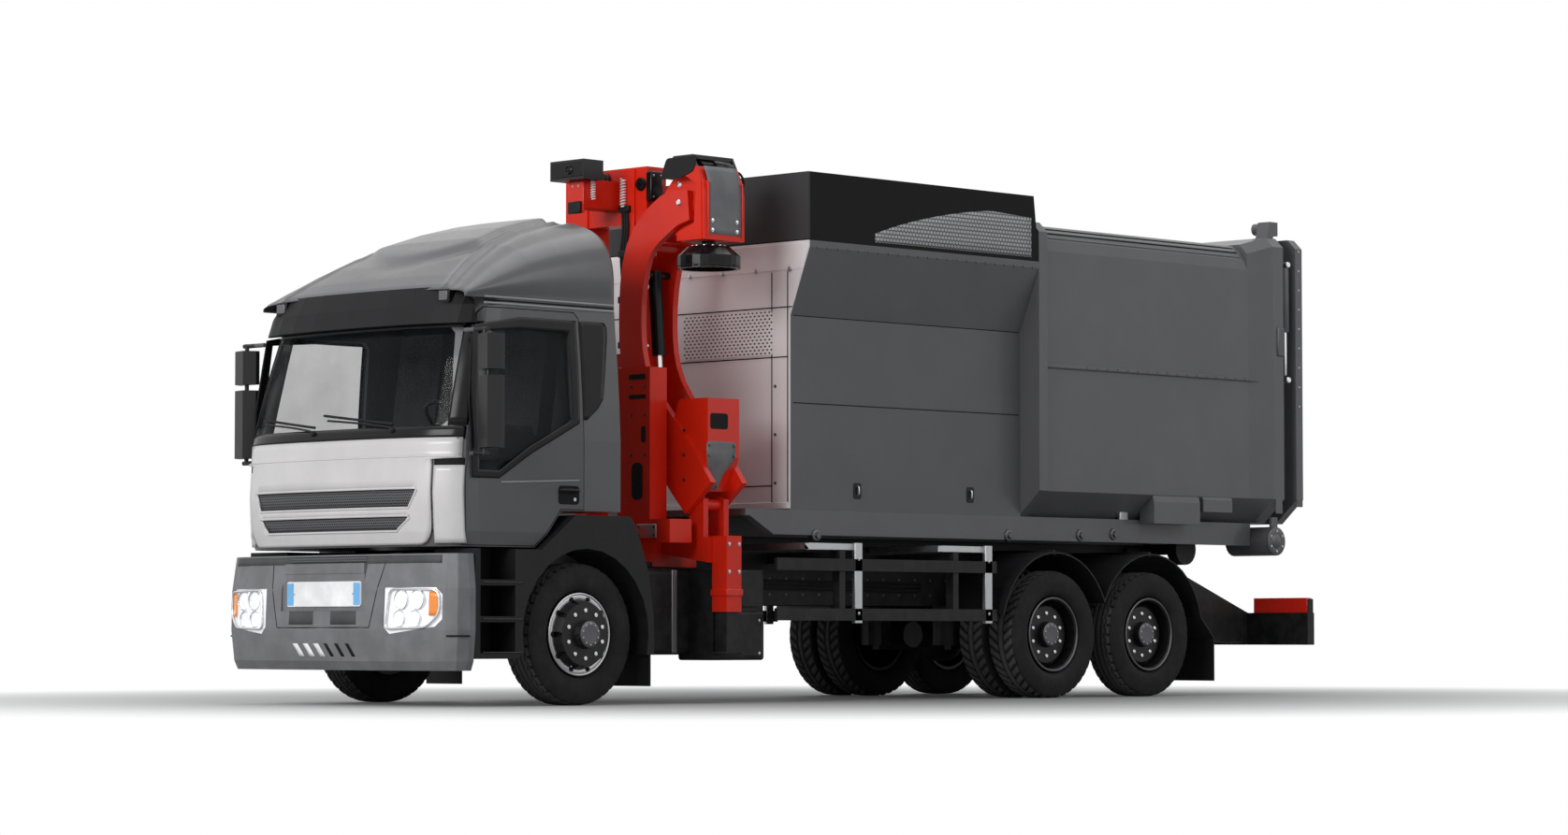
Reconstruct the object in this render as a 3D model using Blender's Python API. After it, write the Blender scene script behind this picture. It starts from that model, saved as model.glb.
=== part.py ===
"""Side-loading garbage truck with a crane behind the cab, a hopper and a closed container.

Metres, +Z up. The truck drives towards -Y and its left side is +X. The ground is Z = 0, and the
origin is on the ground under the middle of the truck's outline. Stations along the truck are
distances behind the front axle, turned into Y by station().
"""
import math

import bmesh
import bpy
from mathutils import Matrix, Vector

# Overall layout.
FRONT_OVERHANG = 1.385
WHEELBASE = 5.0
TAG_SPACING = 1.17
REAR_OVERHANG = 2.18
BODY_HALF_WIDTH = 1.25

# Clearances: touching pieces, pieces that move past each other, door gaps, cutter overrun.
SEAT = 0.0003
RUNNING = 0.006
DOOR_GAP = 0.006
OVERRUN = 0.05

# Tyres and rims.
TYRE_RADIUS = 0.4975
TYRE_WIDTH = 0.28
RIM_RADIUS = 0.295
RIM_WALL = 0.024
RIM_WIDTH = 0.24
DISC_THICKNESS = 0.022
TWIN_PITCH = 0.31
FRONT_TRACK_HALF = 1.025
REAR_TRACK_HALF = 1.085
FRONT_DISC_OUT = 0.18
REAR_DISC_OUT = 0.045
NUT_CIRCLE_RADIUS = 0.20
HUB_RADIUS = 0.13
HUB_CAP_RADIUS = 0.09
HUB_CAP_LENGTH = 0.05
FRONT_HUB_INNER = 0.02
VENT_RADIUS = 0.022
VENT_CIRCLE_RADIUS = 0.238
VENT_COUNT = 10
WHEEL_STEPS = 24
AXLE_STEPS = 16
TYRE_PROFILE_SHARES = ((0.0, 0.37), (0.14, 0.44), (0.50, 0.50), (0.80, 0.475), (0.94, 0.43),
                       (1.0, 0.37))

# Chassis.
RAIL_CENTRE = 0.39
RAIL_WIDTH = 0.08
RAIL_PLATE = 0.012
FRAME_BOTTOM = 0.72
FRAME_DEPTH = 0.27
FRAME_FRONT = 1.19
FRAME_TAIL = 1.28
CROSS_MEMBER = 0.10
SUBFRAME_DEPTH = 0.251
SUBFRAME_FRONT = 1.72
TIP_PIVOT_BACK = 0.914
TIP_PIVOT_DROP = 0.035
TIP_SHAFT_RADIUS = 0.045
ROLLER_RADIUS = 0.13
ROLLER_WIDTH = 0.10
ROLLER_CENTRE = 0.80
ENGINE_LENGTH = 0.78
ENGINE_WIDTH = 0.62
ENGINE_BOTTOM = 0.56
ENGINE_TOP = 1.30
ENGINE_START = 0.0
CROSS_MEMBER_SHARES = (0.02, 0.13, 0.30, 0.46, 0.62, 0.80, 0.985)

# Front axle, springs and steering.
BEAM_WIDTH = 0.10
BEAM_DEPTH = 0.11
BEAM_DROP = 0.05
KINGPIN_X = 0.85
KINGPIN_RADIUS = 0.045
KINGPIN_BOSS = 0.15
KNUCKLE_PLATE = 0.035
KNUCKLE_RADIUS = 0.075
SPINDLE_RADIUS = 0.06
SPRING_HALF_SPAN = 0.72
SPRING_THICKNESS = 0.05
SPRING_WIDTH = 0.07
STEER_LIMIT = 36.0

# Rear axles.
AXLE_TUBE_RADIUS = 0.085
DIFF_RADIUS = 0.21
DIFF_LENGTH = 0.32
AIR_SPRING_RADIUS = 0.12
AIR_SPRING_REACH = 0.33
AIR_BEAM_DEPTH = 0.07
AXLE_FLANGE_RADIUS = 0.12

# Cab.
CAB_FRONT = 1.33
CAB_BACK = 0.37
CAB_HALF_WIDTH = 1.17
CAB_BOTTOM = 1.10
CAB_SEAM = 2.82
CAB_WALL = 0.05
CAB_FLOOR = 1.42
CAB_CORNER_DEPTH = 0.36
CAB_TUNNEL_BOTTOM = 1.36
ARCH_START = 0.44
ARCH_RUN = 0.24
ROOF_RISE = 0.64
ROOF_WALL = 0.035
SCREEN_BOTTOM = 1.90
SCREEN_TOP_DROP = 0.16
SCREEN_HALF_BOTTOM = 1.06
SCREEN_HALF_TOP = 0.95
GLASS = 0.012
GLASS_SINK = 0.012
DOOR_FRONT = 1.07
DOOR_RAKE = 0.19
DOOR_BACK = 0.02
DOOR_TOP_DROP = 0.06
DOOR_WINDOW_TOP_DROP = 0.18
DOOR_WINDOW_SILL = 1.97
DOOR_WINDOW_DROP = 1.60
DOOR_SILL_SHARE = 0.28
DOOR_FRAME = 0.085
DOOR_SWING = 70.0
CAB_TILT = 50.0
CAB_HINGE_FORWARD = 1.24
CAB_HINGE_Z = 1.13
CAB_PORTAL_WIDTH = 0.10
CORNER_STEPS = 7
CORNER_POWER_SHARE = 0.77
ROOF_HALF_STEPS = 8
ROOF_CORNER_SHARE = 0.55
# Height as a share from the cab's bottom to the roof seam, how far the front stands back from the
# cab's foremost line, and the half width lost, both as shares of the cab's half width.
CAB_LEVEL_SHARES = ((0.0, 0.035, 0.010), (0.06, 0.012, 0.0), (0.22, 0.0, 0.0),
                    (0.44, 0.022, 0.0), (0.60, 0.075, 0.012), (0.76, 0.140, 0.030),
                    (0.90, 0.205, 0.050), (1.0, 0.250, 0.062))
# The roof's top line: how far back along the roof, and its height, both as shares.
ROOF_TOP_SHARES = ((0.0, 0.10), (0.10, 0.26), (0.25, 0.46), (0.45, 0.68), (0.65, 0.83),
                   (0.85, 0.94), (1.0, 1.0))
VISOR_REACH = 0.085
VISOR_BELOW_SEAM = 0.18
VISOR_ABOVE_SEAM = 0.08
VISOR_BACK = 0.95

# Cab inside.
DASH_DEPTH = 0.42
DASH_TOP = 1.93
DASH_BOTTOM = 1.50
SEAT_X = 0.56
SEAT_WIDTH = 0.50
SEAT_DEPTH = 0.48
SEAT_BACK_STATION = 0.02
SEAT_CUSHION_TOP = 1.90
SEAT_BASE_HEIGHT = 0.34
SEAT_BACK_HEIGHT = 0.78
SEAT_BACK_THICKNESS = 0.13
STEERING_RADIUS = 0.22
STEERING_TUBE = 0.016
STEERING_TILT = -40.0

# Mirrors.
MIRROR_OUT = 0.16
MIRROR_WIDTH = 0.22
MIRROR_DEPTH = 0.11
MIRROR_TOP_DROP = 0.27
MIRROR_HEIGHT = 0.78
MIRROR_FORWARD = 0.97
MIRROR_ARM_RADIUS = 0.016

# Bumper and lamps.
BUMPER_BOTTOM = 0.25
BUMPER_TOP = 1.05
BUMPER_HALF_WIDTH = 1.25
BUMPER_BACK = 1.06
BUMPER_WALL = 0.05
LAMP_INNER = 0.64
LAMP_OUTER = 1.14
LAMP_BOTTOM = 0.50
LAMP_TOP = 0.82
LAMP_DEPTH = 0.16
PLATE_POCKET_HALF = 0.46
PLATE_POCKET_BOTTOM = 0.66
PLATE_POCKET_TOP = 0.92
PLATE_POCKET_DEPTH = 0.03
BUMPER_POWER_SHARE = 0.72
# Height, setback and half width lost, as for the cab, from the bumper's bottom to its top.
BUMPER_LEVEL_SHARES = ((0.0, 0.055, 0.035), (0.08, 0.022, 0.015), (0.35, 0.0, 0.0),
                       (0.70, 0.010, 0.0), (1.0, 0.055, 0.02))
BUMPER_HOLLOW_SHARES = (-0.1, 0.93)

# Front wings.
WING_OUT = 1.22
WING_IN = 0.80
ARCH_RADIUS = 0.60
ARCH_SHEET = 0.05
WING_BACK = 0.655
WING_BACK_BOTTOM = 0.36
WING_TOP = 1.33
WING_FLAP_BOTTOM = 0.13
WING_FLAP_THICKNESS = 0.015
# The wing's back edge: how far back and how far up, as shares of its reach and its height.
WING_BACK_SHARES = ((1.0, 0.0), (0.99, 0.27), (0.92, 0.58), (0.81, 0.79), (0.72, 0.93),
                    (0.64, 1.0))
STEP_FRONT = 1.04
STEP_BOTTOM = 0.33
STEP_TOP = 1.085
STEP_COUNT = 3
STEP_TREAD = 0.04

# Side equipment.
TANK_START = 0.82
TANK_LENGTH = 1.08
TANK_IN = 0.50
TANK_MIDDLE = 0.84
TANK_BOTTOM = 0.35
TANK_TOP = 0.98
LOCKER_START = 1.36
LOCKER_LENGTH = 0.52
LOCKER_OUT = 1.10
LOCKER_BOTTOM = 0.31
LOCKER_TOP = 0.67
GUARD_X = 1.20
GUARD_START = 1.92
GUARD_LENGTH = 2.42
GUARD_BAR_HEIGHT = 0.09
GUARD_BAR_THICKNESS = 0.03
GUARD_LOW = 0.60
GUARD_HIGH = 0.97
GUARD_POST = 0.06
GUARD_POST_SHARES = (0.28, 0.80)

# Rear mudguards.
MUDGUARD_RADIUS = 0.635
MUDGUARD_SHEET = 0.012
MUDGUARD_OUT = 1.24
MUDGUARD_IN = 0.62
MUDGUARD_TAIL = 0.16
MUDGUARD_FLAP_BOTTOM = 0.12
MUDGUARD_STAY = 0.022

# Underrun.
UNDERRUN_HALF = 1.20
UNDERRUN_BOTTOM = 0.41
UNDERRUN_HEIGHT = 0.27
UNDERRUN_DEPTH = 0.09
UNDERRUN_ARM_X = 0.56
TAIL_LAMP_HEIGHT = 0.115
TAIL_LAMP_WIDTH = 0.47

# Body: base, hopper, screen, container, tailgate.
BODY_FRONT = 2.20
BASE_FRONT = 1.74
BASE_DEPTH = 0.185
BASE_HALF_WIDTH = 1.05
SILL_WIDTH = 0.09
BASE_RAIL_TAIL = 0.35
BASE_MEMBER_SHARES = (0.03, 0.25, 0.47, 0.69, 0.88)
HOPPER_LENGTH = 2.59
HOPPER_HALF_WIDTH = 1.05
HOPPER_BEND_HEIGHT = 1.44
HOPPER_TOP_HEIGHT = 1.94
HOPPER_RIM = 0.05
PANEL_WALL = 0.05
SCREEN_HEIGHT = 0.51
SCREEN_WALL = 0.035
SCREEN_LEAN = 0.06
CONTAINER_HEIGHT = 2.31
CONTAINER_HALF_WIDTH = 1.20
CONTAINER_SHOULDER = 0.20
CONTAINER_SHOULDER_IN = 0.22
CONTAINER_CORNER = 0.22
CONTAINER_FRONT_FRAME = 0.10
REAR_FRAME_LENGTH = 0.14
REAR_FRAME_TOP = 2.38
REAR_FRAME_BLUNT = 0.08
REAR_FLARE = 0.28
CONTAINER_END_BACK = 0.805
MID_RAIL_HEIGHT = 1.16
MID_RAIL = 0.025
REAR_ROLLER_RADIUS = 0.12
REAR_ROLLER_DROP = 0.15
REAR_ROLLER_IN = 0.78
REAR_ROLLER_OUT = 1.22
REAR_ROLLER_BACK = 0.08
SIDE_BOX_IN = 1.06
THROAT_HALF_WIDTH = 0.90
THROAT_HEIGHT = 1.40
TAILGATE_THICKNESS = 0.25
TAILGATE_FLANGE = 0.09
TAILGATE_CORE_HALF = 1.13
TAILGATE_HINGE_RADIUS = 0.05
TAILGATE_HINGE_RISE = 0.09
TAILGATE_HINGE_HALF = 1.04
TAILGATE_KNUCKLE = 0.09
TAILGATE_LUG = 0.12
TAILGATE_SWING = 85.0
TIP_LIMIT = 30.0
CONTAINER_CORNER_STEPS = 4

# Crane.
CRANE_FRONT = 0.82
CRANE_BACK = 1.66
CRANE_BASE_HALF = 0.62
CRANE_BASE_DEPTH = 0.29
MAST_STATION = 1.42
MAST_HALF = 0.32
MAST_COLUMN = 0.13
MAST_DEPTH = 0.22
MAST_TOP = 3.95
MAST_HEAD_HALF = 0.44
MAST_HEAD_HEIGHT = 0.42
GUIDE_X = 0.44
GUIDE_WIDTH = 0.34
GUIDE_FRONT = 1.03
GUIDE_DEPTH = 0.17
GUIDE_TOP = 2.44
CROSS_BEAM_HALF = 1.02
CROSS_BEAM_FRONT = 1.00
CROSS_BEAM_BACK = 1.22
CROSS_BEAM_BOTTOM = 1.16
CROSS_BEAM_TOP = 1.33
CAMERA_X = 0.07
CAMERA_WIDTH = 0.36
CAMERA_FRONT = 0.86
CAMERA_DEPTH = 0.20
CAMERA_HEIGHT = 0.145
CAMERA_ARM_WIDTH = 0.17
CAMERA_ARM_DEPTH = 0.20
BOOM_PIVOT_X = 1.0
BOOM_PIVOT_Z = 1.44
BOOM_SWING = 45.0
ARM_PLATE = 0.05
ARM_NEAR = 1.24
ARM_FAR = 1.56
ARM_INNER_X = 0.35
ARM_HEIGHT = 2.18
HEAD_PIN_X = 0.96
PIN_RADIUS = 0.04
FOOT_OUT = 1.14
FOOT_TOP = 2.21
FOOT_DEPTH = 0.30
ARM_TIE_X = 0.52
ARM_STEPS = 4
# The arm's line from the foot to the head, as shares of its reach inwards and of its height,
# with its width there as a share of the height.
ARM_LINE_SHARES = ((-0.10, 0.02, 0.16), (0.28, 0.16, 0.17), (0.86, 0.40, 0.12),
                   (1.00, 0.62, 0.11), (0.88, 0.86, 0.12), (0.42, 0.98, 0.13),
                   (0.06, 1.0, 0.10))
HEAD_BACK = 0.66
HEAD_FRONT = 1.148
HEAD_BOTTOM = 3.36
HEAD_TOP = 3.80
HOOD_TOP = 3.985
HOOD_LID_BACK = 0.83
HEAD_PLATE = 0.03
COUPLER_RADIUS = 0.234
COUPLER_BOTTOM = 3.16
COUPLER_WALL = 0.03
COUPLER_STEM = 0.05
BARREL_RADIUS = 0.05
ROD_RADIUS = 0.025
CYLINDER_TOP_X = 0.42
CYLINDER_TOP_Z = 3.15
CYLINDER_EYE_X = 0.50
CYLINDER_EYE_Z = 2.05
BARREL_LENGTH = 0.60
LEG_X = 1.18
LEG_STATION = 1.42
LEG_OUTER = 0.15
LEG_WALL = 0.016
LEG_TOP = 1.21
LEG_BOTTOM = 0.66
LEG_FOOT_Z = 0.35
LEG_FOOT_RADIUS = 0.14
LEG_FOOT_THICKNESS = 0.025
LEG_STROKE = 0.30
OUTRIGGER_DEPTH = 0.16
OUTRIGGER_WIDTH = 0.24

# Places that follow from the sizes above.
TRUCK_LENGTH = FRONT_OVERHANG + WHEELBASE + TAG_SPACING + REAR_OVERHANG
FRONT_AXLE_Y = FRONT_OVERHANG - TRUCK_LENGTH / 2
AXLE_Z = TYRE_RADIUS
ROOF_TOP = CAB_SEAM + ROOF_RISE
SCREEN_TOP = CAB_SEAM - SCREEN_TOP_DROP
DOOR_TOP = CAB_SEAM - DOOR_TOP_DROP
DOOR_WINDOW_TOP = CAB_SEAM - DOOR_WINDOW_TOP_DROP
VISOR_BOTTOM = CAB_SEAM - VISOR_BELOW_SEAM
VISOR_TOP = CAB_SEAM + VISOR_ABOVE_SEAM
MIRROR_TOP = CAB_SEAM - MIRROR_TOP_DROP
TAG_STATION = WHEELBASE + TAG_SPACING
# Where the side boxes stand, and how far their foot and their top are below the knee.
SIDE_BOX_PLACES = ((TAG_STATION + TAG_SPACING * 0.06, TAG_STATION + TAG_SPACING * 0.56, 1.15, 0.28),
                   (TAG_STATION + TAG_SPACING * 0.60, TAG_STATION + TAG_SPACING * 0.92, 0.62, 0.12))
SEAT_CUSHION_LAP = SEAT_BACK_THICKNESS / 4
COUPLER_X = HEAD_FRONT - COUPLER_RADIUS * 0.7
FRAME_TOP = FRAME_BOTTOM + FRAME_DEPTH
SUBFRAME_BOTTOM = FRAME_TOP - RAIL_PLATE / 2
SUBFRAME_TOP = SUBFRAME_BOTTOM + SUBFRAME_DEPTH
BASE_BOTTOM = SUBFRAME_TOP + SEAT
BASE_TOP = BASE_BOTTOM + BASE_DEPTH
BOX_BOTTOM = BASE_TOP + SEAT
TIP_STATION = TAG_STATION + TIP_PIVOT_BACK
TIP_Z = SUBFRAME_TOP - TIP_PIVOT_DROP
RAIL_OUT = RAIL_CENTRE + RAIL_WIDTH / 2
RAIL_IN = RAIL_CENTRE - RAIL_WIDTH / 2
SUBFRAME_HALF = RAIL_WIDTH / 2 - RAIL_PLATE / 4
SUBFRAME_OUT = RAIL_CENTRE + SUBFRAME_HALF
HOPPER_BACK = BODY_FRONT + HOPPER_LENGTH
CONTAINER_FRONT = HOPPER_BACK + SEAT
CONTAINER_BACK = TIP_STATION + CONTAINER_END_BACK
HOPPER_TOP = BOX_BOTTOM + HOPPER_TOP_HEIGHT + HOPPER_RIM
CONTAINER_TOP = BOX_BOTTOM + CONTAINER_HEIGHT
TAILGATE_FRONT = CONTAINER_BACK + RUNNING
TAILGATE_HINGE_Z = BOX_BOTTOM + REAR_FRAME_TOP + TAILGATE_HINGE_RISE
MAST_FRONT = MAST_STATION - MAST_DEPTH / 2
MAST_BACK = MAST_STATION + MAST_DEPTH / 2
CRANE_BASE_TOP = FRAME_TOP + SEAT + CRANE_BASE_DEPTH
UNDERRUN_BACK = TAG_STATION + REAR_OVERHANG


def station(distance):
    """Y of a place a distance behind the front axle."""
    return FRONT_AXLE_Y + distance


def clear_scene():
    for item in list(bpy.data.objects):
        bpy.data.objects.remove(item, do_unlink=True)


MATERIALS = {}


def finish_material(name, colour, roughness, metallic=0.0):
    """A plain finish, made once and shared."""
    if name not in MATERIALS:
        material = bpy.data.materials.new(name)
        material.use_nodes = True
        shader = material.node_tree.nodes["Principled BSDF"]
        shader.inputs["Base Color"].default_value = (*colour, 1.0)
        shader.inputs["Roughness"].default_value = roughness
        shader.inputs["Metallic"].default_value = metallic
        MATERIALS[name] = material
    return MATERIALS[name]


def cab_grey():
    return finish_material("cab_grey", (0.62, 0.63, 0.65), 0.35)


def body_grey():
    return finish_material("body_grey", (0.24, 0.25, 0.26), 0.42)


def crane_red():
    return finish_material("crane_red", (0.70, 0.03, 0.01), 0.32)


def chassis_black():
    return finish_material("chassis_black", (0.03, 0.03, 0.035), 0.5)


def plastic_black():
    return finish_material("plastic_black", (0.02, 0.02, 0.02), 0.55)


def bumper_grey():
    return finish_material("bumper_grey", (0.36, 0.36, 0.38), 0.5)


def rubber():
    return finish_material("rubber", (0.02, 0.02, 0.02), 0.85)


def rim_steel():
    return finish_material("rim_steel", (0.10, 0.10, 0.105), 0.4, 0.6)


def chrome():
    return finish_material("chrome", (0.75, 0.75, 0.76), 0.12, 1.0)


def glass():
    return finish_material("glass", (0.05, 0.06, 0.07), 0.05)


def lens():
    return finish_material("lens", (0.85, 0.87, 0.9), 0.1)


def seat_cloth():
    return finish_material("seat_cloth", (0.05, 0.05, 0.055), 0.9)


def galvanised():
    return finish_material("galvanised", (0.45, 0.46, 0.47), 0.45, 0.7)


def mesh_object(name, bm):
    """Turns a bmesh into a linked object, normals out."""
    bmesh.ops.recalc_face_normals(bm, faces=bm.faces)
    mesh = bpy.data.meshes.new(name)
    bm.to_mesh(mesh)
    bm.free()
    made = bpy.data.objects.new(name, mesh)
    bpy.context.scene.collection.objects.link(made)
    return made


def loft(name, rings):
    """A closed solid through rings of as many points each, capped at both ends."""
    bm = bmesh.new()
    rows = [[bm.verts.new(point) for point in ring] for ring in rings]
    count = len(rows[0])
    for lower, upper in zip(rows, rows[1:]):
        for index in range(count):
            after = (index + 1) % count
            bm.faces.new((lower[index], lower[after], upper[after], upper[index]))
    bm.faces.new(list(reversed(rows[0])))
    bm.faces.new(rows[-1])
    return mesh_object(name, bm)


def placed(axis, first, second, along):
    """A point from its two outline coordinates and its place along an axis."""
    if axis == "X":
        return (along, first, second)
    if axis == "Y":
        return (first, along, second)
    return (first, second, along)


def prism(name, axis, outline, low, high):
    """An outline in the two other axes, in X, Y, Z order, carried along an axis."""
    rings = [[placed(axis, first, second, along) for first, second in outline]
             for along in (low, high)]
    return loft(name, rings)


def block(name, low, high):
    """A rectangular bar between two corners."""
    outline = [(low[0], low[1]), (high[0], low[1]), (high[0], high[1]), (low[0], high[1])]
    return prism(name, "Z", outline, low[2], high[2])


def circle(centre, radius, steps, start=0.0):
    """Points of a circle, as an outline."""
    turns = [start + 2 * math.pi * step / steps for step in range(steps)]
    return [(centre[0] + radius * math.cos(turn), centre[1] + radius * math.sin(turn))
            for turn in turns]


def arc(centre, radius, start, end, steps):
    """Points of an arc between two angles in degrees, ends included."""
    turns = [math.radians(start + (end - start) * step / steps) for step in range(steps + 1)]
    return [(centre[0] + radius * math.cos(turn), centre[1] + radius * math.sin(turn))
            for turn in turns]


def rod(name, axis, centre, radius, low, high, steps=16):
    """A round bar along an axis."""
    return prism(name, axis, circle(centre, radius, steps), low, high)


def revolve(name, axis, centre, profile, steps):
    """Turns a closed profile of (radius, place along the axis) round the axis.

    Points at radius zero become poles.
    """
    bm = bmesh.new()
    columns = []
    for radius, along in profile:
        if radius == 0:
            columns.append([bm.verts.new(placed(axis, centre[0], centre[1], along))])
        else:
            ring = circle(centre, radius, steps)
            columns.append([bm.verts.new(placed(axis, first, second, along))
                            for first, second in ring])
    count = len(columns)
    for index in range(count):
        here, after = columns[index], columns[(index + 1) % count]
        if len(here) == 1 and len(after) == 1:
            continue
        for step in range(steps):
            turned = (step + 1) % steps
            corners = [here[step % len(here)], here[turned % len(here)],
                       after[turned % len(after)], after[step % len(after)]]
            unique = list(dict.fromkeys(corners))
            bm.faces.new(unique)
    return mesh_object(name, bm)


def tube(name, points, radius, sides=8):
    """A round bar along a path of points, bent without twist."""
    path = [Vector(point) for point in points]
    tangents = []
    for index in range(len(path)):
        before = path[max(index - 1, 0)]
        after = path[min(index + 1, len(path) - 1)]
        tangents.append((after - before).normalized())
    helper = Vector((0, 0, 1)) if abs(tangents[0].z) < 0.9 else Vector((0, 1, 0))
    side = tangents[0].cross(helper).normalized()
    rings = []
    for point, tangent in zip(path, tangents):
        side = (side - tangent * side.dot(tangent)).normalized()
        over = tangent.cross(side)
        rings.append([point + radius * (math.cos(turn) * side + math.sin(turn) * over)
                      for turn in (2 * math.pi * step / sides for step in range(sides))])
    return loft(name, rings)


def ribbon(points, widths):
    """The outline of a plate that follows a line, with a width at each of its points."""
    path = [Vector(point).to_3d() for point in points]
    left = []
    right = []
    for index, width in enumerate(widths):
        before = path[max(index - 1, 0)]
        after = path[min(index + 1, len(path) - 1)]
        tangent = (after - before).normalized()
        normal = Vector((-tangent.y, tangent.x, 0))
        left.append((path[index] + normal * width / 2)[:2])
        right.append((path[index] - normal * width / 2)[:2])
    return left + list(reversed(right))


def smooth_line(points, steps):
    """Points of a smooth curve through a few places (Catmull-Rom), ends included."""
    path = [Vector(point).to_3d() for point in points]
    path = [2 * path[0] - path[1]] + path + [2 * path[-1] - path[-2]]
    made = []
    for index in range(1, len(path) - 2):
        a, b, c, d = path[index - 1:index + 3]
        for step in range(steps):
            t = step / steps
            made.append(0.5 * (2 * b + (c - a) * t + (2 * a - 5 * b + 4 * c - d) * t * t
                               + (3 * b - a - 3 * c + d) * t ** 3))
    made.append(path[-2])
    return made


def mirrored(name, source):
    """A copy of an object on the other side of the truck."""
    bm = bmesh.new()
    bm.from_mesh(source.data)
    bmesh.ops.scale(bm, vec=(-1, 1, 1), verts=bm.verts)
    return mesh_object(name, bm)


def copied(name, source, move=(0, 0, 0)):
    """A copy of an object, moved."""
    bm = bmesh.new()
    bm.from_mesh(source.data)
    bmesh.ops.translate(bm, vec=Vector(move), verts=bm.verts)
    return mesh_object(name, bm)


def combine(base, tools, operation):
    """Joins, cuts or intersects the base with other solids, which are used up."""
    for tool in tools:
        modifier = base.modifiers.new("shape", "BOOLEAN")
        modifier.operation = operation
        modifier.solver = "EXACT"
        modifier.object = tool
        bpy.context.view_layer.update()
        graph = bpy.context.evaluated_depsgraph_get()
        mesh = bpy.data.meshes.new_from_object(base.evaluated_get(graph))
        base.modifiers.clear()
        base.data = mesh
        bpy.data.objects.remove(tool, do_unlink=True)
    return base


def joined(base, *tools):
    return combine(base, tools, "UNION")


def cut(base, *tools):
    return combine(base, tools, "DIFFERENCE")


def kept(base, *tools):
    return combine(base, tools, "INTERSECT")


def finished(name, made, material, smooth=None):
    """Names an object, gives it its finish and its shading."""
    made.name = name
    made.data.name = name
    made.data.materials.clear()
    made.data.materials.append(material)
    if smooth is not None:
        made.data.shade_smooth()
        made.data.set_sharp_from_angle(angle=math.radians(smooth))
    return made


def pivot(name, place, *children):
    """An empty on a joint's axis that carries the pieces of a moving body."""
    empty = bpy.data.objects.new(name, None)
    bpy.context.scene.collection.objects.link(empty)
    empty.location = place
    bpy.context.view_layer.update()
    for child in children:
        child.parent = empty
        child.matrix_parent_inverse = empty.matrix_world.inverted()
    return empty


# Chassis

def channel_outline(side, centre, width, plate, bottom, depth):
    """A channel open towards the truck's middle, as an outline in X and Z."""
    out = centre + width / 2
    inner = centre - width / 2
    top = bottom + depth
    points = [(inner, bottom), (out, bottom), (out, top), (inner, top),
              (inner, top - plate), (out - plate, top - plate),
              (out - plate, bottom + plate), (inner, bottom + plate)]
    return [(side * x, z) for x, z in points]


def build_frame():
    """Two channels with cross members, the subframe on them and the portal under the cab."""
    front, back = station(-FRAME_FRONT), station(TAG_STATION + FRAME_TAIL)
    rails = [prism("rail", "Y", channel_outline(side, RAIL_CENTRE, RAIL_WIDTH, RAIL_PLATE,
                                                FRAME_BOTTOM, FRAME_DEPTH), front, back)
             for side in (1, -1)]
    members = []
    for share in CROSS_MEMBER_SHARES:
        middle = front + (back - front) * share
        members.append(block("member",
                             (-RAIL_OUT + RAIL_PLATE / 2, middle - CROSS_MEMBER / 2,
                              FRAME_BOTTOM + 2 * RAIL_PLATE),
                             (RAIL_OUT - RAIL_PLATE / 2, middle + CROSS_MEMBER / 2,
                              FRAME_BOTTOM + 2 * RAIL_PLATE + CROSS_MEMBER)))
    made = joined(rails[0], members[0], rails[1], *members[1:])
    made = joined(made, subframe(), cab_portal())
    return finished("chassis_frame", made, chassis_black(), 30)


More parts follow.
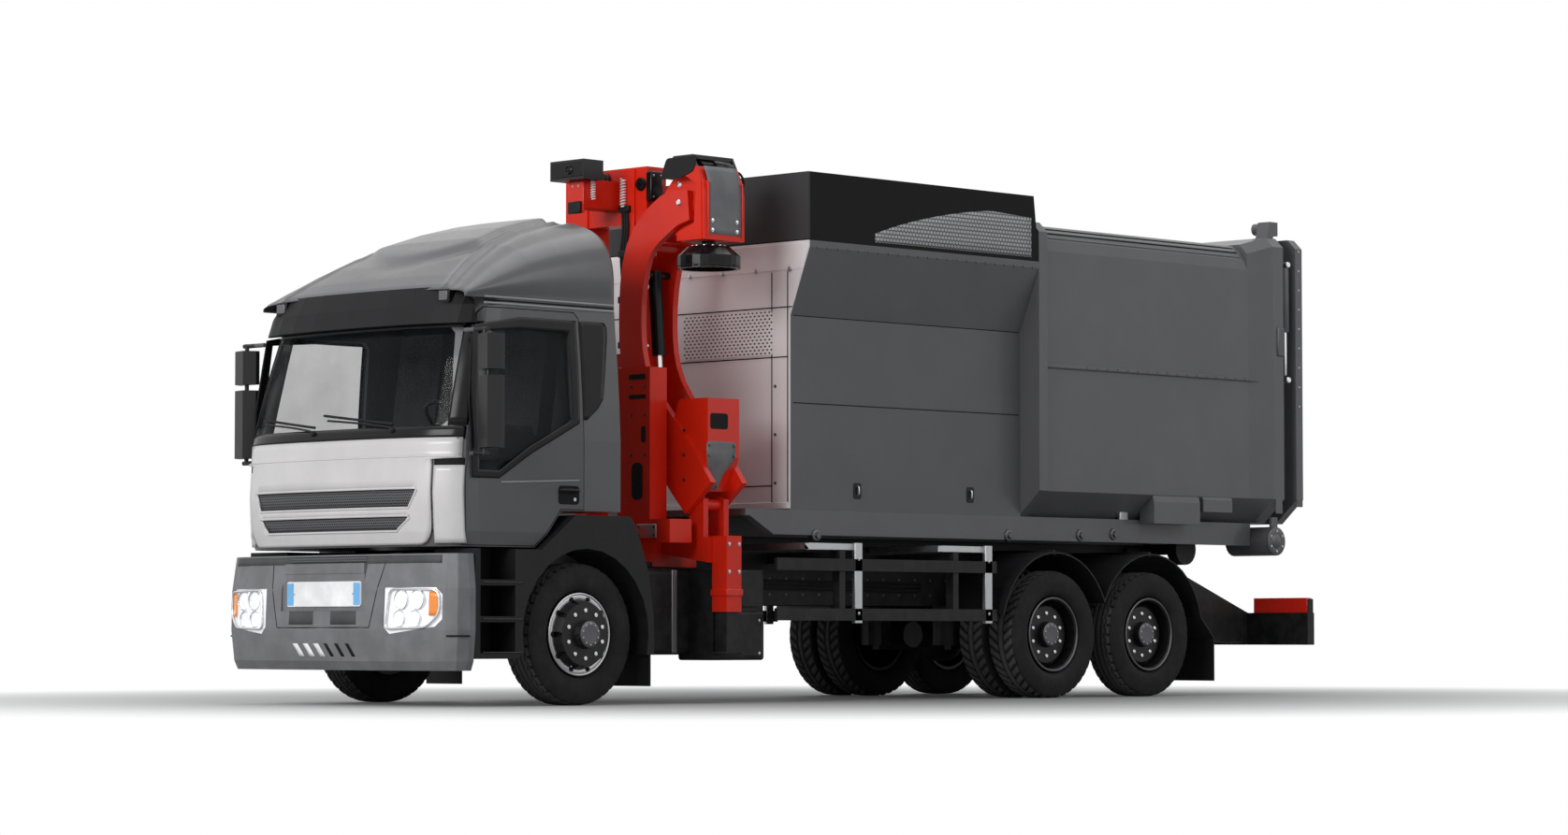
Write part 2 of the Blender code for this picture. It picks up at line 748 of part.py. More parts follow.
def subframe():
    """Rails on the frame's rails, with the body's hinge shaft and its rollers at the back."""
    front, back = station(SUBFRAME_FRONT), station(TIP_STATION) - TIP_SHAFT_RADIUS * 2
    rails = [block("rail", (side * RAIL_CENTRE - SUBFRAME_HALF, front, SUBFRAME_BOTTOM),
                   (side * RAIL_CENTRE + SUBFRAME_HALF, back, SUBFRAME_TOP))
             for side in (1, -1)]
    members = []
    for share in BASE_MEMBER_SHARES:
        middle = front + (back - front) * share
        members.append(block("member",
                             (-RAIL_CENTRE, middle - CROSS_MEMBER / 2,
                              SUBFRAME_BOTTOM + RAIL_PLATE),
                             (RAIL_CENTRE, middle + CROSS_MEMBER / 2,
                              SUBFRAME_TOP - 2 * RAIL_PLATE)))
    made = joined(rails[0], members[0], rails[1], *members[1:])
    pivot_y = station(TIP_STATION)
    for side in (1, -1):
        inner = side * (RAIL_OUT + RUNNING)
        outer = side * (RAIL_OUT + RUNNING + RAIL_PLATE * 2)
        hanger = prism("hanger", "X",
                       [(back - CROSS_MEMBER * 2, SUBFRAME_BOTTOM + RAIL_PLATE),
                        (pivot_y + TIP_SHAFT_RADIUS, SUBFRAME_BOTTOM + RAIL_PLATE),
                        (pivot_y + TIP_SHAFT_RADIUS * 1.4, TIP_Z),
                        (pivot_y + TIP_SHAFT_RADIUS, TIP_Z + TIP_SHAFT_RADIUS),
                        (back - CROSS_MEMBER * 2, TIP_Z)],
                       min(inner, outer), max(inner, outer))
        near, far = sorted((side * RAIL_CENTRE, side * (RAIL_OUT + RUNNING + RAIL_PLATE)))
        spacer = block("spacer", (near, back - CROSS_MEMBER * 1.8, SUBFRAME_BOTTOM + RAIL_PLATE * 2),
                       (far, back - RAIL_PLATE, TIP_Z - RAIL_PLATE))
        made = joined(made, spacer)
        made = joined(made, hanger)
    reach = ROLLER_CENTRE + ROLLER_WIDTH / 2
    shaft = rod("shaft", "X", (pivot_y, TIP_Z), TIP_SHAFT_RADIUS, -reach, reach)
    rollers = [rod("roller", "X", (pivot_y, TIP_Z), ROLLER_RADIUS,
                   side * ROLLER_CENTRE - ROLLER_WIDTH / 2,
                   side * ROLLER_CENTRE + ROLLER_WIDTH / 2, 24) for side in (1, -1)]
    return joined(made, shaft, *rollers)


def build_engine():
    half = ENGINE_WIDTH / 2
    made = block("engine", (-half, station(ENGINE_START), ENGINE_BOTTOM),
                 (half, station(ENGINE_START + ENGINE_LENGTH), ENGINE_TOP))
    mounts = [block("mount",
                    (side * half if side > 0 else -RAIL_IN - RAIL_PLATE,
                     station(ENGINE_START + ENGINE_LENGTH / 2), FRAME_TOP + SEAT),
                    (RAIL_IN + RAIL_PLATE if side > 0 else side * half,
                     station(ENGINE_START + ENGINE_LENGTH * 0.7), FRAME_TOP + CROSS_MEMBER))
              for side in (1, -1)]
    made = joined(made, *[copied("mount", item) for item in mounts])
    for item in mounts:
        bpy.data.objects.remove(item, do_unlink=True)
    return finished("engine_block", made, chassis_black())


def leaf_spring(side, middle, seat_z, top_z):
    """A bowed leaf spring pack with an eye at each end under the rail."""
    width = SPRING_WIDTH / 2
    points = [(middle - SPRING_HALF_SPAN, top_z - SPRING_THICKNESS / 2),
              (middle - SPRING_HALF_SPAN / 2, (seat_z + top_z) / 2 - SPRING_THICKNESS / 2),
              (middle, seat_z),
              (middle + SPRING_HALF_SPAN / 2, (seat_z + top_z) / 2 - SPRING_THICKNESS / 2),
              (middle + SPRING_HALF_SPAN, top_z - SPRING_THICKNESS / 2)]
    line = smooth_line(points, 3)
    outline = ribbon([point[:2] for point in line], [SPRING_THICKNESS] * len(line))
    spring = prism("spring", "X", outline, side * RAIL_CENTRE - width, side * RAIL_CENTRE + width)
    for end in (-1, 1):
        shackle = block("shackle",
                        (side * RAIL_CENTRE - width,
                         middle + end * SPRING_HALF_SPAN - SPRING_THICKNESS,
                         top_z - 2 * SPRING_THICKNESS),
                        (side * RAIL_CENTRE + width,
                         middle + end * SPRING_HALF_SPAN + SPRING_THICKNESS, top_z))
        spring = joined(spring, shackle)
    return spring


def build_front_axle():
    middle = station(0)
    beam_top = AXLE_Z - BEAM_DROP / 2
    outline = [(-KINGPIN_X, AXLE_Z + BEAM_DEPTH / 2), (-KINGPIN_X, AXLE_Z - BEAM_DEPTH / 2),
               (-RAIL_OUT - BEAM_WIDTH, beam_top - BEAM_DEPTH),
               (RAIL_OUT + BEAM_WIDTH, beam_top - BEAM_DEPTH),
               (KINGPIN_X, AXLE_Z - BEAM_DEPTH / 2), (KINGPIN_X, AXLE_Z + BEAM_DEPTH / 2),
               (RAIL_OUT + BEAM_WIDTH, beam_top), (-RAIL_OUT - BEAM_WIDTH, beam_top)]
    made = prism("beam", "Y", outline, middle - BEAM_WIDTH / 2, middle + BEAM_WIDTH / 2)
    for side in (1, -1):
        boss = rod("boss", "Z", (side * KINGPIN_X, middle), KINGPIN_RADIUS + RAIL_PLATE,
                   AXLE_Z - KINGPIN_BOSS / 2, AXLE_Z + KINGPIN_BOSS / 2)
        made = joined(made, boss, leaf_spring(side, middle, beam_top + SPRING_THICKNESS / 4,
                                              FRAME_BOTTOM - SEAT))
    return finished("front_axle", made, chassis_black(), 30)


def build_knuckle(name, side):
    """A fork over and under the axle's boss, with the wheel's spindle on its back."""
    middle = station(0)
    low = AXLE_Z - KINGPIN_BOSS / 2 - SEAT - KNUCKLE_PLATE
    high = AXLE_Z + KINGPIN_BOSS / 2 + SEAT + KNUCKLE_PLATE
    web_in = KINGPIN_X + KINGPIN_RADIUS + RAIL_PLATE + RUNNING
    web_out = web_in + KNUCKLE_PLATE
    made = block("web", (web_in, middle - KNUCKLE_RADIUS, low), (web_out, middle + KNUCKLE_RADIUS,
                                                                 high))
    for start in (low, high - KNUCKLE_PLATE):
        ear = rod("ear", "Z", (KINGPIN_X, middle), KNUCKLE_RADIUS, start, start + KNUCKLE_PLATE)
        reach = block("reach", (KINGPIN_X, middle - KNUCKLE_RADIUS * 0.96, start),
                      (web_out - RAIL_PLATE / 2, middle + KNUCKLE_RADIUS * 0.96,
                       start + KNUCKLE_PLATE))
        made = joined(made, joined(ear, reach))
    hub_face = FRONT_TRACK_HALF + FRONT_HUB_INNER
    spindle = rod("spindle", "X", (middle, AXLE_Z), SPINDLE_RADIUS, web_in + RAIL_PLATE,
                  hub_face - SEAT, AXLE_STEPS)
    made = joined(made, spindle)
    if side < 0:
        flipped = mirrored(name, made)
        bpy.data.objects.remove(made, do_unlink=True)
        made = flipped
    return finished(name, made, chassis_black(), 30)


def build_rear_axle(name, middle, hub_inner, with_diff):
    made = rod("tube", "X", (middle, AXLE_Z), AXLE_TUBE_RADIUS, -hub_inner + SEAT,
               hub_inner - SEAT, AXLE_STEPS)
    if with_diff:
        half = DIFF_LENGTH / 2
        ball = revolve("diff", "X", (middle, AXLE_Z),
                       [(0, -half), (DIFF_RADIUS * 0.6, -half), (DIFF_RADIUS, -half / 2),
                        (DIFF_RADIUS, half / 2), (DIFF_RADIUS * 0.6, half), (0, half)], 20)
        nose = rod("nose", "Y", (0, AXLE_Z), DIFF_RADIUS * 0.5, middle - DIFF_RADIUS * 1.5, middle)
        made = joined(made, ball, nose)
    for side in (1, -1):
        flange = rod("flange", "X", (middle, AXLE_Z), AXLE_FLANGE_RADIUS,
                     side * (hub_inner - SEAT) - (DISC_THICKNESS if side > 0 else 0),
                     side * (hub_inner - SEAT) + (0 if side > 0 else DISC_THICKNESS), AXLE_STEPS)
        beam_low = AXLE_Z - AXLE_TUBE_RADIUS - AIR_BEAM_DEPTH / 2
        beam = block("beam", (side * RAIL_CENTRE - SPRING_WIDTH / 2, middle - AIR_SPRING_REACH,
                              beam_low),
                     (side * RAIL_CENTRE + SPRING_WIDTH / 2, middle + AIR_SPRING_REACH,
                      beam_low + AIR_BEAM_DEPTH))
        springs = [rod("bag", "Z", (side * RAIL_CENTRE, middle + end * AIR_SPRING_REACH),
                       AIR_SPRING_RADIUS, beam_low + AIR_BEAM_DEPTH / 2, FRAME_BOTTOM - SEAT, 14)
                   for end in (-1, 1)]
        made = joined(made, flange, beam, *springs)
    return finished(name, made, chassis_black(), 30)


# Wheels


def build_tyre(name, middle_x, middle_y):
    """A tyre with bulged walls, from shares of its wall height and of its width."""
    height = TYRE_RADIUS - RIM_RADIUS - SEAT
    half = [(RIM_RADIUS + SEAT + height * up, TYRE_WIDTH * out)
            for up, out in TYRE_PROFILE_SHARES]
    profile = [(radius, middle_x + out) for radius, out in half]
    profile += [(radius, middle_x - out) for radius, out in reversed(half)]
    made = revolve(name, "X", (middle_y, AXLE_Z), profile, WHEEL_STEPS)
    return finished(name, made, rubber(), 40)


def rim_profile(side, middle, disc_out, inner_edge, hub_inner):
    """Half section of a dished disc wheel, from the hub cap over the disc to the inner edge."""
    outer_edge = middle + RIM_WIDTH / 2
    disc = middle + disc_out
    cap = disc + HUB_CAP_LENGTH
    drum = RIM_RADIUS - RIM_WALL
    shoulder = min(outer_edge, disc) - DISC_THICKNESS * 2
    points = [(0, cap), (HUB_CAP_RADIUS, cap), (HUB_CAP_RADIUS * 1.15, disc),
              (NUT_CIRCLE_RADIUS + DISC_THICKNESS, disc), (drum, shoulder),
              (drum, outer_edge - RIM_WALL / 2), (RIM_RADIUS, outer_edge),
              (RIM_RADIUS, inner_edge), (drum, inner_edge),
              (drum, shoulder - DISC_THICKNESS),
              (NUT_CIRCLE_RADIUS, disc - DISC_THICKNESS),
              (HUB_RADIUS, disc - DISC_THICKNESS), (HUB_RADIUS * 0.8, hub_inner), (0, hub_inner)]
    return [(radius, side * along) for radius, along in points]


def build_rim(name, side, middle_y, middle, disc_out, inner_edge, hub_inner, vents=0):
    made = revolve(name, "X", (middle_y, AXLE_Z),
                   rim_profile(side, middle, disc_out, inner_edge, hub_inner), WHEEL_STEPS)
    disc = middle + disc_out
    for index in range(vents):
        turn = 2 * math.pi * index / vents
        place = (middle_y + VENT_CIRCLE_RADIUS * math.cos(turn),
                 AXLE_Z + VENT_CIRCLE_RADIUS * math.sin(turn))
        near, far = side * (disc - OVERRUN * 2), side * (disc + OVERRUN)
        vent = rod("vent", "X", place, VENT_RADIUS, min(near, far), max(near, far), 6)
        made = cut(made, vent)
    return finished(name, made, rim_steel(), 30)


def build_wheels():
    """Front, twin drive and tag wheels on each side, each with its tyre."""
    made = {}
    for side, hand in ((1, "left"), (-1, "right")):
        front_y, drive_y, tag_y = station(0), station(WHEELBASE), station(TAG_STATION)
        made["front_wheel_" + hand] = [
            build_tyre("front_tyre_" + hand, side * FRONT_TRACK_HALF, front_y),
            build_rim("front_rim_" + hand, side, front_y, FRONT_TRACK_HALF, FRONT_DISC_OUT,
                      FRONT_TRACK_HALF - RIM_WIDTH / 2, FRONT_TRACK_HALF + FRONT_HUB_INNER,
                      VENT_COUNT)]
        inner = REAR_TRACK_HALF - TWIN_PITCH
        made["drive_wheel_" + hand] = [
            build_tyre("drive_outer_tyre_" + hand, side * REAR_TRACK_HALF, drive_y),
            build_tyre("drive_inner_tyre_" + hand, side * inner, drive_y),
            build_rim("drive_rim_" + hand, side, drive_y, REAR_TRACK_HALF, REAR_DISC_OUT,
                      inner - RIM_WIDTH / 2, inner - RIM_WIDTH / 2)]
        made["tag_wheel_" + hand] = [
            build_tyre("tag_tyre_" + hand, side * REAR_TRACK_HALF, tag_y),
            build_rim("tag_rim_" + hand, side, tag_y, REAR_TRACK_HALF, REAR_DISC_OUT,
                      REAR_TRACK_HALF - RIM_WIDTH / 2, REAR_TRACK_HALF - RIM_WIDTH / 2)]
        for body, place in (("front", front_y), ("drive", drive_y), ("tag", tag_y)):
            key = body + "_wheel_" + hand
            pivot(key + "_pivot", (side * REAR_TRACK_HALF, place, AXLE_Z), *made[key])
    return made


# Cab


def cab_ring(level, inset, z=None):
    """The cab's outline at one level: flat sides and back, a rounded front."""
    share, setback, narrowing = level
    height = CAB_BOTTOM + (CAB_SEAM - CAB_BOTTOM) * share if z is None else z
    half = CAB_HALF_WIDTH * (1 - narrowing) - inset
    front = station(-CAB_FRONT) + CAB_HALF_WIDTH * setback + inset
    corner = front + CAB_CORNER_DEPTH - inset / 2
    depth = corner - front
    back = station(CAB_BACK) - inset
    points = [(half, back, height)]
    for index in range(CORNER_STEPS + 1):
        turn = math.pi / 2 * index / CORNER_STEPS
        points.append((half * math.cos(turn) ** CORNER_POWER_SHARE if index < CORNER_STEPS else 0,
                       corner - depth * math.sin(turn) ** CORNER_POWER_SHARE, height))
    points += [(-x, y, z_) for x, y, z_ in reversed(points[:-1])]
    return points


def cab_level(z):
    """The level's shares at a height, between the table's rows."""
    share = (z - CAB_BOTTOM) / (CAB_SEAM - CAB_BOTTOM)
    rows = CAB_LEVEL_SHARES
    for lower, upper in zip(rows, rows[1:]):
        if share <= upper[0] or upper is rows[-1]:
            part = (share - lower[0]) / (upper[0] - lower[0])
            return tuple(a + (b - a) * part for a, b in zip(lower, upper))
    return rows[-1]


def cab_volume(name, inset, bottom, top):
    """The cab's outer form, offset inwards, between two heights."""
    heights = [bottom]
    heights += [CAB_BOTTOM + (CAB_SEAM - CAB_BOTTOM) * row[0] for row in CAB_LEVEL_SHARES]
    heights = sorted(height for height in heights if bottom <= height < top) + [top]
    heights = sorted(set(heights))
    return loft(name, [cab_ring(cab_level(height), inset, height) for height in heights])


def windscreen_outline(shrink):
    """Windscreen outline in X and Z, with blunt corners, shrunk all round."""
    low, high = SCREEN_BOTTOM + shrink, SCREEN_TOP - shrink
    bottom, top = SCREEN_HALF_BOTTOM - shrink, SCREEN_HALF_TOP - shrink
    blunt = DOOR_FRAME
    half = [(bottom - blunt, low), (bottom, low + blunt), (top, high - blunt), (top - blunt, high)]
    return half + [(-x, z) for x, z in reversed(half)]


def door_outline(shrink):
    """Door outline in Y and Z: it follows the wheel arch at its lower back corner."""
    front, back = station(-DOOR_FRONT) + shrink, station(DOOR_BACK) - shrink
    low = CAB_BOTTOM + DOOR_GAP + shrink
    lift = (CAB_TUNNEL_BOTTOM - CAB_BOTTOM)
    return [(front, low), (station(-ARCH_START) - shrink / 2, low),
            (station(-ARCH_START + ARCH_RUN * 0.45) - shrink, low + lift * 0.35),
            (station(-ARCH_START + ARCH_RUN * 0.8) - shrink, low + lift * 0.75),
            (station(-ARCH_START + ARCH_RUN) - shrink / 2, low + lift),
            (back, low + lift), (back, DOOR_TOP - shrink - DOOR_FRAME / 2),
            (back - DOOR_FRAME / 2, DOOR_TOP - shrink),
            (front + DOOR_RAKE + DOOR_FRAME / 2, DOOR_TOP - shrink),
            (front + DOOR_RAKE, DOOR_TOP - shrink - DOOR_FRAME / 2), (front, DOOR_WINDOW_DROP)]


def window_outline(shrink):
    """Door window in Y and Z, its sill falling towards the front."""
    front = station(-DOOR_FRONT) + DOOR_FRAME + shrink
    back = station(DOOR_BACK) - DOOR_FRAME - shrink
    top = DOOR_WINDOW_TOP - shrink
    sill = DOOR_WINDOW_SILL + shrink
    drop = DOOR_WINDOW_DROP + shrink
    blunt = DOOR_FRAME / 2
    middle = front + (back - front) * DOOR_SILL_SHARE
    return [(front + blunt, drop), (middle, drop), (back - blunt, sill), (back, sill + blunt),
            (back, top - blunt), (back - blunt, top), (front + DOOR_RAKE + blunt, top),
            (front + DOOR_RAKE - SEAT, top - blunt), (front, drop + blunt)]


def arch_cutter(name):
    """What the wheel arch takes out of the cab's bottom, as a prism along X."""
    low = CAB_BOTTOM - OVERRUN
    lift = CAB_TUNNEL_BOTTOM - CAB_BOTTOM
    outline = [(station(-ARCH_START), low), (station(-ARCH_START), CAB_BOTTOM),
               (station(-ARCH_START + ARCH_RUN * 0.45), CAB_BOTTOM + lift * 0.35),
               (station(-ARCH_START + ARCH_RUN * 0.8), CAB_BOTTOM + lift * 0.75),
               (station(-ARCH_START + ARCH_RUN), CAB_TUNNEL_BOTTOM),
               (station(CAB_BACK) + OVERRUN, CAB_TUNNEL_BOTTOM),
               (station(CAB_BACK) + OVERRUN, low)]
    half = CAB_HALF_WIDTH + OVERRUN
    return prism(name, "X", outline, -half, half)


def build_cab_shell():
    made = cab_volume("shell", 0, CAB_BOTTOM, CAB_SEAM)
    made = cut(made, cab_volume("room", CAB_WALL, CAB_FLOOR, CAB_SEAM + OVERRUN),
               arch_cutter("arch"),
               prism("screen", "Y", windscreen_outline(0), station(-CAB_FRONT) - OVERRUN,
                     station(-CAB_FRONT) + CAB_HALF_WIDTH * 0.7))
    half = CAB_HALF_WIDTH
    for side in (1, -1):
        inner = half - CAB_WALL * 3.5
        low, high = sorted((side * inner, side * (half + OVERRUN)))
        made = cut(made, prism("doorway", "X", door_outline(0), low, high))
    return finished("cab_shell", made, cab_grey(), 30)


def build_windscreen():
    made = cab_volume("glass", GLASS_SINK, SCREEN_BOTTOM - OVERRUN, SCREEN_TOP + OVERRUN)
    made = cut(made, cab_volume("inner", GLASS_SINK + GLASS, SCREEN_BOTTOM - 2 * OVERRUN,
                                SCREEN_TOP + 2 * OVERRUN))
    keeper = prism("keeper", "Y", windscreen_outline(SEAT), station(-CAB_FRONT) - OVERRUN,
                   station(-CAB_FRONT) + CAB_HALF_WIDTH * 0.7 - SEAT)
    return finished("windscreen", kept(made, keeper), glass(), 30)


def build_door(name, side):
    made = cab_volume("door", 0, CAB_BOTTOM, CAB_SEAM)
    made = cut(made, cab_volume("inner", CAB_WALL, CAB_BOTTOM - OVERRUN, CAB_SEAM + OVERRUN))
    low, high = sorted((side * (CAB_HALF_WIDTH - CAB_WALL * 3), side * (CAB_HALF_WIDTH + OVERRUN)))
    made = kept(made, prism("keeper", "X", door_outline(DOOR_GAP), low, high))
    made = cut(made, prism("window", "X", window_outline(0), low - OVERRUN, high + OVERRUN))
    made = joined(made, mirror(side))
    return finished(name, made, cab_grey(), 30)


def build_door_glass(name, side):
    made = cab_volume("glass", GLASS_SINK, DOOR_WINDOW_DROP - OVERRUN,
                      DOOR_WINDOW_TOP + OVERRUN)
    made = cut(made, cab_volume("inner", GLASS_SINK + GLASS, DOOR_WINDOW_DROP - 2 * OVERRUN,
                                DOOR_WINDOW_TOP + 2 * OVERRUN))
    low, high = sorted((side * (CAB_HALF_WIDTH - CAB_WALL * 3), side * (CAB_HALF_WIDTH + OVERRUN)))
    made = kept(made, prism("keeper", "X", window_outline(SEAT), low, high))
    return finished(name, made, glass(), 30)


def roof_section(y, half, height, bottom):
    """One arched section of the roof, a rounded oblong on its flat base."""
    points = []
    for index in range(ROOF_HALF_STEPS + 1):
        turn = math.pi * index / ROOF_HALF_STEPS
        across = math.copysign(abs(math.cos(turn)) ** ROOF_CORNER_SHARE, math.cos(turn))
        points.append((half * across, y, CAB_SEAM + height * math.sin(turn) ** ROOF_CORNER_SHARE))
    points[0] = (half, y, bottom)
    points[-1] = (-half, y, bottom)
    return points


def roof_volume(name, inset, bottom):
    """The arched roof within the cab's outline at the seam, offset inwards."""
    level = CAB_LEVEL_SHARES[-1]
    half = CAB_HALF_WIDTH * (1 - level[2]) - inset + SEAT * 9
    front = station(-CAB_FRONT) + CAB_HALF_WIDTH * level[1] + inset - SEAT * 9
    back = station(CAB_BACK) - inset + SEAT * 9
    height = ROOF_TOP - CAB_SEAM - inset
    rings = [roof_section(front + (back - front) * along, half, height * up, bottom - OVERRUN)
             for along, up in ROOF_TOP_SHARES]
    plan = loft("plan", [cab_ring(level, inset, z) for z in (bottom, ROOF_TOP + OVERRUN)])
    return kept(loft(name, rings), plan)


def build_roof():
    made = roof_volume("roof", 0, CAB_SEAM + SEAT)
    made = cut(made, roof_volume("hollow", ROOF_WALL, CAB_SEAM - OVERRUN))
    return finished("cab_roof", made, cab_grey(), 30)


def build_visor():
    heights = (VISOR_BOTTOM, (VISOR_BOTTOM + VISOR_TOP) / 2, VISOR_TOP)
    reaches = (VISOR_REACH, VISOR_REACH, VISOR_REACH * 0.45)
    rings = [cab_ring(cab_level(min(height, CAB_SEAM)), -reach, height)
             for height, reach in zip(heights, reaches)]
    made = loft("visor", rings)
    core = loft("core", [cab_ring(cab_level(min(height, CAB_SEAM)), -SEAT, height)
                         for height in (VISOR_BOTTOM - OVERRUN, CAB_SEAM, VISOR_TOP + OVERRUN)])
    half = CAB_HALF_WIDTH + OVERRUN * 4
    keep = block("keep", (-half, station(-CAB_FRONT - VISOR_REACH * 2), VISOR_BOTTOM - OVERRUN),
                 (half, station(-VISOR_BACK), VISOR_TOP + OVERRUN))
    made = kept(cut(made, core), keep)
    return finished("sun_visor", made, plastic_black(), 30)


def build_dashboard():
    made = cab_volume("dash", CAB_WALL + SEAT, CAB_FLOOR + SEAT, DASH_TOP)
    half = CAB_HALF_WIDTH - CAB_WALL * 3.6
    front = station(-CAB_FRONT)
    side_view = [(front, DASH_BOTTOM), (front + DASH_DEPTH, CAB_FLOOR + SEAT),
                 (front + DASH_DEPTH * 1.2, DASH_BOTTOM), (front + DASH_DEPTH * 1.3,
                                                           DASH_TOP - DOOR_FRAME),
                 (front + DASH_DEPTH, DASH_TOP + SEAT * 2), (front, DASH_TOP - DOOR_FRAME / 2)]
    keep = prism("keep", "X", side_view, -half, half)
    made = joined(kept(made, keep), steering_wheel())
    return finished("dashboard", made, plastic_black(), 30)


def build_seat(name, side):
    back = station(SEAT_BACK_STATION)
    half = SEAT_WIDTH / 2
    x = side * SEAT_X
    base_top = CAB_FLOOR + SEAT_BASE_HEIGHT
    cushion = block("cushion", (x - half, back - SEAT_DEPTH, base_top - SEAT_CUSHION_LAP),
                    (x + half, back, SEAT_CUSHION_TOP))
    base = block("base", (x - half * 0.6, back - SEAT_DEPTH * 0.85, CAB_FLOOR + SEAT),
                 (x + half * 0.6, back - SEAT_DEPTH * 0.15, base_top))
    rest = prism("rest", "X",
                 [(back - SEAT_BACK_THICKNESS, SEAT_CUSHION_TOP - SEAT_BACK_THICKNESS),
                  (back, SEAT_CUSHION_TOP - SEAT_BACK_THICKNESS),
                  (back + SEAT_BACK_THICKNESS, SEAT_CUSHION_TOP + SEAT_BACK_HEIGHT),
                  (back, SEAT_CUSHION_TOP + SEAT_BACK_HEIGHT)], x - half * 0.94, x + half * 0.94)
    return finished(name, joined(cushion, base, rest), seat_cloth(), 30)


def steering_wheel():
    """A rim on three arms and a column that reaches the dashboard."""
    front = station(-CAB_FRONT) + DASH_DEPTH * 1.3
    centre = (0, 0)
    ring = [(STEERING_RADIUS + STEERING_TUBE * math.cos(turn), STEERING_TUBE * math.sin(turn))
            for turn in (2 * math.pi * step / 6 for step in range(6))]
    made = rod("column", "Z", centre, STEERING_TUBE * 2, -DASH_DEPTH * 0.62, STEERING_TUBE, 10)
    bar = rod("bar", "X", centre, STEERING_TUBE * 0.6, -STEERING_RADIUS, STEERING_RADIUS, 8)
    post = rod("post", "Y", centre, STEERING_TUBE * 0.5, -STEERING_RADIUS, 0, 8)
    made = joined(made, bar, post, revolve("ring", "Z", centre, ring, 20))
    tilt = Matrix.Rotation(math.radians(STEERING_TILT), 4, "X")
    place = Matrix.Translation(Vector((SEAT_X, front + STEERING_RADIUS * 0.55,
                                       DASH_TOP + STEERING_TUBE * 3)))
    made.data.transform(place @ tilt)
    return made


def mirror(side):
    """Two housings, one over the other, on two arms from the door's front edge."""
    x = side * (CAB_HALF_WIDTH + MIRROR_OUT)
    y = station(-MIRROR_FORWARD)
    half = MIRROR_WIDTH / 2
    outline = [(x - half, y), (x - half * 0.7, y - MIRROR_DEPTH * 0.7),
               (x + half * 0.5, y - MIRROR_DEPTH), (x + half, y - MIRROR_DEPTH * 0.3),
               (x + half, y)]
    split = MIRROR_TOP - MIRROR_HEIGHT * 0.34
    upper = prism("upper", "Z", outline, split + DOOR_FRAME / 4, MIRROR_TOP)
    lower = prism("lower", "Z", outline, MIRROR_TOP - MIRROR_HEIGHT, split - DOOR_FRAME / 4)
    stem = rod("stem", "Z", (x - side * half * 0.3, y - MIRROR_DEPTH / 2), MIRROR_ARM_RADIUS,
               MIRROR_TOP - MIRROR_HEIGHT - OVERRUN, MIRROR_TOP + OVERRUN, 8)
    made = joined(stem, upper, lower)
    for z in (MIRROR_TOP + OVERRUN * 0.7, MIRROR_TOP - MIRROR_HEIGHT - OVERRUN * 0.7):
        skin = CAB_HALF_WIDTH * (1 - cab_level(z)[2]) - CAB_WALL / 2
        arm = rod("arm", "X", (y - MIRROR_DEPTH / 2, z), MIRROR_ARM_RADIUS,
                  *sorted((side * skin, x)), 8)
        made = joined(made, arm)
    return made


def build_cab():
    shell = build_cab_shell()
    inside = [build_roof(), build_windscreen(), build_visor(), build_dashboard(),
              build_seat("seat_left", 1), build_seat("seat_right", -1)]
    pivot("cab_pivot", (0, station(-CAB_HINGE_FORWARD), CAB_HINGE_Z), shell, *inside)
    for side, hand in ((1, "left"), (-1, "right")):
        pieces = [build_door("door_" + hand, side), build_door_glass("door_glass_" + hand, side)]
        pivot("door_" + hand + "_pivot",
              (side * (CAB_HALF_WIDTH + DOOR_GAP), station(-DOOR_FRONT), CAB_BOTTOM), *pieces)


# Front end


def bumper_volume(name, inset, bottom_share, top_share):
    rings = []
    height = BUMPER_TOP - BUMPER_BOTTOM
    for share, setback, narrowing in BUMPER_LEVEL_SHARES:
        at = min(max(share, bottom_share), top_share)
        half = BUMPER_HALF_WIDTH * (1 - narrowing) - inset
        front = station(-FRONT_OVERHANG) + BUMPER_HALF_WIDTH * setback + inset
        corner = station(-BUMPER_BACK) - CAB_WALL
        back = station(-BUMPER_BACK)
        depth = corner - front
        points = [(half, back, BUMPER_BOTTOM + height * at)]
        for index in range(CORNER_STEPS + 1):
            turn = math.pi / 2 * index / CORNER_STEPS
            across = half * math.cos(turn) ** BUMPER_POWER_SHARE if index < CORNER_STEPS else 0
            points.append((across, corner - depth * math.sin(turn) ** BUMPER_POWER_SHARE,
                           BUMPER_BOTTOM + height * at))
        points += [(-x, y, z) for x, y, z in reversed(points[:-1])]
        rings.append(points)
    return loft(name, rings)


def lamp_outline(side, shrink):
    """A headlamp's outline in X and Z: deeper at its inner end."""
    inner, outer = LAMP_INNER + shrink, LAMP_OUTER - shrink
    low, high = LAMP_BOTTOM + shrink, LAMP_TOP - shrink
    blunt = CAB_WALL
    points = [(inner + blunt, low), (outer - blunt, low + blunt), (outer, low + blunt * 2),
              (outer, high - blunt), (outer - blunt, high), (inner, high), (inner, low + blunt)]
    return [(side * x, z) for x, z in points]


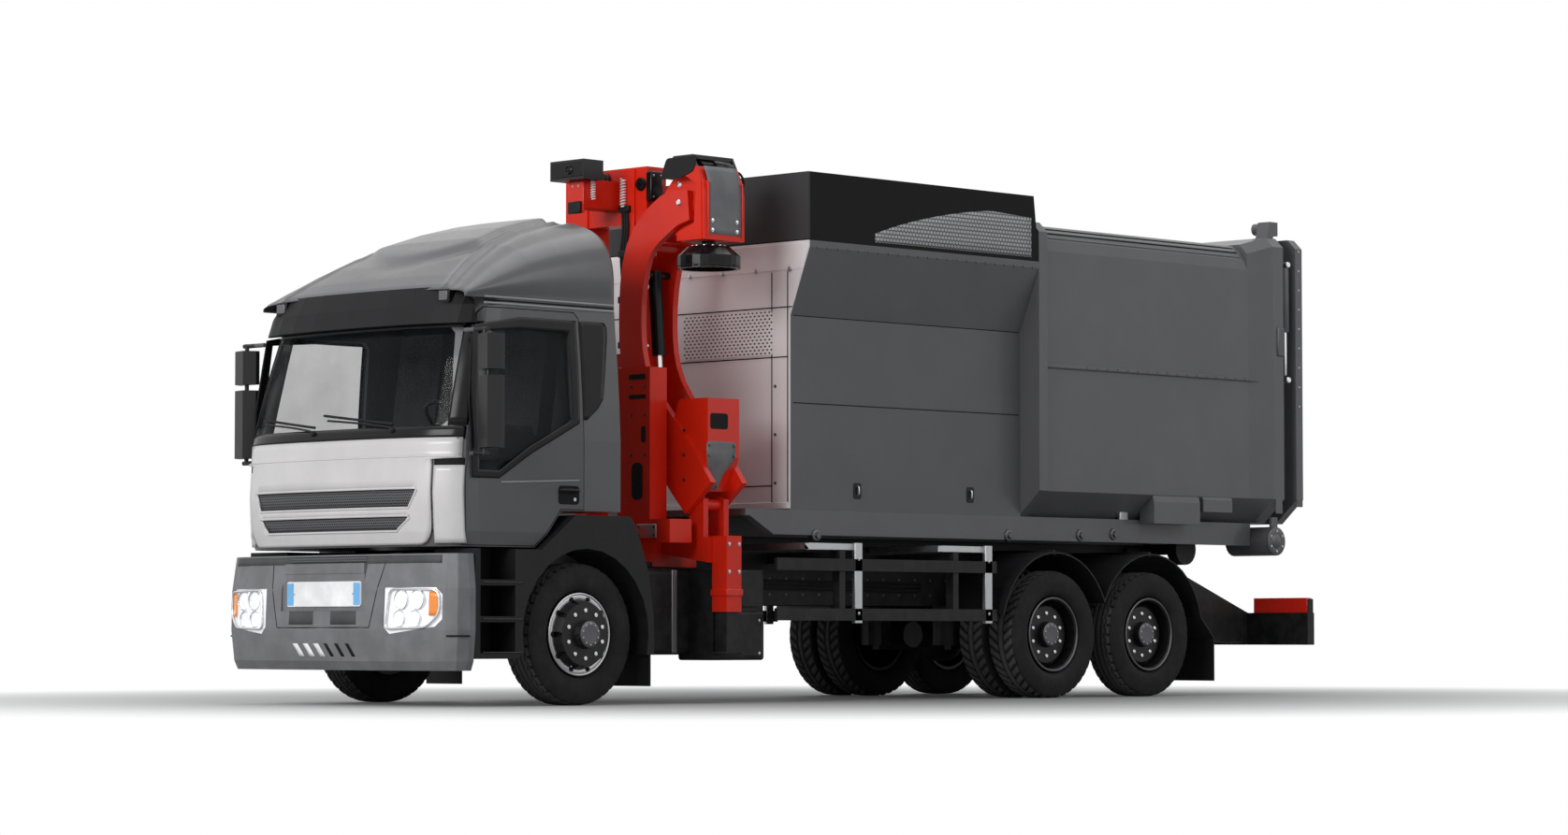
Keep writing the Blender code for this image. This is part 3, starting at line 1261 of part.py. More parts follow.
def build_bumper():
    made = bumper_volume("bumper", 0, 0.0, 1.0)
    shift = OVERRUN
    hollow = bumper_volume("hollow", BUMPER_WALL, *BUMPER_HOLLOW_SHARES)
    hollow.data.transform(Matrix.Translation((0, shift, 0)))
    made = cut(made, hollow)
    pad = block("pad", (-RAIL_OUT, station(-FRONT_OVERHANG) + BUMPER_WALL / 2, FRAME_BOTTOM),
                (RAIL_OUT, station(-FRAME_FRONT) - SEAT, FRAME_TOP))
    made = joined(made, pad)
    pocket_front = station(-FRONT_OVERHANG) - OVERRUN
    pocket = block("pocket", (-PLATE_POCKET_HALF, pocket_front, PLATE_POCKET_BOTTOM),
                   (PLATE_POCKET_HALF, station(-FRONT_OVERHANG) + PLATE_POCKET_DEPTH,
                    PLATE_POCKET_TOP))
    made = cut(made, pocket)
    for side in (1, -1):
        lamp_hole = prism("lamp", "Y", lamp_outline(side, 0), pocket_front,
                          station(-FRONT_OVERHANG) + LAMP_DEPTH + OVERRUN * 2)
        made = cut(made, lamp_hole)
    return finished("front_bumper", made, bumper_grey(), 30)


def build_headlamp(name, side):
    made = bumper_volume("lamp", CAB_WALL / 6, 0.0, 1.0)
    keep = prism("keep", "Y", lamp_outline(side, SEAT), station(-FRONT_OVERHANG) - OVERRUN,
                 station(-FRONT_OVERHANG) + LAMP_DEPTH)
    return finished(name, kept(made, keep), lens(), 30)


def wing_back_line(inset):
    """The wing's curved back edge in Y and Z, from its foot to its top."""
    rise = WING_TOP - WING_BACK_BOTTOM
    return [(station(WING_BACK * out) - inset, WING_BACK_BOTTOM + rise * up - inset)
            for out, up in WING_BACK_SHARES]


def build_wing(name, side):
    """Front wing: an arch over the wheel and, ahead of it, a box with three open steps."""
    middle = station(0)
    step_back = middle - ARCH_RADIUS
    arch_in = arc((middle, AXLE_Z), ARCH_RADIUS, 192, -14, 16)
    outline = list(arch_in)
    outline += wing_back_line(0)
    outline += [(station(-ARCH_START + ARCH_RUN * 1.4), WING_TOP),
                (station(-ARCH_START + ARCH_RUN * 0.08), STEP_TOP),
                (station(-STEP_FRONT), STEP_TOP), (station(-STEP_FRONT), STEP_BOTTOM),
                (step_back - CAB_WALL, STEP_BOTTOM)]
    made = prism("wing", "X", outline, WING_IN, WING_OUT)
    inner_wall = WING_IN + CAB_WALL
    hollow = prism("hollow", "X",
                   arc((middle, AXLE_Z), ARCH_RADIUS + ARCH_SHEET, 120, 52, 8)
                   + wing_back_line(CAB_WALL)[3:]
                   + [(station(-ARCH_START + ARCH_RUN * 1.5), WING_TOP - CAB_WALL)],
                   WING_IN - OVERRUN, WING_OUT - CAB_WALL / 2)
    made = cut(made, hollow)
    flap_y = station(WING_BACK) - CAB_WALL * 0.7
    flap = block("flap", (WING_IN + WING_FLAP_THICKNESS, flap_y, WING_FLAP_BOTTOM),
                 (WING_OUT - WING_FLAP_THICKNESS, flap_y + WING_FLAP_THICKNESS,
                  WING_BACK_BOTTOM + CAB_WALL))
    made = joined(made, flap)
    pitch = (STEP_TOP - STEP_BOTTOM) / STEP_COUNT
    for index in range(STEP_COUNT):
        low = STEP_BOTTOM + pitch * index + STEP_TREAD
        recess = block("recess", (inner_wall + (WING_OUT - inner_wall) * 0.3,
                                  station(-STEP_FRONT) + CAB_WALL, low),
                       (WING_OUT + OVERRUN, step_back - CAB_WALL * 1.4, low + pitch - STEP_TREAD))
        made = cut(made, recess)
    for place, z in ((station(-STEP_FRONT) + CAB_WALL * 2, FRAME_TOP - STEP_TREAD * 3),
                     (station(WING_BACK) - CAB_WALL * 2, FRAME_TOP - STEP_TREAD * 3)):
        stay = rod("stay", "X", (place, z), MUDGUARD_STAY / 2, RAIL_OUT + SEAT,
                   WING_IN + CAB_WALL * 2, 8)
        made = joined(made, stay)
    if side < 0:
        flipped = mirrored(name, made)
        bpy.data.objects.remove(made, do_unlink=True)
        made = flipped
    return finished(name, made, plastic_black(), 30)


def cab_portal():
    """The frame behind the engine that the cab's back rests on."""
    back = station(CAB_BACK)
    made = block("bar", (-RAIL_OUT, back - CAB_PORTAL_WIDTH, CAB_TUNNEL_BOTTOM - STEP_TREAD),
                 (RAIL_OUT, back, CAB_TUNNEL_BOTTOM - SEAT))
    for side in (1, -1):
        inner, outer = sorted((side * (ENGINE_WIDTH / 2 + RUNNING), side * RAIL_OUT))
        leg = block("leg", (inner, back - CAB_PORTAL_WIDTH * 0.95, SUBFRAME_BOTTOM),
                    (outer, back - CAB_PORTAL_WIDTH * 0.05, CAB_TUNNEL_BOTTOM - STEP_TREAD / 2))
        made = joined(made, leg)
    return made


# Side and rear equipment

def rounded_box(name, low, high, blunt):
    """A box along Y with its four long edges rounded."""
    outline = []
    for x, z, start in ((high[0] - blunt, high[2] - blunt, 0),
                        (low[0] + blunt, high[2] - blunt, 90),
                        (low[0] + blunt, low[2] + blunt, 180),
                        (high[0] - blunt, low[2] + blunt, 270)):
        outline += arc((x, z), blunt, start, start + 90, 3)
    return prism(name, "Y", outline, low[1], high[1])


def build_tank(name, side):
    """A tank along the frame with two lockers before it, on brackets to the frame."""
    start, end = station(TANK_START), station(TANK_START + TANK_LENGTH)
    locker = station(LOCKER_START)
    made = rounded_box("tank", (TANK_IN, start, TANK_BOTTOM), (TANK_MIDDLE, end, TANK_TOP),
                       CAB_WALL)
    lower = rounded_box("lower", (TANK_MIDDLE - CAB_WALL * 2, locker, LOCKER_BOTTOM),
                        (LOCKER_OUT, locker + LOCKER_LENGTH, LOCKER_TOP), CAB_WALL / 2)
    upper = rounded_box("upper", (TANK_MIDDLE - CAB_WALL * 2, locker + RAIL_PLATE,
                                  LOCKER_TOP - RAIL_PLATE),
                        (LOCKER_OUT - RAIL_PLATE, locker + LOCKER_LENGTH + RAIL_PLATE / 2,
                         TANK_TOP - RAIL_PLATE), RAIL_PLATE)
    made = joined(made, lower, upper)
    for share in (0.2, 0.8):
        y = start + TANK_LENGTH * share
        bracket = block("bracket", (RAIL_OUT + SEAT, y - CROSS_MEMBER / 2, FRAME_BOTTOM),
                        (TANK_IN + CAB_WALL, y + CROSS_MEMBER / 2, TANK_TOP - CAB_WALL))
        made = joined(made, bracket)
    if side < 0:
        flipped = mirrored(name, made)
        bpy.data.objects.remove(made, do_unlink=True)
        made = flipped
    return finished(name, made, chassis_black(), 30)


def build_side_guard(name, side):
    """Two rails on two posts that hang from brackets on the frame."""
    start, length = station(GUARD_START), GUARD_LENGTH
    made = None
    for z in (GUARD_LOW, GUARD_HIGH):
        bar = block("bar", (GUARD_X - GUARD_BAR_THICKNESS, start, z),
                    (GUARD_X, start + length, z + GUARD_BAR_HEIGHT))
        made = bar if made is None else (made, bar)
    low_bar, high_bar = made
    posts = []
    for share in GUARD_POST_SHARES:
        y = start + length * share
        post = block("post", (GUARD_X - GUARD_BAR_THICKNESS - GUARD_POST, y, GUARD_LOW),
                     (GUARD_X - GUARD_BAR_THICKNESS / 2, y + GUARD_POST,
                      GUARD_HIGH + GUARD_BAR_HEIGHT + GUARD_POST))
        arm = block("arm", (SUBFRAME_OUT + SEAT, y, GUARD_HIGH + GUARD_POST),
                    (GUARD_X - GUARD_BAR_THICKNESS, y + GUARD_POST,
                     GUARD_HIGH + GUARD_BAR_HEIGHT + GUARD_POST * 0.9))
        posts.append(joined(post, arm))
    made = joined(low_bar, posts[0], high_bar, posts[1])
    if side < 0:
        flipped = mirrored(name, made)
        bpy.data.objects.remove(made, do_unlink=True)
        made = flipped
    return finished(name, made, galvanised())


def mudguard_line(offset):
    """The line of the rear mudguards in Y and Z: two arcs and a flap at the back."""
    radius = MUDGUARD_RADIUS + offset
    drive, tag = (station(WHEELBASE), AXLE_Z), (station(TAG_STATION), AXLE_Z)
    meet = math.degrees(math.acos(min(1.0, TAG_SPACING / 2 / radius)))
    points = arc(drive, radius, 166, meet, 14) + arc(tag, radius, 180 - meet, 12, 14)[1:]
    last = points[-1]
    flap_y = last[0] + MUDGUARD_TAIL
    return points + [(flap_y, last[1] - MUDGUARD_TAIL), (flap_y, MUDGUARD_FLAP_BOTTOM)]


def build_mudguard(name, side):
    inner = mudguard_line(0)
    outer = mudguard_line(MUDGUARD_SHEET)
    outer[-1] = (inner[-1][0] + MUDGUARD_SHEET, inner[-1][1])
    outer[-2] = (inner[-2][0] + MUDGUARD_SHEET, inner[-2][1] + MUDGUARD_SHEET / 2)
    made = prism("sheet", "X", inner + list(reversed(outer)), MUDGUARD_IN, MUDGUARD_OUT)
    top = AXLE_Z + MUDGUARD_RADIUS + MUDGUARD_SHEET / 2
    for y in (station(WHEELBASE), station(TAG_STATION)):
        stay = rod("stay", "X", (y, top), MUDGUARD_STAY, SUBFRAME_OUT + SEAT,
                   MUDGUARD_OUT - MUDGUARD_STAY, 8)
        made = joined(made, stay)
    if side < 0:
        flipped = mirrored(name, made)
        bpy.data.objects.remove(made, do_unlink=True)
        made = flipped
    return finished(name, made, plastic_black(), 30)


def build_underrun():
    back = station(UNDERRUN_BACK)
    top = UNDERRUN_BOTTOM + UNDERRUN_HEIGHT
    made = block("beam", (-UNDERRUN_HALF, back - UNDERRUN_DEPTH, UNDERRUN_BOTTOM),
                 (UNDERRUN_HALF, back, top))
    frame_back = station(TAG_STATION + FRAME_TAIL)
    for side in (1, -1):
        inner, outer = sorted((side * (RAIL_OUT + SEAT), side * UNDERRUN_ARM_X))
        outline = [(frame_back - CROSS_MEMBER * 3, FRAME_TOP - RAIL_PLATE),
                   (frame_back, FRAME_TOP - RAIL_PLATE),
                   (back - UNDERRUN_DEPTH / 2, top - RAIL_PLATE),
                   (back - UNDERRUN_DEPTH / 2, UNDERRUN_BOTTOM + RAIL_PLATE),
                   (frame_back, UNDERRUN_BOTTOM + RAIL_PLATE * 3),
                   (frame_back - CROSS_MEMBER * 3, FRAME_BOTTOM)]
        made = joined(made, prism("arm", "X", outline, inner, outer))
        inner, outer = sorted((side * (UNDERRUN_HALF - TAIL_LAMP_WIDTH),
                               side * (UNDERRUN_HALF - SEAT)))
        lamp = block("lamp", (inner, back - UNDERRUN_DEPTH + RAIL_PLATE, top - RAIL_PLATE),
                     (outer, back - RAIL_PLATE, top + TAIL_LAMP_HEIGHT))
        made = joined(made, lamp)
    return finished("rear_underrun", made, chassis_black())


# Body

def section(points, y):
    return [(x, y, z) for x, z in points]


def hopper_outline(inset, bottom, top):
    """Half widths of the hopper by height: upright, then flared to the full width."""
    bend = BOX_BOTTOM + HOPPER_BEND_HEIGHT
    flare = BOX_BOTTOM + HOPPER_TOP_HEIGHT
    half = HOPPER_HALF_WIDTH - inset
    wide = BODY_HALF_WIDTH - inset
    right = [(half, bottom), (half, bend), (wide, flare), (wide, top)]
    return right + [(-x, z) for x, z in reversed(right)]


def build_body_base():
    """The body's floor with its two long rails, side sills and hinge notches."""
    front = station(BASE_FRONT)
    back = station(CONTAINER_BACK - REAR_ROLLER_BACK) - REAR_ROLLER_RADIUS - RUNNING
    floor = block("floor", (-BASE_HALF_WIDTH, front, BASE_TOP - PANEL_WALL),
                  (BASE_HALF_WIDTH, back, BASE_TOP))
    parts = []
    for side in (1, -1):
        rail = block("rail", (side * RAIL_CENTRE - RAIL_WIDTH / 2, front + CROSS_MEMBER,
                              BASE_BOTTOM),
                     (side * RAIL_CENTRE + RAIL_WIDTH / 2,
                      station(TIP_STATION + BASE_RAIL_TAIL), BASE_TOP - PANEL_WALL / 2))
        inner, outer = sorted((side * (BASE_HALF_WIDTH - SILL_WIDTH),
                               side * (BASE_HALF_WIDTH - SEAT * 2)))
        sill = prism("sill", "X",
                     [(front + SEAT * 2, BASE_TOP - PANEL_WALL / 2),
                      (front + BASE_DEPTH * 1.6, BASE_BOTTOM), (back - SEAT * 2, BASE_BOTTOM),
                      (back - SEAT * 2, BASE_TOP - PANEL_WALL / 2)], inner, outer)
        parts += [rail, sill]
    made = joined(floor, *parts)
    notch = rod("notch", "X", (station(TIP_STATION), TIP_Z), TIP_SHAFT_RADIUS + RUNNING,
                -BASE_HALF_WIDTH * 0.6, BASE_HALF_WIDTH * 0.6, 24)
    made = cut(made, notch)
    return finished("body_base", made, body_grey(), 30)


def build_hopper():
    """Open-topped hopper: front wall, two flared sides, floor, open to the container."""
    front, back = station(BODY_FRONT), station(HOPPER_BACK)
    bottom, top = BOX_BOTTOM, HOPPER_TOP
    outer = loft("outer", [section(hopper_outline(0, bottom, top), y) for y in (front, back)])
    inner = loft("inner", [section(hopper_outline(PANEL_WALL, bottom + PANEL_WALL, top + OVERRUN),
                                   y) for y in (front + PANEL_WALL, back + OVERRUN)])
    made = cut(outer, inner)
    return finished("hopper", made, body_grey(), 30)


def build_screen():
    """The open frame of sheet that raises the hopper's mouth."""
    bottom = HOPPER_TOP + SEAT
    top = bottom + SCREEN_HEIGHT
    front, back = station(BODY_FRONT), station(HOPPER_BACK)

    def ring(inset, z):
        lean = SCREEN_LEAN * (z - bottom) / SCREEN_HEIGHT
        half = BODY_HALF_WIDTH - inset
        return [(-half, front + inset, z), (half, front + inset, z),
                (half, back - inset - lean, z), (-half, back - inset - lean, z)]

    made = loft("screen", [ring(0, bottom), ring(0, top)])
    made = cut(made, loft("mouth", [ring(SCREEN_WALL, bottom - OVERRUN),
                                    ring(SCREEN_WALL, top + OVERRUN)]))
    return finished("hopper_screen", made, plastic_black())


def container_outline(inset, half_width):
    """The container's section: chamfered foot, tall sides, rounded top corners."""
    half = half_width - inset
    low, high = BOX_BOTTOM + inset, CONTAINER_TOP - inset
    foot = half - CONTAINER_SHOULDER_IN
    right = [(foot, low), (half, low + CONTAINER_SHOULDER)]
    right += arc((half - CONTAINER_CORNER, high - CONTAINER_CORNER), CONTAINER_CORNER, 0, 90,
                 CONTAINER_CORNER_STEPS)
    return right + [(-x, z) for x, z in reversed(right)]


def end_outline(half, top):
    """The section of an end frame: chamfered foot and small top corners."""
    right = [(half - CONTAINER_SHOULDER_IN, BOX_BOTTOM + SEAT),
             (half, BOX_BOTTOM + CONTAINER_SHOULDER), (half, top - REAR_FRAME_BLUNT),
             (half - REAR_FRAME_BLUNT, top)]
    return right + [(-x, z) for x, z in reversed(right)]


def side_boxes(side):
    """The two boxes on the container's chamfered foot and the rail half way up."""
    front, back = station(CONTAINER_FRONT), station(CONTAINER_BACK) - REAR_FRAME_LENGTH
    half = CONTAINER_HALF_WIDTH
    knee = BOX_BOTTOM + CONTAINER_SHOULDER
    wedge = SEAT * 30
    parts = []
    for low, high, down, up in SIDE_BOX_PLACES:
        outline = [(SIDE_BOX_IN, knee - CONTAINER_SHOULDER * down), (half + wedge,
                   knee - CONTAINER_SHOULDER * down),
                   (half + wedge, knee - CONTAINER_SHOULDER * up), (half - wedge, knee + wedge),
                   (SIDE_BOX_IN, knee)]
        outline = [(side * x, z) for x, z in outline]
        parts.append(prism("box", "Y", outline, station(low), station(high)))
    z = BOX_BOTTOM + MID_RAIL_HEIGHT
    rail = prism("rail", "Y", [(side * x, y) for x, y in
                               ((half - wedge, z), (half + MID_RAIL, z + MID_RAIL / 2),
                                (half + MID_RAIL, z + MID_RAIL), (half - wedge, z + MID_RAIL * 2))],
                 front + CONTAINER_FRONT_FRAME / 2, back - REAR_FLARE / 2)
    return parts + [rail]


def rear_roller(side):
    """The roller under the rear frame, in its two cheeks."""
    y = station(CONTAINER_BACK - REAR_ROLLER_BACK)
    z = BOX_BOTTOM - REAR_ROLLER_DROP
    inner, outer = sorted((side * REAR_ROLLER_IN, side * REAR_ROLLER_OUT))
    made = rod("roller", "X", (y, z), REAR_ROLLER_RADIUS, inner, outer, 20)
    for x in (inner + RAIL_PLATE, outer - RAIL_PLATE * 3):
        cheek = block("cheek", (x, y - REAR_ROLLER_RADIUS / 3, z),
                      (x + RAIL_PLATE * 2, y + REAR_ROLLER_RADIUS / 3, BOX_BOTTOM + PANEL_WALL))
        made = joined(made, cheek)
    return made


def build_container():
    """Closed container with a throat to the hopper and a wide frame at each end."""
    front, back = station(CONTAINER_FRONT), station(CONTAINER_BACK)
    made = loft("outer", [section(container_outline(0, CONTAINER_HALF_WIDTH), y)
                          for y in (front, back)])
    top = BOX_BOTTOM + REAR_FRAME_TOP
    frame = back - REAR_FRAME_LENGTH
    made = joined(made, prism("face", "Y", end_outline(BODY_HALF_WIDTH, CONTAINER_TOP - SEAT * 4),
                              front, front + CONTAINER_FRONT_FRAME))
    start = end_outline(CONTAINER_HALF_WIDTH - SEAT * 9, CONTAINER_TOP - SEAT * 9)
    made = joined(made, loft("flare", [section(start, frame - REAR_FLARE),
                                       section(end_outline(BODY_HALF_WIDTH, top), frame),
                                       section(end_outline(BODY_HALF_WIDTH, top), back)]))
    for side in (1, -1):
        made = joined(made, *side_boxes(side))
        made = joined(made, rear_roller(side))
    inner = loft("inner", [section(container_outline(PANEL_WALL, CONTAINER_HALF_WIDTH), y)
                           for y in (front + CONTAINER_FRONT_FRAME / 2, back + OVERRUN)])
    throat = block("throat", (-THROAT_HALF_WIDTH, front - OVERRUN, BOX_BOTTOM + PANEL_WALL),
                   (THROAT_HALF_WIDTH, front + CONTAINER_FRONT_FRAME + OVERRUN,
                    BOX_BOTTOM + PANEL_WALL + THROAT_HEIGHT))
    made = cut(made, inner, throat)
    hinge_y = station(TAILGATE_FRONT)
    radius = TAILGATE_HINGE_RADIUS
    for side in (1, -1):
        near, far = sorted((side * (TAILGATE_HINGE_HALF + SEAT),
                            side * (TAILGATE_HINGE_HALF + TAILGATE_LUG)))
        lug = prism("lug", "X",
                    [(frame + radius / 2, top - radius), (back - radius / 2, top - radius),
                     (back - radius / 4, top + radius / 2),
                     (hinge_y + radius * 0.8, top + radius / 2),
                     (hinge_y + radius * 0.8, TAILGATE_HINGE_Z + radius),
                     (frame + radius * 1.5, TAILGATE_HINGE_Z + radius)], near, far)
        made = joined(made, lug)
    return finished("container", made, body_grey(), 30)


def build_tailgate():
    """The rear door, hung from lugs over the container's top edge, with side flanges."""
    front = station(TAILGATE_FRONT)
    back = front + TAILGATE_THICKNESS
    top = BOX_BOTTOM + REAR_FRAME_TOP
    made = prism("gate", "Y", end_outline(TAILGATE_CORE_HALF, top - SEAT * 4), front,
                 back - SEAT * 9)
    made = joined(made, prism("flange", "Y", end_outline(BODY_HALF_WIDTH, top),
                              back - TAILGATE_FLANGE, back))
    radius = TAILGATE_HINGE_RADIUS
    for side in (1, -1):
        near, far = sorted((side * TAILGATE_HINGE_HALF,
                            side * (TAILGATE_HINGE_HALF - TAILGATE_KNUCKLE)))
        knuckle = rod("knuckle", "X", (front, TAILGATE_HINGE_Z), radius, near, far, 16)
        tab = prism("tab", "X",
                    [(front + radius / 4, top - radius), (front + radius * 3, top - radius),
                     (front + radius * 3, top + radius / 2),
                     (front + radius / 4, TAILGATE_HINGE_Z + radius / 2)],
                    near + TAILGATE_KNUCKLE / 4, far - TAILGATE_KNUCKLE / 4)
        made = joined(made, joined(knuckle, tab))
    return finished("tailgate", made, body_grey(), 30)


def build_body():
    base = build_body_base()
    box = [build_hopper(), build_screen(), build_container()]
    pivot("body_pivot", (0, station(TIP_STATION), TIP_Z), base, *box)
    pivot("tailgate_pivot", (0, station(TAILGATE_FRONT), TAILGATE_HINGE_Z), build_tailgate())


# Crane

def build_crane_base():
    """The cross frame on the rails, its two outriggers and their outer legs."""
    front, back = station(CRANE_FRONT), station(CRANE_BACK)
    made = block("plinth", (-CRANE_BASE_HALF, front, FRAME_TOP + SEAT),
                 (CRANE_BASE_HALF, back, CRANE_BASE_TOP))
    leg_y = station(LEG_STATION)
    half = LEG_OUTER / 2
    for side in (1, -1):
        outline = [(CRANE_BASE_HALF - LEG_WALL, CRANE_BASE_TOP - OUTRIGGER_DEPTH - LEG_WALL * 2),
                   (CRANE_BASE_HALF - LEG_WALL, CRANE_BASE_TOP - LEG_WALL),
                   (LEG_X - half + LEG_WALL / 2, LEG_TOP - LEG_WALL),
                   (LEG_X - half + LEG_WALL / 2, LEG_TOP - OUTRIGGER_DEPTH - LEG_WALL * 2)]
        outline = [(side * x, z) for x, z in outline]
        arm = prism("outrigger", "Y", outline, leg_y - OUTRIGGER_WIDTH / 2,
                    leg_y + OUTRIGGER_WIDTH / 2)
        leg = block("leg", (side * LEG_X - half, leg_y - half, LEG_BOTTOM),
                    (side * LEG_X + half, leg_y + half, LEG_TOP))
        made = joined(made, joined(leg, arm))
        bore = block("bore", (side * LEG_X - half + LEG_WALL, leg_y - half + LEG_WALL,
                              LEG_BOTTOM - OVERRUN),
                     (side * LEG_X + half - LEG_WALL, leg_y + half - LEG_WALL,
                      LEG_TOP - LEG_WALL))
        made = cut(made, bore)
    for y in (ARM_NEAR + ARM_PLATE + RUNNING, ARM_FAR - RUNNING - ARM_PLATE):
        lug = prism("lug", "Y",
                    [(BOOM_PIVOT_X - PIN_RADIUS * 3, CRANE_BASE_TOP - OUTRIGGER_DEPTH),
                     (BOOM_PIVOT_X + PIN_RADIUS * 1.6, LEG_TOP - OUTRIGGER_DEPTH),
                     (BOOM_PIVOT_X + PIN_RADIUS * 1.6, BOOM_PIVOT_Z + PIN_RADIUS),
                     (BOOM_PIVOT_X, BOOM_PIVOT_Z + PIN_RADIUS * 1.6),
                     (BOOM_PIVOT_X - PIN_RADIUS * 1.6, BOOM_PIVOT_Z + PIN_RADIUS)],
                    station(y), station(y + ARM_PLATE))
        made = joined(made, lug)
    pin = rod("pin", "Y", (BOOM_PIVOT_X, BOOM_PIVOT_Z), PIN_RADIUS,
              station(ARM_NEAR + ARM_PLATE) + SEAT, station(ARM_FAR) - SEAT, 16)
    made = joined(made, pin, cross_beam(), mast(), guide_box(), camera_arm())
    return finished("crane_base", made, crane_red(), 30)


def mast():
    """Two columns on the base, tied by a deep head plate and two rungs."""
    low = CRANE_BASE_TOP - RAIL_PLATE
    front, back = station(MAST_FRONT), station(MAST_BACK)
    columns = [block("column", (side * MAST_HALF - (MAST_COLUMN if side > 0 else 0), front, low),
                     (side * MAST_HALF + (0 if side > 0 else MAST_COLUMN), back,
                      MAST_TOP - RAIL_PLATE)) for side in (1, -1)]
    head = block("head", (-MAST_HEAD_HALF, front + RAIL_PLATE, MAST_TOP - MAST_HEAD_HEIGHT),
                 (MAST_HEAD_HALF, back - RAIL_PLATE, MAST_TOP))
    made = joined(columns[0], head, columns[1])
    for share in (0.1, 0.45):
        z = low + (MAST_TOP - low) * share
        rung = block("rung", (-MAST_HALF + RAIL_PLATE, front + RAIL_PLATE * 2, z),
                     (MAST_HALF - RAIL_PLATE, back - RAIL_PLATE * 2, z + CROSS_MEMBER))
        made = joined(made, rung)
    return made


def camera_arm():
    """The plate that carries the lookout box ahead of the mast's head."""
    top = HOOD_TOP - CAMERA_HEIGHT
    arm_half = CAMERA_ARM_WIDTH / 2
    box_half = CAMERA_WIDTH / 2
    y = station(CAMERA_FRONT)
    box = block("lookout", (CAMERA_X - box_half, y, top),
                (CAMERA_X + box_half, y + CAMERA_DEPTH, HOOD_TOP))
    arm = block("arm", (CAMERA_X - arm_half, y + CAMERA_DEPTH / 2, top - CAMERA_ARM_DEPTH),
                (CAMERA_X + arm_half, station(MAST_STATION), top + RAIL_PLATE))
    return joined(box, arm)


def cross_beam():
    """The beam under the guide box, across the frame."""
    return block("beam", (-CROSS_BEAM_HALF, station(CROSS_BEAM_FRONT), CROSS_BEAM_BOTTOM),
                 (CROSS_BEAM_HALF, station(CROSS_BEAM_BACK), CROSS_BEAM_TOP))


def guide_box():
    """The upright box beside the mast that shields the arm."""
    return block("guide", (GUIDE_X, station(GUIDE_FRONT), CRANE_BASE_TOP - RAIL_PLATE),
                 (GUIDE_X + GUIDE_WIDTH, station(GUIDE_FRONT + GUIDE_DEPTH), GUIDE_TOP))


def arm_outline():
    reach = BOOM_PIVOT_X - ARM_INNER_X
    places = [(BOOM_PIVOT_X - reach * inward, BOOM_PIVOT_Z + ARM_HEIGHT * up)
              for inward, up, width in ARM_LINE_SHARES]
    line = smooth_line(places, ARM_STEPS)
    widths = smooth_line([(row[2] * ARM_HEIGHT, 0) for row in ARM_LINE_SHARES], ARM_STEPS)
    return ribbon([point[:2] for point in line], [width[0] for width in widths])


def build_boom():
    """Twin swan-necked arms, tied by the foot box and by two cross tubes."""
    near = prism("near", "Y", arm_outline(), station(ARM_NEAR), station(ARM_NEAR + ARM_PLATE))
    far = prism("far", "Y", arm_outline(), station(ARM_FAR), station(ARM_FAR + ARM_PLATE))
    foot_low = BOOM_PIVOT_Z + PIN_RADIUS * 2.4
    foot = prism("foot", "Y",
                 [(BOOM_PIVOT_X - PIN_RADIUS, foot_low), (BOOM_PIVOT_X + PIN_RADIUS, foot_low),
                  (FOOT_OUT, foot_low + (FOOT_TOP - foot_low) * 0.36), (FOOT_OUT, FOOT_TOP),
                  (FOOT_OUT - FOOT_DEPTH, FOOT_TOP),
                  (FOOT_OUT - FOOT_DEPTH * 1.5, foot_low + (FOOT_TOP - foot_low) * 0.36)],
                 station(ARM_NEAR + ARM_PLATE / 2), station(ARM_FAR + ARM_PLATE / 2))
    tie = rod("tie", "Y", (ARM_TIE_X, CYLINDER_TOP_Z + ARM_PLATE * 4), PIN_RADIUS,
              station(ARM_NEAR + ARM_PLATE / 2), station(ARM_FAR + ARM_PLATE / 2), 12)
    made = joined(near, foot, far, tie)
    return finished("boom", made, crane_red(), 30)


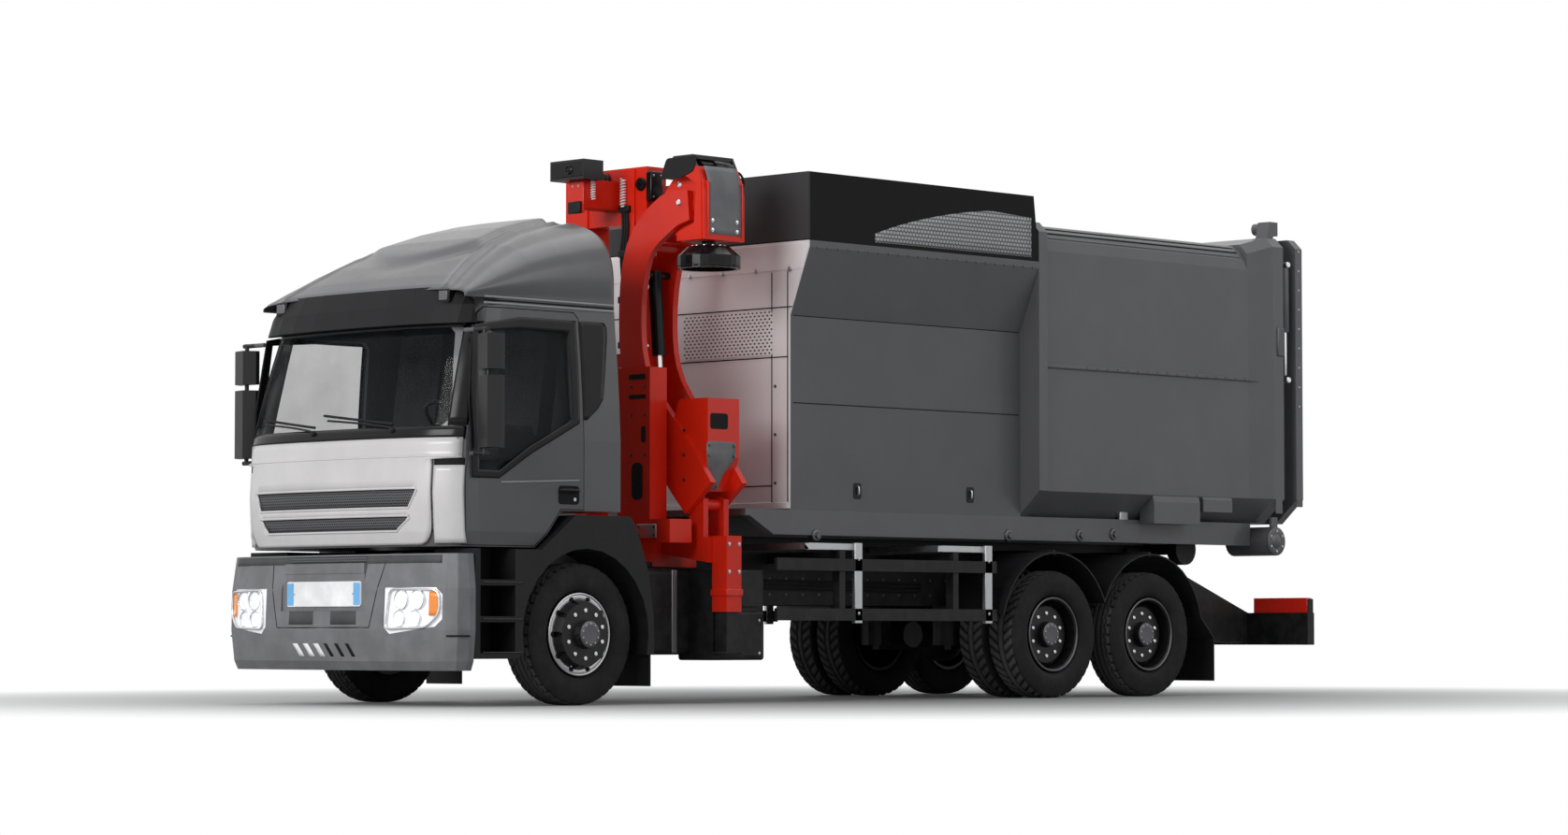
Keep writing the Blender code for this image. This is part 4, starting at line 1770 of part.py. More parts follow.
def build_head():
    """The head: two cheeks between the arms, a curved cover in front and a floor plate."""
    near_in = ARM_NEAR + ARM_PLATE + RUNNING
    far_in = ARM_FAR - RUNNING
    cheek = [(HEAD_BACK, HEAD_BOTTOM + HEAD_PLATE * 5), (HEAD_BACK + HEAD_PLATE * 6, HEAD_BOTTOM),
             (HEAD_FRONT - HEAD_PLATE / 2, HEAD_BOTTOM),
             (HEAD_FRONT - HEAD_PLATE / 2, HEAD_TOP - HEAD_PLATE * 2),
             (HEAD_FRONT - HEAD_PLATE * 3, HEAD_TOP + HEAD_PLATE * 2),
             (HEAD_BACK + HEAD_PLATE * 4, HEAD_TOP + HEAD_PLATE * 2),
             (HEAD_BACK, HEAD_TOP - HEAD_PLATE * 2)]
    near = prism("near", "Y", cheek, station(near_in), station(near_in + HEAD_PLATE))
    far = prism("far", "Y", cheek, station(far_in - HEAD_PLATE), station(far_in))
    floor = block("floor", (HEAD_BACK + HEAD_PLATE * 6, station(near_in + HEAD_PLATE / 2),
                            HEAD_BOTTOM + SEAT),
                  (HEAD_FRONT - HEAD_PLATE, station(far_in - HEAD_PLATE / 2),
                   HEAD_BOTTOM + HEAD_PLATE))
    cover_line = [(HEAD_FRONT - HEAD_PLATE / 2, HEAD_BOTTOM),
                  (HEAD_FRONT - HEAD_PLATE / 2, HEAD_TOP - HEAD_PLATE * 4),
                  (HEAD_FRONT - HEAD_PLATE, HEAD_TOP - HEAD_PLATE),
                  (HEAD_FRONT - HEAD_PLATE * 3, HEAD_TOP + HEAD_PLATE * 3)]
    cover = prism("cover", "Y", ribbon(cover_line, [HEAD_PLATE] * len(cover_line)),
                  station(ARM_NEAR - RUNNING - HEAD_PLATE / 2),
                  station(ARM_FAR + ARM_PLATE + RUNNING + HEAD_PLATE / 2))
    pin = rod("pin", "Y", (HEAD_PIN_X, BOOM_PIVOT_Z + ARM_HEIGHT), PIN_RADIUS,
              station(ARM_NEAR + ARM_PLATE) + SEAT, station(ARM_FAR) - SEAT, 16)
    made = joined(floor, near, far, pin, cover, *hood())
    return finished("crane_head", made, crane_red(), 30)


def hood():
    """The cover over the head: a block between the arms, a lid and two outer cheeks."""
    low = HEAD_TOP + HEAD_PLATE
    near_in, far_in = ARM_NEAR + ARM_PLATE + RUNNING, ARM_FAR - RUNNING
    near_out, far_out = ARM_NEAR - RUNNING, ARM_FAR + ARM_PLATE + RUNNING
    lid_low = HOOD_TOP - HEAD_PLATE
    outline = [(HEAD_BACK + HEAD_PLATE, low), (HEAD_FRONT - HEAD_PLATE * 5, low),
               (HEAD_FRONT - HEAD_PLATE * 3, low + (lid_low - low) * 0.7),
               (HEAD_FRONT - HEAD_PLATE * 5, lid_low + SEAT * 9),
               (HEAD_BACK + HEAD_PLATE * 4, lid_low + SEAT * 9)]
    core = prism("core", "Y", outline, station(near_in), station(far_in))
    lid = block("lid", (HOOD_LID_BACK, station(near_out - HEAD_PLATE * 0.6), lid_low),
                (HEAD_FRONT - HEAD_PLATE * 4, station(far_out + HEAD_PLATE * 0.6), HOOD_TOP))
    cheek = [(HOOD_LID_BACK - HEAD_PLATE * 3, low), (HOOD_LID_BACK - HEAD_PLATE, lid_low),
             (HOOD_LID_BACK + SEAT * 9, HOOD_TOP - SEAT * 9),
             (HEAD_FRONT - HEAD_PLATE * 4 - SEAT * 9, HOOD_TOP - SEAT * 9),
             (HEAD_FRONT - HEAD_PLATE, HEAD_TOP), (HEAD_FRONT - HEAD_PLATE * 0.7, HEAD_BOTTOM + SEAT),
             (HEAD_BACK + HEAD_PLATE * 7, HEAD_BOTTOM + SEAT),
             (HEAD_BACK + HEAD_PLATE * 7, HEAD_BOTTOM + HEAD_PLATE * 2),
             (HEAD_FRONT - HEAD_PLATE * 3.4, HEAD_BOTTOM + HEAD_PLATE * 4),
             (HEAD_FRONT - HEAD_PLATE * 2.6, HEAD_TOP - HEAD_PLATE), (HEAD_PIN_X, low)]
    near = prism("near", "Y", cheek, station(near_out - HEAD_PLATE * 0.7), station(near_out))
    far = prism("far", "Y", cheek, station(far_out), station(far_out + HEAD_PLATE * 0.7))
    return core, lid, near, far


def build_coupler():
    """A bell that drops over a bin's mushroom, on a stem under the head."""
    top = HEAD_BOTTOM - SEAT
    middle = (COUPLER_X, station((ARM_NEAR + ARM_FAR + ARM_PLATE) / 2))
    wall = COUPLER_WALL
    brow = COUPLER_RADIUS * 0.66
    profile = [(0, top), (COUPLER_STEM, top), (COUPLER_STEM, top - wall * 0.8),
               (brow, top - wall * 1.2), (COUPLER_RADIUS, top - wall * 3.6),
               (COUPLER_RADIUS, COUPLER_BOTTOM), (COUPLER_RADIUS - wall, COUPLER_BOTTOM),
               (COUPLER_RADIUS - wall, top - wall * 4), (brow - wall, top - wall * 2.4),
               (0, top - wall * 2.4)]
    made = revolve("coupler", "Z", middle, profile, 24)
    return finished("coupler", made, plastic_black(), 40)


def build_cylinder():
    """The lift cylinder between the arms: a barrel from the boom and its rod."""
    y = station((ARM_NEAR + ARM_FAR + ARM_PLATE) / 2)
    top = Vector((CYLINDER_TOP_X, y, CYLINDER_TOP_Z))
    eye = Vector((CYLINDER_EYE_X, y, CYLINDER_EYE_Z))
    along = (eye - top).normalized()
    mouth = top + along * BARREL_LENGTH
    barrel = tube("barrel", [top - along * BARREL_RADIUS * 0.6, mouth], BARREL_RADIUS, 16)
    ear = (ARM_FAR - ARM_NEAR - ARM_PLATE) / 2
    pin = rod("pin", "Y", (CYLINDER_TOP_X, CYLINDER_TOP_Z), PIN_RADIUS * 0.7,
              y - ear + SEAT, y + ear - SEAT, 12)
    barrel = joined(barrel, pin)
    bore = tube("bore", [mouth - along * (BARREL_LENGTH * 0.92), mouth + along * OVERRUN],
                ROD_RADIUS + SEAT * 3, 12)
    barrel = cut(barrel, bore)
    rod_piece = tube("rod", [mouth - along * BARREL_LENGTH * 0.9, eye], ROD_RADIUS, 12)
    eye_ring = rod("eye", "Y", (CYLINDER_EYE_X, CYLINDER_EYE_Z), ROD_RADIUS * 1.7,
                   y - ROD_RADIUS, y + ROD_RADIUS, 12)
    rod_piece = joined(rod_piece, eye_ring)
    return (finished("lift_barrel", barrel, plastic_black(), 40),
            finished("lift_rod", rod_piece, chrome(), 40))


def build_leg(name, side):
    """A sliding leg with a round foot."""
    y = station(LEG_STATION)
    half = LEG_OUTER / 2 - LEG_WALL - SEAT
    made = block("leg", (side * LEG_X - half, y - half, LEG_FOOT_Z + LEG_FOOT_THICKNESS / 2),
                 (side * LEG_X + half, y + half, LEG_TOP - LEG_WALL - SEAT))
    foot = rod("foot", "Z", (side * LEG_X, y), LEG_FOOT_RADIUS * 0.5, LEG_FOOT_Z,
               LEG_FOOT_Z + LEG_FOOT_THICKNESS, 20)
    made = joined(made, foot)
    return finished(name, made, galvanised(), 30)


def build_crane():
    build_crane_base()
    middle = station((ARM_NEAR + ARM_FAR + ARM_PLATE) / 2)
    pivot("boom_pivot", (BOOM_PIVOT_X, middle, BOOM_PIVOT_Z), build_boom())
    pivot("head_pivot", (HEAD_PIN_X, middle, BOOM_PIVOT_Z + ARM_HEIGHT), build_head())
    pivot("coupler_pivot", (COUPLER_X, middle, HEAD_BOTTOM), build_coupler())
    barrel, rod_piece = build_cylinder()
    pivot("barrel_pivot", (CYLINDER_TOP_X, middle, CYLINDER_TOP_Z), barrel)
    pivot("rod_pivot", (CYLINDER_TOP_X, middle, CYLINDER_TOP_Z), rod_piece)
    for side, hand in ((1, "left"), (-1, "right")):
        pivot("leg_" + hand + "_pivot", (side * LEG_X, station(LEG_STATION), LEG_BOTTOM),
              build_leg("stabiliser_" + hand, side))


def build_chassis():
    build_frame()
    build_engine()
    build_front_axle()
    build_rear_axle("drive_axle", station(WHEELBASE),
                    REAR_TRACK_HALF - TWIN_PITCH - RIM_WIDTH / 2, True)
    build_rear_axle("tag_axle", station(TAG_STATION), REAR_TRACK_HALF - RIM_WIDTH / 2, False)
    build_bumper()
    build_underrun()
    for side, hand in ((1, "left"), (-1, "right")):
        build_headlamp("headlamp_" + hand, side)
        build_wing("front_wing_" + hand, side)
        build_tank("side_tank_" + hand, side)
        build_side_guard("side_guard_" + hand, side)
        build_mudguard("mudguard_" + hand, side)
        knuckle = build_knuckle("knuckle_" + hand, side)
        pivot("steer_" + hand + "_pivot", (side * KINGPIN_X, station(0), AXLE_Z), knuckle)


def main():
    clear_scene()
    build_chassis()
    build_wheels()
    build_cab()
    build_body()
    build_crane()


main()
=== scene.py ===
import math

import bmesh
import bpy
import numpy as np
from bpy.props import FloatProperty, FloatVectorProperty, IntProperty, PointerProperty
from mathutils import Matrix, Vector


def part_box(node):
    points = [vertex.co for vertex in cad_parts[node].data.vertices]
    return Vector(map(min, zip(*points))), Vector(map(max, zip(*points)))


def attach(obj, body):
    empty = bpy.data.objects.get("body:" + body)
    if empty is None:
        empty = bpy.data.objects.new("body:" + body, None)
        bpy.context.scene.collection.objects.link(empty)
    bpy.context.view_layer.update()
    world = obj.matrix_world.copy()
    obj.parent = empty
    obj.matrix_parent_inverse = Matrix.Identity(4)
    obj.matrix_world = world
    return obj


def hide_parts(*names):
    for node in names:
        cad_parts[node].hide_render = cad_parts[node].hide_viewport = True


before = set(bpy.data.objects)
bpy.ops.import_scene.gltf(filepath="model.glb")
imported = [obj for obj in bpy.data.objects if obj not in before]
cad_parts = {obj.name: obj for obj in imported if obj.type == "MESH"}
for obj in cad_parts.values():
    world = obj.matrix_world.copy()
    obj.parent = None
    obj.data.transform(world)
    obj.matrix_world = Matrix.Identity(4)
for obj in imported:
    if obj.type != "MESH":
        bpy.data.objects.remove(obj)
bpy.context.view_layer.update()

bl_info = {
    "name": "Side-loading refuse truck",
    "version": (1, 0, 0),
    "blender": (4, 5, 0),
    "location": "3D View > Sidebar > Refuse truck",
    "description": "Dresses the packed refuse truck with its fittings, finishes and studio",
    "category": "Object",
}

TAU = 2 * math.pi
FRONT_AXLE_Y = sum(corner[1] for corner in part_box("front_tyre_left")) / 2
SIDES = ((1, "left"), (-1, "right"))


def at(distance):
    """Y of a place a distance behind the front axle."""
    return FRONT_AXLE_Y + distance


# Shader maths

class Value:
    """A socket that can stand in sums; each operator adds one Math node."""

    def __init__(self, recipe, socket):
        self.recipe = recipe
        self.socket = socket

    def _maths(self, operation, first, second=None):
        values = {0: first} if second is None else {0: first, 1: second}
        return self.recipe.node("ShaderNodeMath", {"operation": operation}, values)["Value"]

    def __add__(self, other):
        return self._maths("ADD", self, other)

    __radd__ = __add__

    def __sub__(self, other):
        return self._maths("SUBTRACT", self, other)

    def __rsub__(self, other):
        return self._maths("SUBTRACT", other, self)

    def __mul__(self, other):
        return self._maths("MULTIPLY", self, other)

    __rmul__ = __mul__

    def __truediv__(self, other):
        return self._maths("DIVIDE", self, other)

    def __lt__(self, other):
        return self._maths("LESS_THAN", self, other)

    def __gt__(self, other):
        return self._maths("GREATER_THAN", self, other)

    def __abs__(self):
        return self._maths("ABSOLUTE", self)

    def __mod__(self, other):
        return self._maths("FLOORED_MODULO", self, other)

    def least(self, other):
        return self._maths("MINIMUM", self, other)

    def most(self, other):
        return self._maths("MAXIMUM", self, other)

    def sine(self):
        return self._maths("SINE", self)


class Outputs:
    """A node's output sockets by name, as values."""

    def __init__(self, recipe, node):
        self.recipe = recipe
        self.node = node

    def __getitem__(self, name):
        return Value(self.recipe, self.node.outputs[name])


class Recipe:
    """One material: a Principled shader and the nodes that feed it."""

    def __init__(self, name):
        self.material = bpy.data.materials.new(name)
        self.material.use_nodes = True
        self.tree = self.material.node_tree
        self.shader = self.tree.nodes["Principled BSDF"]
        self.place = self.node("ShaderNodeTexCoord")["Object"]

    def node(self, kind, settings=None, values=None):
        """Adds a node: its settings first, then the values or links of its sockets."""
        made = self.tree.nodes.new(kind)
        for name, setting in (settings or {}).items():
            if name == "stops":
                self._stops(made, setting)
            else:
                setattr(made, name, setting)
        for name, value in (values or {}).items():
            self.feed(made.inputs[name], value)
        return Outputs(self, made)

    def _stops(self, node, stops):
        ramp = node.color_ramp
        while len(ramp.elements) < len(stops):
            ramp.elements.new(0.5)
        for element, (position, colour) in zip(ramp.elements, stops):
            element.position = position
            element.color = (*colour, 1.0)

    def feed(self, socket, value):
        if isinstance(value, Value):
            self.tree.links.new(value.socket, socket)
        else:
            socket.default_value = value

    def set(self, **values):
        """Feeds the shader's sockets, named with underscores for spaces."""
        for name, value in values.items():
            self.feed(self.shader.inputs[name.replace("_", " ")], value)
        return self

    def noise(self, scale, detail=4.0, roughness=0.55, place=None):
        return self.node("ShaderNodeTexNoise", None,
                         {"Vector": place or self.place, "Scale": scale, "Detail": detail,
                          "Roughness": roughness})["Fac"]

    def stretched(self, x, y, z):
        """Object coordinates scaled apart along the axes, for brushed or running marks."""
        return self.node("ShaderNodeMapping", None, {"Vector": self.place,
                                                     "Scale": (x, y, z)})["Vector"]

    def span(self, value, low, high, to_low=0.0, to_high=1.0):
        return self.node("ShaderNodeMapRange", {"clamp": True},
                         {"Value": value, "From Min": low, "From Max": high, "To Min": to_low,
                          "To Max": to_high})["Result"]

    def mix(self, mask, first, second):
        """A colour between two, by a mask."""
        made = self.tree.nodes.new("ShaderNodeMix")
        made.data_type = "RGBA"
        self.feed(made.inputs[0], mask)
        for socket, value in ((made.inputs[6], first), (made.inputs[7], second)):
            self.feed(socket, value if isinstance(value, Value) else (*value, 1.0))
        return Value(self, made.outputs[2])

    def apart(self, vector):
        """The three parts of a vector."""
        made = self.node("ShaderNodeSeparateXYZ", None, {"Vector": vector})
        return made["X"], made["Y"], made["Z"]

    def bump(self, height, strength, distance):
        return self.node("ShaderNodeBump", None, {"Height": height, "Strength": strength,
                                                  "Distance": distance})["Normal"]


def shade(colour, factor):
    """A colour made lighter or darker."""
    return tuple(min(1.0, part * factor) for part in colour)


def paint(name, colour, roughness=0.32, coat=0.25, dust=0.25, gloss=0.35):
    """Vehicle paint: faint mottling, orange peel, and dust that gathers low down."""
    recipe = Recipe(name)
    mottled = recipe.span(recipe.noise(2.2, 5.0), 0.35, 0.7)
    _, _, z = recipe.apart(recipe.place)
    grime = recipe.span(z, 1.9, 0.5) * recipe.span(recipe.noise(9.0, 6.0), 0.4, 0.75) * dust
    base = recipe.mix(mottled, shade(colour, 0.94), shade(colour, 1.05))
    recipe.set(Base_Color=recipe.mix(grime, base, (0.07, 0.066, 0.062)),
               Roughness=roughness + 0.10 * recipe.noise(14.0, 4.0) - 0.05 + grime * 0.3,
               Coat_Weight=coat, Coat_Roughness=0.12, Specular_IOR_Level=gloss,
               Normal=recipe.bump(recipe.noise(220.0, 2.0), 0.05, 0.002))
    return recipe.material


def plastic(name, colour, roughness=0.5, grain=420.0):
    """Moulded plastic: leather-like grain and slightly chalky patches."""
    recipe = Recipe(name)
    chalk = recipe.span(recipe.noise(5.0, 6.0), 0.4, 0.75)
    recipe.set(Base_Color=recipe.mix(chalk, colour, shade(colour, 1.35)),
               Roughness=roughness + 0.16 * recipe.noise(26.0, 5.0) - 0.08,
               Specular_IOR_Level=0.2, Normal=recipe.bump(recipe.noise(grain, 3.0), 0.22, 0.0012))
    return recipe.material


def rubber(name, colour=(0.012, 0.012, 0.013)):
    """Tyre rubber: dull, with fine pores and dusty bloom."""
    recipe = Recipe(name)
    bloom = recipe.span(recipe.noise(7.0, 7.0), 0.42, 0.8)
    worn = recipe.node("ShaderNodeAttribute", {"attribute_name": "worn"})["Fac"]
    side = recipe.mix(bloom, colour, (0.026, 0.025, 0.024))
    recipe.set(Base_Color=recipe.mix(worn, side, (0.085, 0.083, 0.08)),
               Roughness=0.72 + 0.2 * recipe.noise(30.0, 4.0) - 0.05,
               Specular_IOR_Level=0.2, Normal=recipe.bump(recipe.noise(600.0, 3.0), 0.2, 0.001))
    return recipe.material


def metal(name, colour, roughness=0.3, brushed=(40.0, 40.0, 400.0)):
    """Bare or plated metal with fine drawn marks."""
    recipe = Recipe(name)
    marks = recipe.noise(1.0, 3.0, 0.6, recipe.stretched(*brushed))
    recipe.set(Base_Color=recipe.mix(recipe.noise(12.0, 4.0), shade(colour, 0.85), colour),
               Metallic=1.0, Roughness=roughness + 0.14 * marks - 0.05,
               Normal=recipe.bump(marks, 0.06, 0.001))
    return recipe.material


def clear_glass(name, colour, alpha, roughness=0.02):
    """Tinted glazing, seen through by its alpha."""
    recipe = Recipe(name)
    smear = recipe.span(recipe.noise(3.0, 5.0), 0.4, 0.8)
    recipe.set(Base_Color=(*colour, 1.0), Roughness=roughness + 0.05 * smear,
               Alpha=alpha + 0.06 * smear, Specular_IOR_Level=0.25)
    return recipe.material


def meshed(name, hole, pitches, colour, behind=(0.004, 0.004, 0.004)):
    """Pressed mesh: rows of holes, each row set off by half a pitch, with what shows behind."""
    recipe = Recipe(name)
    x, y, z = recipe.apart(recipe.place)
    along = (x + y) / pitches[0]
    rows = z / pitches[1]
    shift = recipe.span((rows % 2.0), 0.999, 1.0) * 0.5
    across = abs(((along + shift) % 1.0) - 0.5)
    up = abs((rows % 1.0) - 0.5)
    far = across * across + up * up
    rim = recipe.span(far, hole * hole * 0.7, hole * hole * 1.25)
    recipe.set(Base_Color=recipe.mix(rim, behind, colour),
               Roughness=0.4 + 0.2 * recipe.noise(20.0), Specular_IOR_Level=0.3,
               Normal=recipe.bump(rim, 0.5, 0.004))
    return recipe.material


def two_paints(name, first, second, mask, roughness=0.4, coat=0.1, gloss=0.3):
    """Paint in two colours, the second where the mask says."""
    recipe = Recipe(name)
    place = recipe.apart(recipe.place)
    mottled = recipe.span(recipe.noise(2.2, 5.0), 0.35, 0.7)
    grime = recipe.span(place[2], 1.9, 0.5) * recipe.span(recipe.noise(9.0, 6.0), 0.4, 0.75) * 0.2
    here = mask(recipe, place)
    base = recipe.mix(here, recipe.mix(mottled, shade(first, 0.94), shade(first, 1.05)), second)
    recipe.set(Base_Color=recipe.mix(grime, base, (0.07, 0.066, 0.062)),
               Roughness=roughness + 0.10 * recipe.noise(14.0, 4.0) - 0.05,
               Coat_Weight=coat, Coat_Roughness=0.15, Specular_IOR_Level=gloss,
               Normal=recipe.bump(recipe.noise(220.0, 2.0), 0.05, 0.002))
    return recipe.material


def lamp_glass(name, colour, glow, ribs=90.0):
    """A moulded lamp lens: its colour, fine upright ribs and a faint glow."""
    recipe = Recipe(name)
    x, y, _ = recipe.apart(recipe.place)
    rib = ((x + y) * ribs * TAU).sine()
    recipe.set(Base_Color=recipe.mix(recipe.noise(40.0), shade(colour, 0.85), colour),
               Roughness=0.12 + 0.08 * recipe.noise(30.0), Coat_Weight=0.8,
               Emission_Color=(*colour, 1.0), Emission_Strength=glow,
               Normal=recipe.bump(rib, 0.25, 0.002))
    return recipe.material


def woven(name, colour):
    """Seat cloth: a plain weave 3 mm across with a soft nap."""
    recipe = Recipe(name)
    x, y, z = recipe.apart(recipe.place)
    weave = (x * 2100.0).sine() * ((z + y) * 2100.0).sine()
    patch = recipe.span(recipe.noise(6.0, 6.0), 0.35, 0.75)
    recipe.set(Base_Color=recipe.mix(patch, colour, shade(colour, 1.5)), Roughness=0.9,
               Normal=recipe.bump(weave, 0.25, 0.001))
    return recipe.material


def past(edge, width=0.002):
    """A mask of what stands further out sideways than an edge."""
    return lambda recipe, place: recipe.span(abs(place[0]), edge, edge + width)


def in_front(edge, low):
    """A mask of what is above a level and ahead of a station."""
    return lambda recipe, place: (recipe.span(place[1], at(edge) + 0.001, at(edge))
                                  * recipe.span(place[2], low, low + 0.001))


FINISHES = {}


def makers():
    """Every finish by name, as a function that makes it."""
    look = bpy.context.scene.truck_finish
    cab, body, crane = tuple(look.cab), tuple(look.body), tuple(look.crane)
    # This pale colour is the body paint made lighter for the hopper's front wall, its band, sill
    # and punched panel, as painted light from the front; the body colour is the same paint's shaded
    # copy for the sides
    lit_front_body = (0.78, 0.75, 0.75)
    dark = (0.009, 0.009, 0.010)
    return {
        # The cab's paint and the front panel's paint are one light grey paint: the cab's copy is
        # darkened as painted shade on the sides and roof, the panel's copy is kept pale as painted
        # light on the front
        "cab_paint": lambda: paint("cab_paint", cab, 0.32, 0.2, 0.15),
        "door_paint": lambda: two_paints("door_paint", cab, dark, past(1.192)),
        "lit_cab_front_paint": lambda: paint("lit_cab_front_paint", (0.55, 0.535, 0.535), 0.34, 0.4, 0.1),
        "body_paint": lambda: paint("body_paint", body, 0.42, 0.25, 0.3),
        # The hopper's front wall takes the lit copy of the body paint, as painted light from the
        # front.
        "hopper_lit_front_paint": lambda: two_paints("hopper_lit_front_paint", body, lit_front_body, in_front(2.212, 1.43)),
        "lit_front_body_paint": lambda: paint("lit_front_body_paint", lit_front_body, 0.38, 0.3, 0.1),
        "crane_paint": lambda: paint("crane_paint", crane, 0.34, 0.2, 0.1),
        "column_paint": lambda: two_paints("column_paint", crane, dark, in_front(1.07, 3.838)),
        "head_paint": lambda: two_paints("head_paint", crane, dark, in_front(9.0, 3.90)),
        "chassis_paint": lambda: paint("chassis_paint", (0.010, 0.010, 0.011), 0.5, 0.05, 0.35,
                                       0.2),
        "black_plastic": lambda: plastic("black_plastic", dark, 0.46),
        "visor_plastic": lambda: two_paints("visor_plastic", (0.014, 0.014, 0.015),
                                            (0.003, 0.003, 0.003), past(1.02), 0.55, 0.0, 0.12),
        "gloss_black": lambda: paint("gloss_black", (0.006, 0.006, 0.007), 0.2, 0.0, 0.03, 0.2),
        "matt_black": lambda: plastic("matt_black", (0.005, 0.005, 0.005), 0.8),
        "shadow_grey": lambda: plastic("shadow_grey", (0.060, 0.060, 0.064), 0.6),
        # A much lighter copy of the cab paint: a painted highlight along the drip rails and the
        # door crease.
        "highlight_paint": lambda: paint("highlight_paint", shade(cab, 3.2), 0.3, 0.2, 0.1),
        "grey_plastic": lambda: plastic("grey_plastic", (0.15, 0.15, 0.158), 0.5),
        "plate_white": lambda: plastic("plate_white", (0.75, 0.75, 0.76), 0.35),
        "plate_blue": lambda: plastic("plate_blue", (0.16, 0.40, 0.68), 0.35),
        "dark_metal": lambda: metal("dark_metal", (0.12, 0.12, 0.13), 0.4),
        "rim_black": lambda: paint("rim_black", (0.007, 0.007, 0.007), 0.4, 0.1, 0.1, 0.25),
        "wheel_silver": lambda: metal("wheel_silver", (0.50, 0.50, 0.51), 0.34),
        "bright_metal": lambda: metal("bright_metal", (0.78, 0.78, 0.8), 0.16),
        "zinc": lambda: metal("zinc", (0.5, 0.51, 0.52), 0.36),
        "brass": lambda: metal("brass", (0.75, 0.55, 0.2), 0.3),
        "tyre": lambda: rubber("tyre"),
        "hose_rubber": lambda: rubber("hose_rubber", (0.012, 0.012, 0.013)),
        "screen_glass": lambda: clear_glass("screen_glass", (0.01, 0.012, 0.015), 0.13),
        "side_glass": lambda: clear_glass("side_glass", (0.01, 0.012, 0.014), 0.22),
        "lens": lambda: clear_glass("lens", (0.8, 0.83, 0.86), 0.35),
        "lamp_dark": lambda: lamp_glass("lamp_dark", (0.05, 0.05, 0.055), 0.0),
        "lamp_white": lambda: lamp_glass("lamp_white", (0.85, 0.87, 0.9), 0.25),
        "amber_lens": lambda: lamp_glass("amber_lens", (0.85, 0.25, 0.02), 0.12),
        "red_lens": lambda: lamp_glass("red_lens", (0.65, 0.02, 0.01), 0.12),
        "grille_mesh": lambda: meshed("grille_mesh", 0.38, (0.022, 0.019), (0.10, 0.10, 0.105)),
        "punched_plate": lambda: meshed("punched_plate", 0.26, (0.044, 0.0255), lit_front_body),
        # The screen's dark paint is made lighter on its front face, as painted light from the
        # front.
        "screen_lit_front_paint": lambda: two_paints("screen_lit_front_paint", (0.005, 0.005, 0.005),
                                           (0.05, 0.05, 0.052), in_front(2.215, 3.42), 0.5, 0.0,
                                           0.1),
        "screen_mesh": lambda: meshed("screen_mesh", 0.46, (0.036, 0.030), (0.02, 0.02, 0.021),
                                      (0.40, 0.40, 0.41)),
        "cloth": lambda: woven("cloth", (0.022, 0.022, 0.026)),
    }


def finish(name):
    """A named finish, made when it is first asked for."""
    if name not in FINISHES:
        FINISHES[name] = makers()[name]()
    return FINISHES[name]


# Surfaces

def grid_faces(rows, columns, closed_rows=False, closed_columns=False):
    """Quads between neighbours of a grid of points, row by row."""
    row = np.arange(rows if closed_rows else rows - 1)
    column = np.arange(columns if closed_columns else columns - 1)
    i, j = np.meshgrid(row, column, indexing="ij")
    beside, below = (j + 1) % columns, (i + 1) % rows
    return np.stack([i * columns + j, i * columns + beside, below * columns + beside,
                     below * columns + j], axis=-1).reshape(-1, 4)


def mesh_piece(name, points, faces, finish_name, body, smooth=40.0):
    """A piece from arrays of points and of faces; Y is counted from the front axle."""
    mesh = bpy.data.meshes.new(name)
    points = np.asarray(points, dtype=float).reshape(-1, 3) + (0, FRONT_AXLE_Y, 0)
    mesh.from_pydata(points.tolist(), [], np.asarray(faces).tolist()
                     if isinstance(faces, np.ndarray) else faces)
    loose = bmesh.new()
    loose.from_mesh(mesh)
    bmesh.ops.remove_doubles(loose, verts=loose.verts, dist=1e-6)
    bmesh.ops.dissolve_degenerate(loose, edges=loose.edges, dist=1e-7)
    bmesh.ops.recalc_face_normals(loose, faces=loose.faces)
    loose.to_mesh(mesh)
    loose.free()
    mesh.update()
    piece = bpy.data.objects.new(name, mesh)
    bpy.context.scene.collection.objects.link(piece)
    mesh.materials.append(finish(finish_name))
    mesh.shade_smooth()
    mesh.set_sharp_from_angle(angle=math.radians(smooth))
    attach(piece, body)
    return piece


def bevelled(piece, width, segments=2):
    """Rounds a piece's edges."""
    rounding = piece.modifiers.new("rounding", "BEVEL")
    rounding.width = width
    rounding.segments = segments
    rounding.limit_method = "ANGLE"
    rounding.angle_limit = math.radians(35)
    rounding.use_clamp_overlap = True
    return piece


def walled(piece, thickness, offset=-1.0):
    """Gives a sheet its wall."""
    wall = piece.modifiers.new("wall", "SOLIDIFY")
    wall.thickness = thickness
    wall.offset = offset
    return piece


def sheet_on(name, surface, wall, finish_name, body, smooth=40.0):
    """A walled sheet: a grid of points on a surface, rows by columns."""
    rows, columns = surface.shape[:2]
    piece = mesh_piece(name, surface, grid_faces(rows, columns), finish_name, body, smooth)
    return walled(piece, wall)


def rounded_line(corners, radius, steps=4):
    """A closed outline whose corners are quadratic curves, as an array of points."""
    corners = np.asarray(corners, dtype=float)
    before, after = np.roll(corners, 1, 0) - corners, np.roll(corners, -1, 0) - corners
    reach = np.minimum(radius, 0.45 * np.minimum(np.linalg.norm(before, axis=1),
                                                 np.linalg.norm(after, axis=1)))[:, None]
    enter = corners + before / np.linalg.norm(before, axis=1)[:, None] * reach
    leave = corners + after / np.linalg.norm(after, axis=1)[:, None] * reach
    t = np.linspace(0, 1, steps + 1)[None, :, None]
    curve = ((1 - t) ** 2 * enter[:, None] + 2 * t * (1 - t) * corners[:, None]
             + t ** 2 * leave[:, None])
    return curve.reshape(-1, corners.shape[1])


def raised(axis, flat, along):
    """Points in space from plane points and their places along an axis."""
    first, second = [k for k in range(3) if k != "XYZ".index(axis)]
    made = np.zeros((*flat.shape[:-1], 3))
    made[..., first], made[..., second] = flat[..., 0], flat[..., 1]
    made[..., "XYZ".index(axis)] = along
    return made


